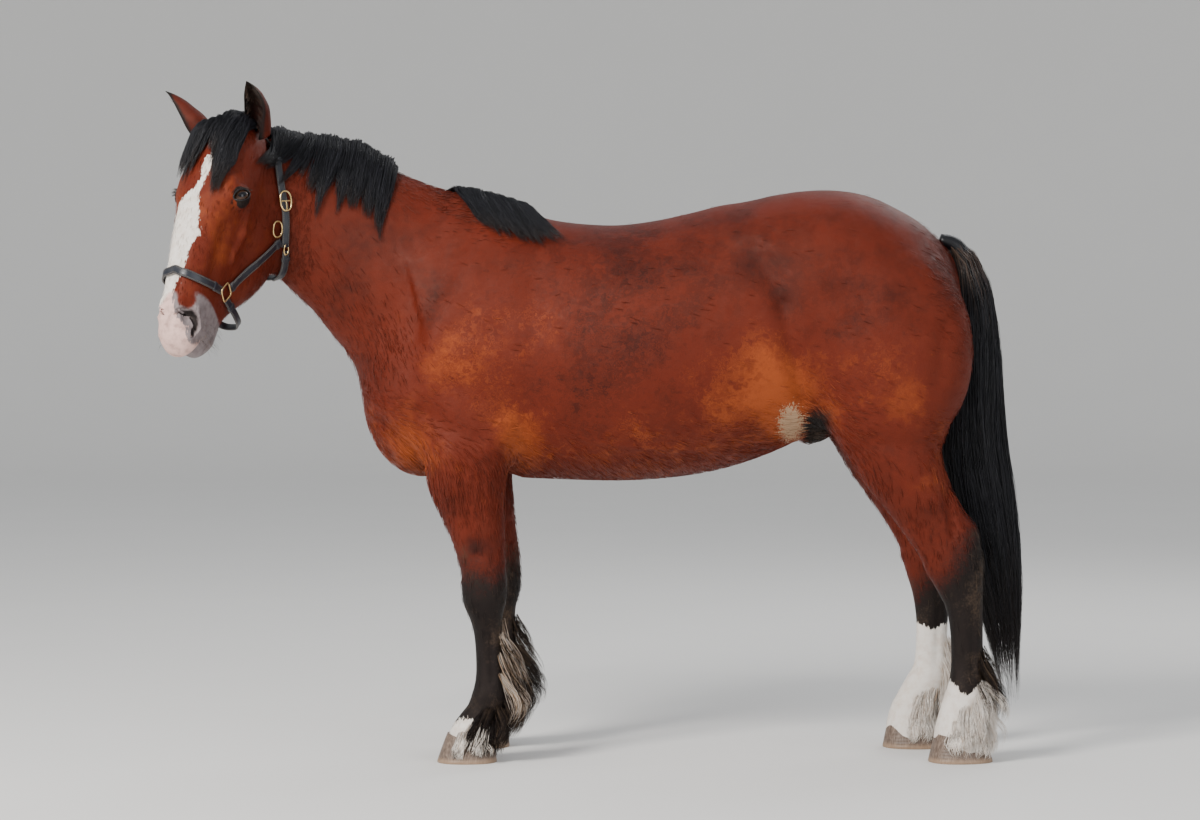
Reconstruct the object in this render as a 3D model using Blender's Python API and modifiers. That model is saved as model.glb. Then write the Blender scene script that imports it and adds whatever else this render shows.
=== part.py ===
"""A heavy horse, life size, standing and looking round to its left.

Metres, +Z up. While it is modelled the horse faces -X, its left side is at -Y, X = 0 lies a little
behind the withers and Z = 0 is the floor under its feet. At the end everything is moved so that the
origin is the centre of the bottom of its bounding box.

The flesh is a set of lofts, each a centre line with an oval section that changes along it, blended
into one surface, with muscles, bones and folds raised or sunk on it as soft ridges. The surface is
then parted by thin cuts into the pieces that a person would name. Mane, forelock, tail and the
feather of the feet are flat, tapered locks, laid over the skin and fused into the piece they grow on.
"""

import math
import re

import bmesh
import bpy
import numpy as np
from mathutils import Matrix, Vector

SEED = 7
GAP = 0.0003
X_AXIS = np.array((1.0, 0.0, 0.0))
Y_AXIS = np.array((0.0, 1.0, 0.0))
Z_AXIS = np.array((0.0, 0.0, 1.0))

# The head: where its nose line starts, level with the poll, and how far it is turned and dropped
NOSE_LINE_START = (-1.172, -0.320, 2.002)
HEAD_TURN = 57.0
HEAD_DROP = 70.0
# How long, wide and deep this head is beside the plain proportions of the tables below
HEAD_SIZE = (1.05, 1.05, 1.12)

# Stations of the trunk, from the rump to the breast: centre x, y, z, then how far the section
# reaches up, down and to each side, and how square it is (2 is an ellipse)
TRUNK = (
    (1.125, 0, 1.43, 0.030, 0.05, 0.035, 2.0),
    (1.105, 0, 1.43, 0.110, 0.14, 0.115, 2.0),
    (1.070, 0, 1.43, 0.165, 0.20, 0.170, 2.0),
    (1.000, 0, 1.43, 0.235, 0.25, 0.235, 2.1),
    (0.900, 0, 1.43, 0.290, 0.29, 0.285, 2.2),
    (0.780, 0, 1.43, 0.335, 0.33, 0.314, 2.2),
    (0.660, 0, 1.41, 0.358, 0.35, 0.322, 2.2),
    (0.540, 0, 1.36, 0.390, 0.37, 0.326, 2.1),
    (0.420, 0, 1.32, 0.398, 0.39, 0.336, 2.0),
    (0.300, 0, 1.29, 0.399, 0.402, 0.345, 2.0),
    (0.180, 0, 1.27, 0.398, 0.403, 0.350, 2.0),
    (0.060, 0, 1.26, 0.397, 0.400, 0.348, 2.0),
    (-0.060, 0, 1.26, 0.402, 0.398, 0.335, 1.9),
    (-0.170, 0, 1.26, 0.415, 0.394, 0.315, 1.8),
    (-0.280, 0, 1.26, 0.420, 0.388, 0.296, 1.8),
    (-0.400, 0, 1.24, 0.395, 0.355, 0.280, 1.9),
    (-0.500, 0, 1.20, 0.315, 0.315, 0.255, 2.0),
    (-0.560, 0, 1.19, 0.225, 0.225, 0.200, 2.0),
    (-0.600, 0, 1.18, 0.130, 0.130, 0.120, 2.0),
    (-0.620, 0, 1.18, 0.040, 0.040, 0.040, 2.0),
)
# The breast is an ellipsoid: its centre and its half length, width and height
BREAST = ((-0.552, 0, 1.135), (0.188, 0.240, 0.262))
# Stations of the neck, from inside the shoulders to the poll
NECK = (
    (-0.380, 0.000, 1.350, 0.300, 0.300, 0.215, 2.0),
    (-0.500, 0.000, 1.440, 0.335, 0.310, 0.200, 1.9),
    (-0.617, -0.005, 1.505, 0.305, 0.300, 0.172, 1.8),
    (-0.735, -0.018, 1.590, 0.262, 0.265, 0.142, 1.8),
    (-0.850, -0.042, 1.665, 0.235, 0.240, 0.120, 1.9),
    (-0.945, -0.075, 1.735, 0.205, 0.215, 0.104, 2.0),
    (-1.020, -0.108, 1.800, 0.165, 0.180, 0.088, 2.0),
    (-1.070, -0.130, 1.850, 0.100, 0.110, 0.065, 2.0),
    (-1.095, -0.140, 1.875, 0.040, 0.040, 0.030, 2.0),
)
# Stations of the near foreleg, from inside the shoulder to below the coronet. Up is to the front.
FORELEG = (
    (-0.380, -0.150, 1.140, 0.040, 0.040, 0.035, 2.0),
    (-0.390, -0.165, 1.080, 0.105, 0.105, 0.082, 2.0),
    (-0.405, -0.180, 0.980, 0.130, 0.130, 0.100, 2.0),
    (-0.406, -0.188, 0.873, 0.125, 0.118, 0.090, 2.0),
    (-0.388, -0.188, 0.780, 0.104, 0.098, 0.078, 2.0),
    (-0.370, -0.187, 0.690, 0.086, 0.080, 0.066, 2.0),
    (-0.356, -0.186, 0.600, 0.075, 0.068, 0.060, 2.1),
    (-0.352, -0.185, 0.540, 0.075, 0.068, 0.062, 2.3),
    (-0.352, -0.185, 0.490, 0.070, 0.064, 0.058, 2.3),
    (-0.349, -0.185, 0.440, 0.052, 0.050, 0.046, 2.1),
    (-0.345, -0.185, 0.390, 0.044, 0.044, 0.038, 2.0),
    (-0.340, -0.185, 0.320, 0.044, 0.044, 0.037, 2.0),
    (-0.337, -0.185, 0.260, 0.048, 0.050, 0.042, 2.0),
    (-0.338, -0.185, 0.205, 0.058, 0.060, 0.053, 2.0),
    (-0.352, -0.185, 0.155, 0.060, 0.057, 0.051, 2.0),
    (-0.372, -0.185, 0.115, 0.068, 0.062, 0.059, 2.0),
    (-0.388, -0.185, 0.080, 0.076, 0.070, 0.066, 2.0),
    (-0.398, -0.185, 0.040, 0.080, 0.076, 0.070, 2.0),
    (-0.400, -0.185, 0.010, 0.080, 0.076, 0.070, 2.0),
)
# Stations of the near hind leg, from inside the haunch to below the coronet
HINDLEG = (
    (0.845, -0.110, 1.560, 0.060, 0.060, 0.050, 2.0),
    (0.860, -0.130, 1.490, 0.170, 0.170, 0.130, 2.0),
    (0.880, -0.155, 1.400, 0.230, 0.230, 0.155, 2.1),
    (0.900, -0.170, 1.280, 0.260, 0.245, 0.160, 2.2),
    (0.900, -0.178, 1.160, 0.240, 0.235, 0.150, 2.2),
    (0.900, -0.182, 1.045, 0.188, 0.190, 0.130, 2.1),
    (0.922, -0.184, 0.930, 0.137, 0.138, 0.104, 2.0),
    (0.966, -0.184, 0.840, 0.110, 0.112, 0.084, 2.0),
    (1.020, -0.182, 0.750, 0.098, 0.098, 0.069, 2.0),
    (1.068, -0.180, 0.675, 0.096, 0.098, 0.062, 2.1),
    (1.096, -0.179, 0.610, 0.096, 0.088, 0.061, 2.2),
    (1.112, -0.178, 0.545, 0.078, 0.072, 0.056, 2.2),
    (1.124, -0.178, 0.480, 0.060, 0.058, 0.046, 2.0),
    (1.130, -0.178, 0.400, 0.052, 0.052, 0.041, 2.0),
    (1.131, -0.178, 0.310, 0.050, 0.052, 0.040, 2.0),
    (1.131, -0.178, 0.250, 0.056, 0.058, 0.047, 2.0),
    (1.128, -0.178, 0.205, 0.064, 0.064, 0.056, 2.0),
    (1.116, -0.178, 0.155, 0.068, 0.064, 0.054, 2.0),
    (1.112, -0.178, 0.115, 0.077, 0.074, 0.064, 2.0),
    (1.112, -0.178, 0.080, 0.084, 0.082, 0.074, 2.0),
    (1.114, -0.178, 0.040, 0.086, 0.086, 0.078, 2.0),
    (1.114, -0.178, 0.010, 0.086, 0.086, 0.078, 2.0),
)
# The sheath, under the belly
SHEATH = (
    (0.760, 0, 1.150, 0.040, 0.040, 0.040, 2.0),
    (0.715, 0, 1.085, 0.060, 0.060, 0.055, 2.0),
    (0.672, 0, 1.030, 0.052, 0.052, 0.050, 2.0),
    (0.650, 0, 0.995, 0.036, 0.036, 0.038, 2.0),
    (0.643, 0, 0.975, 0.016, 0.016, 0.018, 2.0),
)
# How far each off leg stands in front of or behind the near one, at heights from the floor up
OFF_FORE_SHIFT = ((0.0, 0.030), (0.6, 0.034), (0.85, 0.010), (1.0, 0.0))
OFF_HIND_SHIFT = (
    (0.0, -0.125),
    (0.12, -0.110),
    (0.25, -0.080),
    (0.5, -0.068),
    (0.6, -0.045),
    (0.7, -0.022),
    (0.85, -0.010),
    (1.0, 0.0),
)

# Stations of the skull and of the jaw in the head's own frame: x runs down the nose line, y is the
# head's left and z its front
SKULL = (
    (-0.030, 0, -0.130, 0.020, 0.025, 0.025, 2.0),
    (-0.010, 0, -0.130, 0.055, 0.060, 0.055, 2.0),
    (0.050, 0, -0.125, 0.090, 0.090, 0.088, 2.2),
    (0.110, 0, -0.110, 0.095, 0.090, 0.103, 2.4),
    (0.180, 0, -0.100, 0.096, 0.085, 0.109, 2.5),
    (0.250, 0, -0.090, 0.090, 0.090, 0.106, 2.5),
    (0.320, 0, -0.085, 0.085, 0.090, 0.090, 2.5),
    (0.400, 0, -0.080, 0.080, 0.085, 0.078, 2.5),
    (0.480, 0, -0.080, 0.078, 0.080, 0.070, 2.5),
    (0.560, 0, -0.080, 0.074, 0.070, 0.065, 2.4),
    (0.617, 0, -0.078, 0.068, 0.066, 0.068, 2.3),
    (0.658, 0, -0.077, 0.060, 0.056, 0.064, 2.3),
    (0.692, 0, -0.080, 0.046, 0.038, 0.054, 2.2),
    (0.716, 0, -0.082, 0.026, 0.020, 0.036, 2.0),
    (0.727, 0, -0.082, 0.010, 0.008, 0.015, 2.0),
)
JAW = (
    (0.100, 0, -0.190, 0.030, 0.030, 0.030, 2.0),
    (0.125, 0, -0.200, 0.080, 0.070, 0.055, 2.0),
    (0.175, 0, -0.220, 0.110, 0.105, 0.078, 2.2),
    (0.235, 0, -0.230, 0.120, 0.120, 0.088, 2.3),
    (0.300, 0, -0.230, 0.120, 0.128, 0.090, 2.3),
    (0.380, 0, -0.215, 0.110, 0.126, 0.080, 2.2),
    (0.450, 0, -0.195, 0.090, 0.106, 0.064, 2.1),
    (0.520, 0, -0.175, 0.070, 0.074, 0.050, 2.0),
    (0.575, 0, -0.165, 0.055, 0.048, 0.043, 2.0),
    (0.625, 0, -0.160, 0.046, 0.040, 0.043, 2.0),
    (0.660, 0, -0.150, 0.038, 0.038, 0.042, 2.0),
    (0.688, 0, -0.137, 0.025, 0.028, 0.032, 2.0),
    (0.700, 0, -0.128, 0.010, 0.012, 0.016, 2.0),
)

# Muscles, bones and folds of the near side, seen from the side: x, z of one end, x, z of the other,
# half width and height of the swelling, negative where it is a hollow
BODY_RIDGES = (
    ((-0.389, 1.653), (-0.568, 1.309), 0.032, -0.010),
    ((-0.475, 1.600), (-0.640, 1.300), 0.040, -0.006),
    ((-0.350, 1.640), (-0.540, 1.250), 0.050, 0.006),
    ((-0.389, 1.240), (-0.410, 1.140), 0.130, 0.012),
    ((-0.190, 1.460), (-0.200, 1.110), 0.045, -0.009),
    ((-0.289, 1.030), (-0.300, 1.000), 0.035, 0.010),
    ((-0.470, 0.950), (-0.445, 0.860), 0.040, 0.010),
    ((-0.533, 1.080), (-0.389, 0.990), 0.030, -0.010),
    ((-0.676, 1.044), (-0.545, 0.920), 0.022, -0.012),
    ((0.445, 1.632), (0.500, 1.600), 0.050, 0.014),
    ((0.460, 1.560), (0.530, 1.480), 0.060, -0.010),
    ((0.475, 1.600), (0.555, 1.409), 0.028, -0.007),
    ((0.555, 1.409), (0.615, 1.130), 0.026, -0.014),
    ((0.842, 1.260), (0.842, 1.200), 0.110, 0.008),
    ((0.778, 1.420), (0.790, 1.380), 0.070, -0.008),
    ((0.924, 1.409), (1.050, 1.340), 0.030, -0.007),
    ((1.050, 1.340), (1.030, 1.180), 0.028, -0.008),
    ((0.721, 1.060), (0.750, 1.020), 0.050, 0.008),
    ((0.840, 0.990), (1.020, 0.975), 0.028, -0.009),
    ((0.950, 0.890), (0.985, 0.800), 0.045, 0.006),
    ((1.060, 0.840), (1.085, 0.700), 0.016, -0.012),
    ((1.150, 0.735), (1.160, 0.700), 0.020, 0.006),
    ((1.060, 0.640), (1.070, 0.600), 0.025, 0.005),
    ((1.145, 0.460), (1.146, 0.270), 0.008, -0.005),
    ((-0.337, 0.420), (-0.331, 0.250), 0.008, -0.005),
    ((-0.395, 0.570), (-0.395, 0.500), 0.018, 0.004),
    ((-0.315, 0.560), (-0.318, 0.520), 0.018, 0.005),
    ((-0.400, 0.760), (-0.375, 0.640), 0.014, -0.006),
)
# Bones, hollows and openings of the head's left side in its own frame, given the same way
HEAD_RIDGES = (
    ((0.205, 0.088, -0.048), (0.250, 0.100, -0.050), 0.024, 0.010),
    ((0.160, 0.080, -0.050), (0.190, 0.088, -0.058), 0.022, -0.009),
    ((0.275, 0.102, -0.132), (0.330, 0.092, -0.143), 0.016, 0.008),
    ((0.330, 0.092, -0.143), (0.410, 0.076, -0.136), 0.014, 0.008),
    ((0.300, 0.100, -0.190), (0.400, 0.085, -0.185), 0.022, -0.006),
    ((0.340, 0.080, -0.070), (0.480, 0.060, -0.075), 0.022, -0.006),
    ((0.350, 0.040, -0.004), (0.560, 0.026, -0.010), 0.015, 0.004),
    ((0.585, 0.035, -0.012), (0.630, 0.042, -0.016), 0.014, 0.009),
    ((0.590, 0.070, -0.050), (0.650, 0.078, -0.068), 0.014, 0.010),
    ((0.655, 0.062, -0.050), (0.672, 0.064, -0.060), 0.014, 0.006),
    ((0.616, 0.050, -0.026), (0.650, 0.064, -0.046), 0.011, -0.034),
    ((0.588, 0.058, -0.158), (0.640, 0.058, -0.140), 0.006, -0.009),
    ((0.640, 0.058, -0.140), (0.695, 0.040, -0.116), 0.006, -0.010),
    ((0.695, 0.040, -0.116), (0.718, 0.000, -0.108), 0.006, -0.010),
    ((0.650, 0.000, -0.205), (0.655, 0.010, -0.205), 0.024, 0.007),
    ((0.420, 0.000, -0.320), (0.580, 0.000, -0.220), 0.022, -0.012),
    ((0.110, 0.000, -0.005), (0.200, 0.000, 0.000), 0.030, 0.003),
)
# The left eye: where it looks out of the skin, which way it faces and its long axis, in the head's
# own frame; then the ball, how far it stands out, the lids and the half length and height of the slit
EYE = (0.240, 0.096, -0.070)
EYE_FACING = (-0.05, 0.82, 0.50)
EYE_AXIS = (-0.46, 0.40, -0.70)
EYE_RADIUS = 0.029
EYE_PROUD = 0.010
LID = 0.0038
SLIT = (0.0265, 0.0155)

# The ears: where each stands in the head's own frame, how far its tip reaches, which way it opens,
# its half width and how far it bows away from the opening
EARS = (
    ("left_ear", (0.014, 0.085, -0.112), (-0.030, -0.090, 0.136), (-0.45, -0.85, 0.10), 0.039, 0.012),
    ("right_ear", (0.042, -0.090, -0.112), (-0.140, 0.020, 0.145), (-0.62, 0.05, -0.78), 0.042, -0.006),
)

# Where the pieces part: a point and the direction that faces the piece further from the trunk
HEAD_PLANE = ((-0.950, -0.200, 1.700), (-0.868, -0.489, -0.054))
NECK_PLANE = ((-0.250, 0.0, 1.700), (-0.745, 0.0, 0.667))
ELBOW_HEIGHT = 0.842
FORE_CANNON_HEIGHT = 0.430
THIGH_PLANE = ((0.720, 0.0, 1.000), (0.660, 0.0, -0.751))
STIFLE_HEIGHT = 0.950
HIND_CANNON_HEIGHT = 0.510

# Each hoof: its toe and heel on the floor, the middle of its width, its half width, the top edge's
# front and back as x and height, and how far it toes out
HOOVES = {
    "near_fore": dict(
        toe=-0.503, heel=-0.318, y=-0.185, half=0.080,
        front=(-0.470, 0.090), back=(-0.322, 0.042), turn=4,
    ),
    "off_fore": dict(
        toe=-0.473, heel=-0.288, y=0.185, half=0.080,
        front=(-0.440, 0.090), back=(-0.292, 0.042), turn=-4,
    ),
    "near_hind": dict(
        toe=1.012, heel=1.212, y=-0.178, half=0.084,
        front=(1.034, 0.088), back=(1.197, 0.050), turn=10,
    ),
    "off_hind": dict(
        toe=0.900, heel=1.095, y=0.178, half=0.084,
        front=(0.918, 0.088), back=(1.081, 0.050), turn=-6,
    ),
}

# How many triangles the flesh and the head are thinned to
FLESH_FACES = 4100
HEAD_FACES = 1900

# Colours as the eye sees them, then roughness and metallic
FINISHES = {
    "bay_coat": ((0.30, 0.09, 0.045), 0.45, 0.0),
    "black_hair": ((0.012, 0.012, 0.015), 0.40, 0.0),
    "dark_leg": ((0.045, 0.028, 0.024), 0.50, 0.0),
    "white_leg": ((0.75, 0.68, 0.60), 0.55, 0.0),
    "hoof_horn": ((0.16, 0.11, 0.085), 0.55, 0.0),
    "eye_gloss": ((0.010, 0.006, 0.005), 0.05, 0.0),
    "halter_leather": ((0.022, 0.026, 0.034), 0.50, 0.0),
    "brass": ((0.75, 0.52, 0.20), 0.28, 1.0),
}


def smooth_rows(rows, count):
    """Every column of a table of stations as one smooth (Catmull-Rom) curve, at even steps."""
    rows = np.asarray(rows, float)
    ends = np.vstack([2 * rows[0] - rows[1], rows, 2 * rows[-1] - rows[-2]])
    t = np.linspace(0, len(rows) - 1, count)
    i = np.minimum(t.astype(int), len(rows) - 2)
    u = (t - i)[:, None]
    a, b, c, d = (ends[i + k] for k in range(4))
    return b + 0.5 * u * (c - a + u * (2 * a - 5 * b + 4 * c - d + u * (3 * (b - c) + d - a)))


def unit(vectors):
    return vectors / np.maximum(np.linalg.norm(vectors, axis=-1, keepdims=True), 1e-9)


class Loft:
    """A centre line with an oval section that changes along it."""

    reach = 0.25

    def __init__(self, rows, side=Y_AXIS, end_side=None):
        count = 3 * len(rows) + 1
        table = smooth_rows(rows, count)
        self.centre = table[:, :3]
        self.up, self.down, self.side = np.maximum(table[:, 3:6], 0.004).T
        self.power = table[:, 6]
        self.along = unit(np.gradient(self.centre, axis=0))
        share = np.linspace(0, 1, count)[:, None]
        across = side * (1 - share) + (side if end_side is None else end_side) * share
        across = across - (across * self.along).sum(1)[:, None] * self.along
        self.across = unit(across)
        self.dorsal = np.cross(self.across, self.along)
        around = self.rings(8).reshape(-1, 3)
        self.low, self.high = around.min(0) - self.reach, around.max(0) + self.reach

    def rings(self, around=24):
        """The section's points at each station, as an array (stations, around, 3)."""
        angle = np.linspace(0, 2 * math.pi, around, endpoint=False)
        c, s = np.cos(angle), np.sin(angle)
        power = self.power[:, None]
        reach = (np.abs(c) ** power + np.abs(s) ** power) ** (-1 / power)
        height = np.where(s > 0, self.up[:, None], self.down[:, None])
        sideways = (self.side[:, None] * c * reach)[..., None] * self.across[:, None]
        upward = (height * s * reach)[..., None] * self.dorsal[:, None]
        return self.centre[:, None] + sideways + upward

    def distance(self, points):
        """About how far each point lies outside the loft, negative inside."""
        result = np.full(len(points), 2 * self.reach)
        near = ((points > self.low) & (points < self.high)).all(1)
        result[near] = self.near_distance(points[near])
        return result

    def near_distance(self, points):
        last = len(self.centre) - 1
        nearest = ((self.centre**2).sum(1) - 2 * points @ self.centre.T).argmin(1)
        before, after = np.maximum(nearest - 1, 0), np.minimum(nearest + 1, last)
        step = np.linalg.norm(self.centre[after] - self.centre[before], axis=1) / (after - before)
        slide = ((points - self.centre[nearest]) * self.along[nearest]).sum(1) / np.maximum(step, 1e-6)
        at = np.clip(nearest + np.clip(slide, -0.5, 0.5), 0, last)
        low = np.minimum(at.astype(int), last - 1)
        share = at - low

        def mixed(column):
            weight = share if column.ndim == 1 else share[:, None]
            return column[low] * (1 - weight) + column[low + 1] * weight

        offset = points - mixed(self.centre)
        sideways = np.abs((offset * mixed(self.across)).sum(1))
        upward = (offset * mixed(self.dorsal)).sum(1)
        height = np.where(upward > 0, mixed(self.up), mixed(self.down))
        side, power = mixed(self.side), mixed(self.power)
        ratio = ((sideways / side) ** power + (np.abs(upward) / height) ** power) ** (1 / power)
        radial = np.hypot(sideways, upward)
        deep = -0.7 * np.minimum(height, side)
        inside = np.where(ratio > 0.3, radial * (1 - 1 / np.maximum(ratio, 0.3)), deep)
        start = -((points - self.centre[0]) * self.along[0]).sum(1)
        end = ((points - self.centre[-1]) * self.along[-1]).sum(1)
        beyond = np.where(nearest <= 3, start, np.where(nearest >= last - 3, end, -1.0))
        return np.where((inside > 0) & (beyond > 0), np.hypot(inside, beyond), np.maximum(inside, beyond))


def head_matrix():
    """From the head's own frame to the horse's."""
    turn = Matrix.Rotation(math.radians(180 + HEAD_TURN), 4, "Z")
    drop = Matrix.Rotation(math.radians(HEAD_DROP), 4, "Y")
    return Matrix.Translation(NOSE_LINE_START) @ turn @ drop


HEAD_AXES = np.array(head_matrix().to_3x3())
HEAD_ORIGIN = np.array(NOSE_LINE_START)


def to_head(points):
    return (points - HEAD_ORIGIN) @ HEAD_AXES / HEAD_SIZE


def from_head(points):
    return (np.asarray(points) * HEAD_SIZE) @ HEAD_AXES.T + HEAD_ORIGIN


def off_leg(rows, shift):
    """The leg on the off side: the near leg mirrored and moved by its own shift."""
    heights, moves = np.array(shift).T
    return tuple((r[0] + np.interp(r[2], heights, moves), -r[1]) + tuple(r[2:]) for r in rows)


LOFTS = {
    "trunk": Loft(TRUNK),
    "neck": Loft(NECK, end_side=-HEAD_AXES[:, 1]),
    "near_fore": Loft(FORELEG),
    "off_fore": Loft(off_leg(FORELEG, OFF_FORE_SHIFT)),
    "near_hind": Loft(HINDLEG),
    "off_hind": Loft(off_leg(HINDLEG, OFF_HIND_SHIFT)),
    "sheath": Loft(SHEATH),
}
BLENDS = {
    "neck": 0.12,
    "near_fore": 0.08,
    "off_fore": 0.08,
    "near_hind": 0.09,
    "off_hind": 0.09,
    "sheath": 0.02,
}
SKULL_LOFT = Loft(SKULL, side=-Y_AXIS)
JAW_LOFT = Loft(JAW, side=-Y_AXIS)


def blend(a, b, width):
    """The smaller of two distances, with a fillet of about that width where they meet."""
    near = np.maximum(width - np.abs(a - b), 0) / width
    return np.minimum(a, b) - near * near * width / 4


def ridges(points, table):
    """The sum of soft ridges, each a line from one point to another with a width and a height."""
    total = np.zeros(len(points))
    for start, end, width, height in table:
        start, line = np.array(start), np.subtract(end, start)
        share = np.clip((points - start) @ line / max(line @ line, 1e-9), 0, 1)
        gap = ((points - start - share[:, None] * line) ** 2).sum(1)
        total += height * np.exp(-gap / width**2)
    return total


def seen_from_side(points):
    """Each point's x and z as if on the near side, the off legs moved to where the near ones stand."""
    placed = points[:, [0, 2]].copy()
    for shift, front in ((OFF_FORE_SHIFT, True), (OFF_HIND_SHIFT, False)):
        heights, moves = np.array(shift).T
        mine = (points[:, 1] > 0) & ((points[:, 0] < 0.3) == front)
        placed[mine, 0] -= np.interp(points[mine, 2], heights, moves)
    return placed


def head_distance(points):
    """The same in the head's own frame."""
    d = blend(SKULL_LOFT.distance(points), JAW_LOFT.distance(points), 0.05)
    mirrored = np.stack([points[:, 0], np.abs(points[:, 1]), points[:, 2]], axis=1)
    return d - ridges(mirrored, HEAD_RIDGES)


def ellipsoid_distance(points, centre, radii):
    """About how far each point lies outside an ellipsoid."""
    offset = points - centre
    reach = np.linalg.norm(offset / radii, axis=1)
    return reach * (reach - 1) / np.maximum(np.linalg.norm(offset / np.square(radii), axis=1), 1e-6)


def ellipsoid_rings(centre, radii, stations=14, around=24):
    turn = np.linspace(0.05, math.pi - 0.05, stations)[:, None]
    angle = np.linspace(0, 2 * math.pi, around, endpoint=False)[None]
    axes = np.cos(turn), np.sin(turn) * np.cos(angle), np.sin(turn) * np.sin(angle)
    ball = np.stack(np.broadcast_arrays(*axes), -1)
    return np.array(centre) + ball * radii


def body_distance(points):
    """About how far each point lies outside the horse's skin."""
    d = blend(LOFTS["trunk"].distance(points), ellipsoid_distance(points, *BREAST), 0.06)
    for name, width in BLENDS.items():
        d = blend(d, LOFTS[name].distance(points), width)
    d = d - ridges(seen_from_side(points), BODY_RIDGES)
    return blend(d, head_distance(to_head(points)), 0.05)


def distance_and_slope(points, distance=body_distance, size=30000, reach=0.0008):
    """The distance at each point and the direction in which it grows, from four points around it."""
    corners = np.array(((1, 1, 1), (1, -1, -1), (-1, 1, -1), (-1, -1, 1)), float)
    found, slopes = [], []
    for i in range(0, len(points), size):
        some = points[i : i + size]
        values = np.array([distance(some + corner * reach) for corner in corners])
        found.append(values.mean(0))
        slopes.append(np.einsum("kn,kc->nc", values, corners) / (4 * reach))
    return np.concatenate(found), np.concatenate(slopes)


def onto_skin(points, want=0.0, rounds=3, cling=1.0, distance=body_distance):
    """Moves points along the slope to a wanted distance from the skin."""
    for _ in range(rounds):
        d, slope = distance_and_slope(points, distance)
        steep = np.maximum((slope**2).sum(1), 0.25)
        move = np.clip(want - d, -0.02, 0.02)
        move = np.where(move < 0, move * cling, move)
        points = points + slope * (move / steep)[:, None]
    return points


def clear_scene():
    for obj in list(bpy.data.objects):
        bpy.data.objects.remove(obj, do_unlink=True)


def mesh_object(name, points, faces):
    mesh = bpy.data.meshes.new(name)
    mesh.from_pydata(np.asarray(points, float).tolist(), [], [list(map(int, f)) for f in faces])
    obj = bpy.data.objects.new(name, mesh)
    bpy.context.scene.collection.objects.link(obj)
    bm = bmesh.new()
    bm.from_mesh(mesh)
    bmesh.ops.recalc_face_normals(bm, faces=bm.faces)
    bmesh.ops.triangulate(bm, faces=bm.faces)
    bm.to_mesh(mesh)
    bm.free()
    return obj


def triangulated(obj):
    """The object with its faces split into triangles, so that a bent face can be read in one way only."""
    bm = bmesh.new()
    bm.from_mesh(obj.data)
    bmesh.ops.triangulate(bm, faces=bm.faces)
    bm.to_mesh(obj.data)
    bm.free()
    return obj


def tube_faces(stations, around, closed=False):
    """Faces of a tube of rings, with a flat cap at each end or closed into a loop."""
    faces = []
    for i in range(stations if closed else stations - 1):
        a, b = i * around, (i + 1) % stations * around
        for j in range(around):
            k = (j + 1) % around
            faces.append((a + j, b + j, b + k, a + k))
    if not closed:
        faces.append(tuple(range(around)))
        faces.append(tuple((stations - 1) * around + j for j in reversed(range(around))))
    return faces


def tube_object(name, rings, closed=False):
    stations, around = rings.shape[:2]
    return mesh_object(name, rings.reshape(-1, 3), tube_faces(stations, around, closed))


def applied(obj, kind, **settings):
    """Puts a modifier on the object, applies it to the mesh and takes it off again."""
    modifier = obj.modifiers.new(kind.title(), kind)
    for key, value in settings.items():
        setattr(modifier, key, value)
    bpy.context.view_layer.update()
    mesh = bpy.data.meshes.new_from_object(obj.evaluated_get(bpy.context.evaluated_depsgraph_get()))
    obj.modifiers.clear()
    old, obj.data = obj.data, mesh
    bpy.data.meshes.remove(old)
    return obj


def coordinates(mesh):
    points = np.empty(len(mesh.vertices) * 3, np.float32)
    mesh.vertices.foreach_get("co", points)
    return points.reshape(-1, 3).astype(float)


def place(mesh, points):
    mesh.vertices.foreach_set("co", points.astype(np.float32).ravel())
    mesh.update()


def relaxed(mesh, points, strength=0.5):
    """Each point moved toward the mean of its neighbours."""
    edges = np.empty(len(mesh.edges) * 2, np.int32)
    mesh.edges.foreach_get("vertices", edges)
    a, b = edges.reshape(-1, 2).T
    total = np.zeros_like(points)
    for axis in range(3):
        total[:, axis] = np.bincount(a, points[b, axis], len(points))
        total[:, axis] += np.bincount(b, points[a, axis], len(points))
    count = np.bincount(a, minlength=len(points)) + np.bincount(b, minlength=len(points))
    return points + strength * (total / np.maximum(count, 1)[:, None] - points)


def loosened(obj, grain=1e-6, step=3e-5):
    """Points of the surface that fall in one place move a hair apart, each toward its own neighbours."""
    points = coordinates(obj.data)
    shared = np.zeros(len(points), bool)
    for offset in (0.0, 0.5):
        cells = np.round(points / grain + offset).astype(np.int64)
        _, index, count = np.unique(cells, axis=0, return_inverse=True, return_counts=True)
        shared |= count[index.ravel()] > 1
    toward = unit(relaxed(obj.data, points, 1.0) - points)
    points[shared] += step * toward[shared]
    place(obj.data, points)


def flesh(name, lofts, voxel):
    """The lofts' surfaces as one closed surface, settled on the blended skin."""
    points, faces, count = [], [], 0
    for ring in lofts:
        stations, around = ring.shape[:2]
        faces += [tuple(v + count for v in f) for f in tube_faces(stations, around)]
        points.append(ring.reshape(-1, 3))
        count += stations * around
    obj = mesh_object(name, np.vstack(points), faces)
    applied(obj, "REMESH", mode="VOXEL", voxel_size=voxel)
    mesh = obj.data
    skin = coordinates(mesh)
    for _ in range(3):
        skin = relaxed(mesh, onto_skin(skin, rounds=2))
    place(mesh, onto_skin(skin, rounds=2))
    return obj


def copied(obj, name):
    twin = bpy.data.objects.new(name, obj.data.copy())
    bpy.context.scene.collection.objects.link(twin)
    return twin


def removed(obj):
    mesh = obj.data
    bpy.data.objects.remove(obj, do_unlink=True)
    bpy.data.meshes.remove(mesh)


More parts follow.
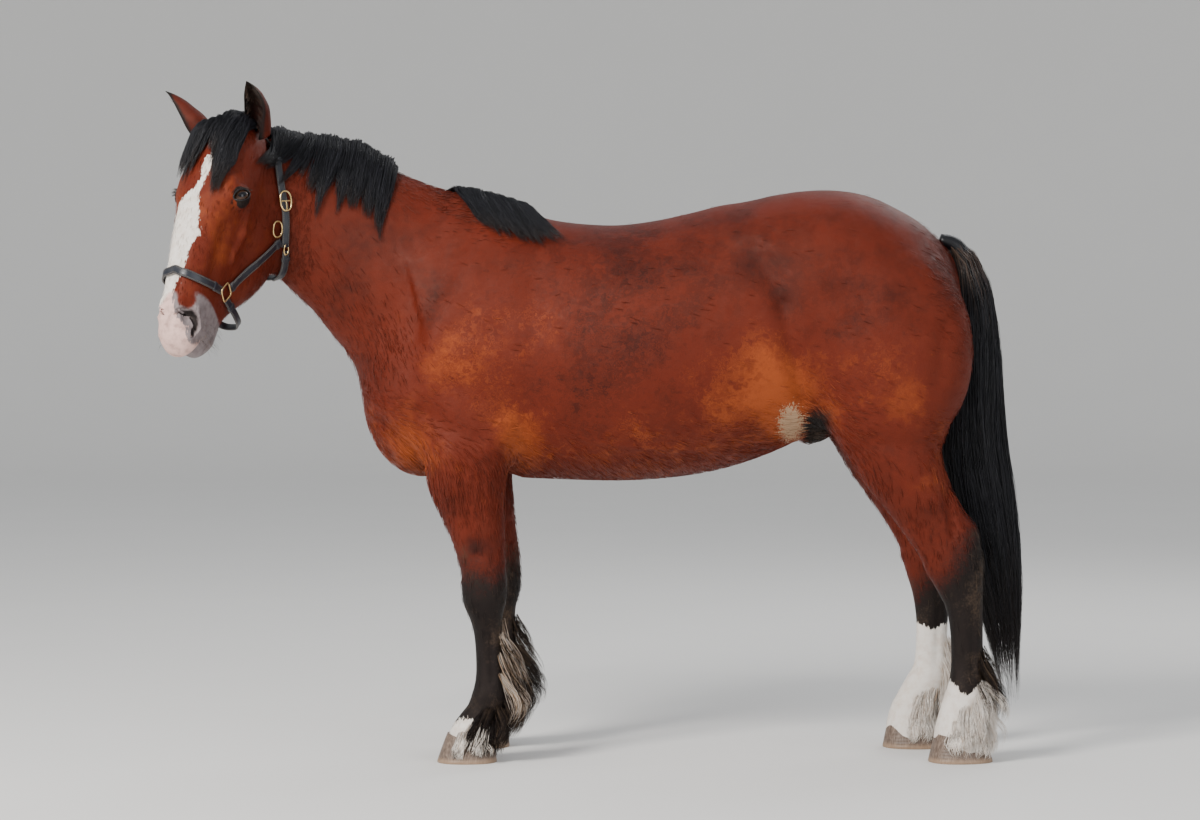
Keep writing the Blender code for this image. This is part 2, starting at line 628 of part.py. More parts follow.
def keep_side(obj, point, normal, gap=GAP / 2):
    """Cuts the mesh by a plane, keeps what the normal faces, a little back from it, and closes it."""
    normal = unit(np.asarray(normal, float))
    point = np.asarray(point, float) + normal * gap
    bm = bmesh.new()
    bm.from_mesh(obj.data)
    every = bm.verts[:] + bm.edges[:] + bm.faces[:]
    bmesh.ops.bisect_plane(bm, geom=every, plane_co=point, plane_no=normal, dist=1e-6, clear_inner=True)
    rim = [e for e in bm.edges if e.is_boundary]
    bmesh.ops.holes_fill(bm, edges=rim, sides=0)
    bmesh.ops.triangulate(bm, faces=bm.faces)
    bmesh.ops.recalc_face_normals(bm, faces=bm.faces)
    bm.to_mesh(obj.data)
    bm.free()
    return obj


def islands(bm):
    """The mesh's separate surfaces, as lists of faces."""
    left, found = set(bm.faces), []
    while left:
        stack = [left.pop()]
        island = []
        while stack:
            face = stack.pop()
            island.append(face)
            for edge in face.edges:
                for other in edge.link_faces:
                    if other in left:
                        left.remove(other)
                        stack.append(other)
        found.append(island)
    return found


def keep_island(obj, near=None):
    """Keeps the largest closed surface, or the one that comes closest to a point."""
    bm = bmesh.new()
    bm.from_mesh(obj.data)
    found = islands(bm)
    if near is None:
        best = max(found, key=lambda island: sum(f.calc_area() for f in island))
    else:
        best = min(found, key=lambda island: min((f.calc_center_median() - near).length for f in island))
    kept = set(best)
    bmesh.ops.delete(bm, geom=[f for f in bm.faces if f not in kept], context="FACES")
    if bm.calc_volume(signed=True) < 0:
        bmesh.ops.reverse_faces(bm, faces=bm.faces)
    bm.to_mesh(obj.data)
    bm.free()
    return obj


def combined(obj, others, operation="UNION"):
    """One Boolean of the object with a collection of others, which are then removed."""
    group = bpy.data.collections.new("operands")
    bpy.context.scene.collection.children.link(group)
    for other in others:
        group.objects.link(other)
    applied(obj, "BOOLEAN", operation=operation, operand_type="COLLECTION", collection=group, solver="MANIFOLD")
    for other in others:
        removed(other)
    bpy.data.collections.remove(group)
    return triangulated(obj)


def inflated(obj, by):
    """A copy grown outwards along its normals."""
    twin = copied(obj, "grown")
    normals = np.empty(len(twin.data.vertices) * 3, np.float32)
    twin.data.vertices.foreach_get("normal", normals)
    place(twin.data, coordinates(twin.data) + by * normals.reshape(-1, 3))
    return twin


def cut_clear(obj, neighbours, by=0.0005):
    """Cuts away what comes closer to the neighbours than a small gap."""
    return combined(obj, [inflated(other, by) for other in neighbours], "DIFFERENCE")


# How far the mane stands up over the crest, along the neck
MANE_RISE = (
    (-1.02, 0.060),
    (-0.97, 0.040),
    (-0.93, 0.018),
    (-0.88, 0.024),
    (-0.82, 0.040),
    (-0.74, 0.044),
    (-0.68, 0.026),
)
# How far the near side's mane is rooted over the top of the neck, and where the locks' roots lie
CREST_OVER = 0.03
LOCK_SINK = 0.012
LOCK_THICK = 0.012
TUFT_WIDTH, BUNCH_WIDTH, WISP_WIDTH, WITHERS_WIDTH, FALL_WIDTH = 0.050, 0.064, 0.034, 0.078, 0.130
FORELOCK_WIDTH = 0.038
TAIL_WIDTH = 0.130
FEATHER_WIDTH = 0.092
# No hair hangs lower than this above the floor
HAIR_FLOOR = 0.012


def overgrown(piece, locks, neighbours):
    """Fuses locks into one coat, cuts it clear of the neighbours and fuses it to the piece."""
    coat = combined(locks[0], locks[1:])
    cut_clear(coat, neighbours)
    combined(piece, [coat])
    keep_island(piece)
    loosened(piece)


def lock_object(path, outward, width, thick, waist=0.6):
    """A flat lock with a ridge along it, widest in its upper half and tapering to the tip."""
    t = np.linspace(0, 1, len(path))
    along = unit(np.gradient(path, axis=0))
    across = unit(np.cross(along, outward))
    top = np.cross(across, along)
    swell = np.interp(t, (0, 0.3, 0.7, 1), (waist, 1, 0.75, 0.14))
    half = (swell * width / 2)[:, None]
    deep = (np.interp(t, (0, 0.3, 1), (1, 0.9, 0.25)) * thick / 2)[:, None]
    edges = [path + side * across * half - 0.4 * top * deep for side in (1, -1)]
    return tube_object("lock", np.stack([edges[0], path + top * deep, edges[1]], axis=1))


def lay(roots, tips, rise=0.0, sink=LOCK_SINK, lift=0.008, cling=1.0, stations=5, distance=body_distance):
    """Paths from roots to tips that keep to the skin: each starts sunk in it and ends lifted off it."""
    t = np.linspace(0, 1, stations)
    roots, tips = np.asarray(roots, float), np.asarray(tips, float)
    lift, rise = (np.broadcast_to(np.asarray(v, float), (len(roots),))[:, None] for v in (lift, rise))
    paths = roots[:, None] * (1 - t)[None, :, None] + tips[:, None] * t[None, :, None]
    want = -sink + (lift + sink) * np.clip(t * 3, 0, 1)[None]
    want = want + rise * np.exp(-(((t - 0.25) / 0.2) ** 2))[None]
    flat = onto_skin(paths.reshape(-1, 3), want.ravel(), 6, cling, distance)
    slope = unit(distance_and_slope(flat, distance)[1])
    return flat.reshape(paths.shape), slope.reshape(paths.shape)


def laid_locks(roots, tips, width, thick, **how):
    paths, outward = lay(roots, tips, **how)
    width = np.broadcast_to(width, (len(paths),))
    return [lock_object(p, o, w, thick) for p, o, w in zip(paths, outward, width)]


def crest_roots(x_values):
    """Points along the top of the neck at given x."""
    neck = LOFTS["neck"]
    top = neck.centre + neck.dorsal * neck.up[:, None]
    order = np.argsort(top[:, 0])
    line = np.stack([np.interp(x_values, top[order, 0], top[order, i]) for i in range(3)], axis=1)
    return onto_skin(line, 0.0)


def side_points(x, z, side):
    """Points on the skin at given x and z, on the near (-1) or off (1) side."""
    start = np.stack([x, np.full(len(x), 0.18) * side + np.interp(x, (-1.0, -0.6), (-0.2, 0.0)), z], axis=1)
    return onto_skin(start, 0.0, 8)


def mane(draw):
    """The mane: a tuft behind the ears, two bunches on the near side and a fall on the off side."""
    locks = []
    over = np.array((0, CREST_OVER, 0))
    where, rises = np.array(MANE_RISE).T

    def raised(count, low, step):
        return low + step * (np.arange(count) % 2) + 0.003 * draw.random(count)

    count = 4
    roots = crest_roots(np.linspace(-0.995, -0.910, count)) + over
    drop = 0.055 + 0.02 * draw.random(count)
    tips = side_points(np.linspace(-0.935, -0.840, count), roots[:, 2] - drop, -1)
    rise = np.interp(roots[:, 0], where, rises) * raised(count, 0.7, 0.3)
    locks += laid_locks(roots, tips, TUFT_WIDTH, LOCK_THICK, rise=rise, lift=raised(count, 0.007, 0.011))

    count = 9
    x = np.linspace(-0.895, -0.670, count)
    roots = crest_roots(x) + over
    drop = 0.115 + 0.035 * draw.random(count)
    drop[1], drop[-2] = 0.26, 0.24
    tips = side_points(x + 0.02, roots[:, 2] - drop, -1)
    width = np.where(drop > 0.2, WISP_WIDTH, BUNCH_WIDTH)
    rise = np.interp(x, where, rises) * raised(count, 0.68, 0.32)
    locks += laid_locks(roots, tips, width, LOCK_THICK, rise=rise, lift=raised(count, 0.008, 0.012))

    count = 5
    spread = np.linspace(0, 1, count)
    roots = crest_roots(-0.47 + 0.17 * spread)
    tip_z = np.interp(spread, (0, 0.3, 0.75, 1), (1.665, 1.60, 1.565, 1.64))
    tips = side_points(-0.36 + 0.24 * spread + 0.02 * draw.random(count), tip_z, -1)
    locks += laid_locks(roots, tips, WITHERS_WIDTH, LOCK_THICK, lift=raised(count, 0.010, 0.013))

    count = 7
    x = np.linspace(-0.98, -0.34, count)
    roots = crest_roots(x)
    drop = 0.19 + 0.06 * draw.random(count)
    tips = side_points(x + 0.03 + 0.03 * draw.random(count), roots[:, 2] - drop, 1)
    locks += laid_locks(roots, tips, FALL_WIDTH, LOCK_THICK, lift=raised(count, 0.009, 0.013))
    return locks


def forelock(draw):
    """The forelock: it parts over the forehead, to the far side of the star and to the near eye."""
    locks = []
    near = (
        ((0.00, 0.012), (0.175, 0.045)),
        ((0.00, 0.024), (0.205, 0.068)),
        ((0.00, 0.034), (0.235, 0.086)),
        ((0.005, 0.042), (0.200, 0.098)),
    )
    far = (
        ((0.00, -0.002), (0.120, -0.030)),
        ((0.00, -0.012), (0.190, -0.045)),
        ((0.00, -0.022), (0.205, -0.066)),
        ((0.00, -0.034), (0.180, -0.084)),
    )
    for group in (near, far):
        roots = from_head([(x, y, -0.05) for (x, y), _ in group])
        tips = from_head([(x, y, 0.02) for _, (x, y) in group])
        count = len(group)
        lift = 0.006 + 0.010 * (np.arange(count) % 2) + 0.003 * draw.random(count)
        roots, tips = onto_skin(roots, 0.0, 6), onto_skin(tips, 0.0, 6)
        locks += laid_locks(roots, tips, FORELOCK_WIDTH, LOCK_THICK, lift=lift)
    return locks


TAIL_LINE = (
    (1.060, 0, 1.610, 0.020, 0.030),
    (1.110, 0, 1.590, 0.036, 0.045),
    (1.145, 0, 1.520, 0.050, 0.060),
    (1.160, 0, 1.420, 0.064, 0.072),
    (1.166, 0, 1.300, 0.076, 0.082),
    (1.162, 0, 1.160, 0.092, 0.088),
    (1.162, 0, 1.000, 0.104, 0.090),
    (1.184, 0, 0.850, 0.108, 0.088),
    (1.212, 0, 0.700, 0.100, 0.084),
    (1.242, 0, 0.540, 0.082, 0.072),
    (1.264, 0, 0.380, 0.056, 0.056),
    (1.282, 0, 0.235, 0.030, 0.034),
)


def tail(draw):
    """The core of the tail and the locks that fall round it."""
    table = smooth_rows(TAIL_LINE, 61)
    centre, deep, wide = table[:, :3], table[:, 3], table[:, 4]
    along = unit(np.gradient(centre, axis=0))
    back = np.cross(along, Y_AXIS)
    angle = np.linspace(0, 2 * math.pi, 8, endpoint=False)
    used = np.arange(0, 37, 6)
    share = np.interp(used, (0, 8, 24, 36), (0.9, 0.8, 0.55, 0.3))
    rings = (
        centre[used][:, None]
        + (share * deep[used])[:, None, None] * np.cos(angle)[None, :, None] * back[used][:, None]
        + (share * wide[used])[:, None, None] * np.sin(angle)[None, :, None] * Y_AXIS
    )
    core = tube_object("tail", rings)
    locks = []
    for row, (count, first, reach) in enumerate(((3, 8, 0.82), (6, 1, 0.95))):
        for i in range(count):
            turn = 2 * math.pi * (i + 0.5 * row + 0.15 * draw.random()) / count
            start = first + int(3 * draw.random())
            end = int((reach + 0.07 * draw.random()) * 60)
            t = np.linspace(0, 1, 5)
            k = start + t * (end - start)
            bulge = np.interp(t, (0, 0.12, 1), (0.45, 0.76 + 0.17 * (row % 2), 0.60))
            wave = turn + 0.08 * np.sin(5 * t + 6 * draw.random())
            at = [np.interp(k, np.arange(61), centre[:, j]) for j in range(3)]
            behind = np.stack([np.interp(k, np.arange(61), back[:, j]) for j in range(3)], axis=1)
            out = (
                behind * (np.interp(k, np.arange(61), deep) * np.cos(wave))[:, None]
                + Y_AXIS * (np.interp(k, np.arange(61), wide) * np.sin(wave))[:, None]
            )
            path = np.stack(at, axis=1) + out * bulge[:, None]
            locks.append(lock_object(path, unit(out), TAIL_WIDTH, LOCK_THICK, waist=0.7))
    return core, locks


# The roundness of a hoof's outline, its sole against the wall above, how much its width draws in
# toward the top, and the height that clears every hoof
HOOF_POWER = 2.3
SOLE_SHARE = 0.985
HOOF_TAPER = 0.17
HOOF_TOP = 0.095


def hoof_rings(toe, heel, y, half, front, back, turn):
    """Rings from the sole to the top edge, which slopes down to the heel."""
    angle = np.linspace(0, 2 * math.pi, 16, endpoint=False)
    c, s = np.cos(angle), np.sin(angle)
    round_off = (np.abs(c) ** HOOF_POWER + np.abs(s) ** HOOF_POWER) ** (-1 / HOOF_POWER)
    sole_mid, sole_long = (toe + heel) / 2, (heel - toe) / 2
    top_mid, top_long = (front[0] + back[0]) / 2, (back[0] - front[0]) / 2
    slope = (back[1] - front[1]) / (back[0] - front[0])
    rings = []
    for share in (0.0, 0.06, 0.5, 1.0):
        shrink = SOLE_SHARE if share == 0 else 1.0
        mid = sole_mid * (1 - share) + top_mid * share
        long = (sole_long * (1 - share) + top_long * share) * shrink
        wide = half * (1 - HOOF_TAPER * share) * shrink
        x = mid - long * c * round_off
        top = front[1] + slope * (x - front[0]) - GAP / 2
        rings.append(np.stack([x, y - wide * s * round_off, top * share], axis=1))
    rings = np.array(rings)
    middle = np.array((sole_mid, y))
    turned = math.radians(turn)
    spin = np.array(((math.cos(turned), -math.sin(turned)), (math.sin(turned), math.cos(turned))))
    rings[..., :2] = (rings[..., :2] - middle) @ spin.T + middle
    return rings


def coronet_plane(toe, heel, y, half, front, back, turn):
    """The plane between hoof and leg: a point on it and the direction that faces the leg."""
    rings = hoof_rings(toe, heel, y, half, front, back, turn)
    top = rings[-1]
    normal = unit(np.cross(top[4] - top[0], top[8] - top[0]))
    normal = normal * np.sign(normal[2])
    return top.mean(0) + normal * GAP / 2, normal


def hoof_distance(points):
    """About how far each point lies from the nearest hoof's wall."""
    result = np.full(len(points), 1.0)
    for hoof in HOOVES.values():
        middle = (hoof["toe"] + hoof["heel"]) / 2
        long = (hoof["heel"] - hoof["toe"]) / 2
        ratio = np.hypot((points[:, 0] - middle) / long, (points[:, 1] - hoof["y"]) / hoof["half"])
        radial = np.hypot(points[:, 0] - middle, points[:, 1] - hoof["y"])
        wall = radial * (1 - 1 / np.maximum(ratio, 0.2))
        result = np.minimum(result, np.maximum(wall, points[:, 2] - HOOF_TOP))
    return result


def foot_distance(points):
    return np.minimum(body_distance(points), hoof_distance(points))


def feather(leg, draw):
    """The long hair behind the cannon and fetlock, which falls round the heels."""
    loft = LOFTS[leg]
    fore = "fore" in leg
    locks = []
    rows = (
        (2, (0.41, 0.28) if fore else (0.34, 0.27), 22, 0.150, 0.115),
        (4, (0.240, 0.210), 60, 0.130, 0.156),
        (4, (0.180, 0.150), 80, 0.110, 0.150),
    )
    line = loft.centre[np.argsort(loft.centre[:, 2])]
    heights = line[:, 2]
    for count, (high, low), fan, fall, out in rows:
        spread = np.linspace(-1, 1, count)
        above = fan < 30
        height = np.linspace(high, low, count) if above else high + (low - high) * np.abs(spread)
        turn = np.radians(fan * np.sin(9 * spread) if above else spread * fan)
        away = np.stack([np.cos(turn), np.sin(turn), np.zeros(count)], axis=1)
        at = np.stack([np.interp(height, heights, line[:, i]) for i in range(3)], axis=1)
        roots = onto_skin(at + away * 0.06, 0.0, 5)
        end = np.maximum(height - fall - 0.03 * draw.random(count), HAIR_FLOOR + 0.01)
        foot = np.stack([np.interp(end, heights, line[:, i]) for i in range(3)], axis=1)
        reach = out + 0.015 * draw.random(count)
        tips = foot + away * reach[:, None]
        lift = 0.012 + 0.010 * draw.random(count)
        paths, outward = lay(roots, tips, cling=0.03, lift=lift, stations=4, distance=foot_distance)
        outward = unit(away[:, None] + 0.3 * outward)
        paths[..., 2] = np.maximum(paths[..., 2], HAIR_FLOOR)
        locks += [lock_object(p, o, FEATHER_WIDTH, LOCK_THICK) for p, o in zip(paths, outward)]
    return locks


def ear_object(name, base, tip, opening, width, bow, thick=0.0045):
    """A cupped ear: a leaf rolled round its axis, open toward one side, thick as gristle."""
    base, tip = np.array(base), np.array(tip)
    axis = unit(tip - base)
    length = np.linalg.norm(tip - base)
    front = np.asarray(opening, float)
    front = unit(front - (front @ axis) * axis)
    side = np.cross(axis, front)
    t = np.linspace(0, 1, 8)
    half = width * np.interp(t, (0, 0.18, 0.45, 0.75, 0.93, 1), (0.75, 0.92, 1.0, 0.72, 0.30, 0.05))
    rolled = np.radians(np.interp(t, (0, 0.2, 0.5, 1), (165, 145, 112, 70)))
    lean = bow * np.sin(math.pi * t)
    sheet = []
    for inner in (0, 1):
        v = np.linspace(-1, 1, 7)
        angle = rolled[:, None] * v[None]
        radius = half[:, None] / np.sin(np.minimum(rolled, math.pi / 2))[:, None] - inner * thick
        radius = np.maximum(radius, 0.0015)
        shrink = 1 - inner * 0.02
        centre = base + axis * (length * t[:, None] * shrink) - front * lean[:, None]
        points = (
            centre[:, None]
            - front * (radius * np.cos(angle))[..., None]
            + side * (radius * np.sin(angle))[..., None]
        )
        sheet.append(points)
    outer, inner = sheet
    ring = np.concatenate([outer, inner[:, ::-1]], axis=1)
    return tube_object(name, ring)


HALTER = {
    "crown": ((0.290, 0.095, -0.305), (0.211, 0.103, -0.273), (0.159, 0.094, -0.250), (0.087, 0.078, -0.231),
              (0.010, 0.068, -0.222), (-0.045, 0.048, -0.205), (-0.068, 0.000, -0.190)),
    "cheek": ((0.312, 0.090, -0.284), (0.389, 0.079, -0.226), (0.476, 0.064, -0.172)),
    "nose": ((0.508, 0.068, -0.112), (0.510, 0.060, -0.043), (0.500, 0.020, -0.003), (0.494, 0.000, 0.000)),
    "chin": ((0.538, 0.062, -0.170), (0.552, 0.054, -0.225), (0.562, 0.030, -0.268), (0.565, 0.000, -0.275)),
    "throat": ((0.316, 0.090, -0.328), (0.346, 0.072, -0.358), (0.362, 0.040, -0.382), (0.366, 0.000, -0.392)),
}
# The square ring, the jaw ring and the buckle: where each lies and the point that its long way faces
RINGS = {
    "square_ring": ((0.507, 0.062, -0.142), (0.389, 0.079, -0.226)),
    "jaw_ring": ((0.266, 0.093, -0.262), (0.190, 0.095, -0.238)),
    "buckle": ((0.181, 0.100, -0.260), (0.087, 0.078, -0.231)),
}
HALTER_NAME = re.compile("halter|strap|ring|buckle")
STRAP_WIDTH = 0.025
STRAP_THICK = 0.005
STRAP_CLEAR = 0.0045


def strap_object(name, line, whole, loose=False):
    """A strap laid over the skin: one side, or mirrored into a whole loop over the middle."""
    line = np.array(line, float)
    if whole:
        line = np.vstack([line, (line * (1, -1, 1))[-2::-1]])
    rows = smooth_rows(line, max(7, 2 * len(line) - 1))
    path = from_head(rows)
    want = STRAP_CLEAR + STRAP_THICK / 2
    path = onto_skin(path, want, 8, 0.0 if loose else 1.0)
    outward = unit(distance_and_slope(path)[1])
    if loose:
        outward = unit(outward + 2 * unit(path - path.mean(0)))
    along = unit(np.gradient(path, axis=0))
    across = unit(np.cross(along, outward))
    top = np.cross(across, along)
    half, deep = STRAP_WIDTH / 2, STRAP_THICK / 2
    corners = ((1, 1), (-1, 1), (-1, -1), (1, -1))
    rings = np.stack([path + across * half * a + top * deep * b for a, b in corners], axis=1)
    return tube_object(name, rings), path, outward


def ring_object(name, centre, axis_a, axis_b, half_a, half_b, wire, power=2.0, around=12, sides=4):
    """A wire bent round an oval or a rounded square in the plane of two axes."""
    angle = np.linspace(0, 2 * math.pi, around, endpoint=False)
    c, s = np.cos(angle), np.sin(angle)
    reach = (np.abs(c) ** power + np.abs(s) ** power) ** (-1 / power)
    path = np.array(centre) + (half_a * c * reach)[:, None] * axis_a + (half_b * s * reach)[:, None] * axis_b
    along = unit(np.roll(path, -1, 0) - np.roll(path, 1, 0))
    normal = unit(np.cross(axis_a, axis_b))
    across = np.cross(along, normal)
    turn = np.linspace(0, 2 * math.pi, sides, endpoint=False)
    rings = (
        path[:, None]
        + wire * np.cos(turn)[None, :, None] * across[:, None]
        + wire * np.sin(turn)[None, :, None] * normal
    )
    return tube_object(name, rings, closed=True)


def fitting(name, at, toward, half_a, half_b, power, wire=0.0028, lift=0.0075):
    """A brass ring or buckle lying over the skin at a point of the head, its long way toward another."""
    centre = onto_skin(from_head([at]), lift, 6)
    outward = unit(distance_and_slope(centre)[1])[0]
    axis_a = from_head([toward])[0] - centre[0]
    axis_a = unit(axis_a - (axis_a @ outward) * outward)
    return ring_object(name, centre[0], axis_a, np.cross(outward, axis_a), half_a, half_b, wire, power)


def halter(made):
    """The head collar: leather straps with brass rings and buckles."""
    made["halter_crown"] = strap_object("halter_crown", HALTER["crown"], True)[0]
    made["halter_noseband"] = strap_object("halter_noseband", HALTER["nose"], True)[0]
    made["halter_chin_strap"] = strap_object("halter_chin_strap", HALTER["chin"], True, loose=True)[0]
    made["halter_throatlatch"] = strap_object("halter_throatlatch", HALTER["throat"], True, loose=True)[0]
    for side, sign in (("left", 1), ("right", -1)):
        mirror = np.array((1, sign, 1))
        made[side + "_cheek_strap"] = strap_object(side + "_cheek_strap", HALTER["cheek"] * mirror, False)[0]
        at = {name: (point * mirror, toward * mirror) for name, (point, toward) in RINGS.items()}
        square = fitting(side + "_square_ring", *at["square_ring"], 0.017, 0.017, 5.0)
        jaw = fitting(side + "_jaw_ring", *at["jaw_ring"], 0.020, 0.0145, 2.4)
        buckle = fitting(side + "_buckle", *at["buckle"], 0.028, 0.0175, 2.2, lift=0.0165)
        for obj in (square, jaw, buckle):
            made[obj.name] = obj
    for name, obj in made.items():
        if HALTER_NAME.search(name):
            keep_island(cut_clear(obj, [made["head"], made["neck"]], 0.0015))


def painted(obj, finish):
    colour, roughness, metallic = FINISHES[finish]
    material = bpy.data.materials.get(finish) or bpy.data.materials.new(finish)
    material.use_nodes = True
    shader = material.node_tree.nodes["Principled BSDF"]
    shader.inputs["Base Color"].default_value = (*colour, 1)
    shader.inputs["Roughness"].default_value = roughness
    shader.inputs["Metallic"].default_value = metallic
    obj.data.materials.clear()
    obj.data.materials.append(material)


def thinned(obj, faces):
    obj.data.update()
    have = sum(len(p.vertices) - 2 for p in obj.data.polygons)
    return applied(obj, "DECIMATE", ratio=min(1.0, faces / have), use_collapse_triangulate=True)


def part_body(body, made):
    """Parts the flesh below the head into the pieces that a person would name."""

    def piece(name, near, *planes):
        obj = copied(body, name)
        for point, normal in planes:
            keep_side(obj, point, normal)
        made[name] = keep_island(obj, near=near)

    def level(height, sign):
        return (0, 0, height), (0, 0, sign)

    def flipped(plane):
        return plane[0], tuple(-v for v in plane[1])

    piece("neck", Vector((-0.7, 0, 1.6)), NECK_PLANE, flipped(HEAD_PLANE))
    piece("torso", Vector((0, 0, 1.3)), flipped(NECK_PLANE), flipped(THIGH_PLANE), level(ELBOW_HEIGHT, 1))
    for leg, side in (("near", "left"), ("off", "right")):
        sign = -1 if leg == "near" else 1
        half = (0, 0, 0), (0, sign, 0)
        for end in ("fore", "hind"):
            hoof = HOOVES[f"{leg}_{end}"]
            top = coronet_plane(**hoof)
            at = Vector((hoof["toe"] + 0.12, hoof["y"], 0))
            split = FORE_CANNON_HEIGHT if end == "fore" else HIND_CANNON_HEIGHT
            piece(f"{side}_{end}_cannon", at + Vector((0, 0, 0.3)), half, level(split, -1), top)
            made[f"{side}_{end}_hoof"] = tube_object(f"{side}_{end}_hoof", hoof_rings(**hoof))
        piece(f"{side}_forearm", Vector((-0.37, 0.18 * sign, 0.6)), half, level(FORE_CANNON_HEIGHT, 1),
              level(ELBOW_HEIGHT, -1))
        piece(f"{side}_thigh", Vector((0.9, 0.2 * sign, 1.05)), half, THIGH_PLANE, level(STIFLE_HEIGHT, 1))
        piece(f"{side}_gaskin", Vector((1.0, 0.2 * sign, 0.8)), half, level(HIND_CANNON_HEIGHT, 1),
              level(STIFLE_HEIGHT, -1))


def ball(name, centre, radius):
    bm = bmesh.new()
    bmesh.ops.create_uvsphere(bm, u_segments=12, v_segments=9, radius=radius)
    bmesh.ops.transform(bm, matrix=Matrix.Translation(centre), verts=bm.verts)
    mesh = bpy.data.meshes.new(name)
    bm.to_mesh(mesh)
    bm.free()
    obj = bpy.data.objects.new(name, mesh)
    bpy.context.scene.collection.objects.link(obj)
    return obj


def eye(head, side, mirror):
    """Raises the lids on the head round a slit, sinks the socket and makes the eye."""
    skin = onto_skin(from_head([EYE * mirror]), 0.0, 6)[0]
    facing = unit((EYE_FACING * mirror) @ HEAD_AXES.T)
    centre = skin - facing * (EYE_RADIUS - EYE_PROUD)
    long = (EYE_AXIS * mirror) @ HEAD_AXES.T
    long = unit(long - (long @ facing) * facing)
    high = np.cross(facing, long)
    angle = np.linspace(0, 2 * math.pi, 16, endpoint=False)
    c, s = np.cos(angle), np.sin(angle)
    outline = (SLIT[0] * c)[:, None] * long + (SLIT[1] * s * (1 - 0.25 * c * c))[:, None] * high
    depths = np.array((0.3, 2.0))[:, None, None] * EYE_RADIUS * facing
    slit = tube_object("slit", centre + outline[None] * np.array((0.75, 1.2))[:, None, None] + depths)
    combined(head, [ball("lids", centre, EYE_RADIUS + LID)])
    combined(head, [slit], "DIFFERENCE")
    combined(head, [ball("socket", centre, EYE_RADIUS + GAP * 1.3)], "DIFFERENCE")
    return ball(f"{side}_eye", centre, EYE_RADIUS)


def make_head(made):
    """The head, its ears and its eyes."""
    lofts = [LOFTS["neck"].rings(32), from_head(SKULL_LOFT.rings(40)), from_head(JAW_LOFT.rings(40))]
    head = flesh("head", lofts, 0.0055)
    keep_side(head, np.array(HEAD_PLANE[0]) - 0.02 * np.array(HEAD_PLANE[1]), HEAD_PLANE[1])
    keep_island(head)
    thinned(head, HEAD_FACES)
    keep_side(head, *HEAD_PLANE)
    keep_island(head)
    for side, sign in (("left", 1), ("right", -1)):
        made[f"{side}_eye"] = eye(head, side, np.array((1, sign, 1)))
    made["head"] = keep_island(head)
    for name, at, reach, opening, width, bow in EARS:
        base = from_head([at])[0]
        made[name] = ear_object(name, base - 0.15 * np.array(reach), base + reach, opening, width, bow)
        keep_island(cut_clear(made[name], [head]))


def main():
    clear_scene()
    draw = np.random.default_rng(SEED)
    made = {}
    lofts = [loft.rings() for loft in LOFTS.values()] + [ellipsoid_rings(*BREAST)]
    lofts += [from_head(loft.rings()) for loft in (SKULL_LOFT, JAW_LOFT)]
    body = flesh("body", lofts, 0.012)
    thinned(body, FLESH_FACES)
    part_body(body, made)
    removed(body)
    make_head(made)
    halter(made)
    ears = [made["left_ear"], made["right_ear"]]
    near_neck = [made["head"], made["halter_crown"], made["torso"]] + ears
    overgrown(made["neck"], mane(draw), near_neck)
    overgrown(made["head"], forelock(draw), [made["halter_crown"]] + ears)
    for leg, side in (("near", "left"), ("off", "right")):
        for end in ("fore", "hind"):
            hoof = made[f"{side}_{end}_hoof"]
            overgrown(made[f"{side}_{end}_cannon"], feather(f"{leg}_{end}", draw), [hoof])
    core, locks = tail(draw)
    combined(core, locks)
    made["tail"] = keep_island(cut_clear(core, [made[n] for n in ("torso", "left_thigh", "right_thigh")]))
    loosened(made["tail"])
    return finish(made)


def finish(made):
    """Names, finishes and the collection, with everything moved so that the origin is under it."""
    every = np.vstack([coordinates(obj.data) for obj in made.values()])
    low, high = every.min(0), every.max(0)
    shift = -np.array(((low[0] + high[0]) / 2, (low[1] + high[1]) / 2, low[2]))
    group = bpy.data.collections.new("heavy_horse")
    bpy.context.scene.collection.children.link(group)
    for name, obj in made.items():
        obj.name = name
        place(obj.data, coordinates(obj.data) + shift)
        bpy.context.scene.collection.objects.unlink(obj)
        group.objects.link(obj)
        painted(obj, finish_of(name))
        obj.data.shade_smooth()
        obj.data.set_sharp_from_angle(angle=math.radians(50))
    return shift


def finish_of(name):
    if "hoof" in name:
        return "hoof_horn"
    if "ring" in name or "buckle" in name:
        return "brass"
    if "halter" in name or "strap" in name:
        return "halter_leather"
    if "eye" in name:
        return "eye_gloss"
    if name == "tail":
        return "black_hair"
    if "cannon" in name:
        return "white_leg" if "hind" in name else "dark_leg"
    return "bay_coat"


if __name__ == "__main__":
    main()
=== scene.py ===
"""The heavy horse's looks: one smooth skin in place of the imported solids, with eyes, hooves, a
leather halter and hair built over it as fine solid tufts and strands.

Metres, +Z up. The shapes are worked out where the horse is modelled, facing -X with the left side at
-Y and X = 0 a little behind the withers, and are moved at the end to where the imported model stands.
"""

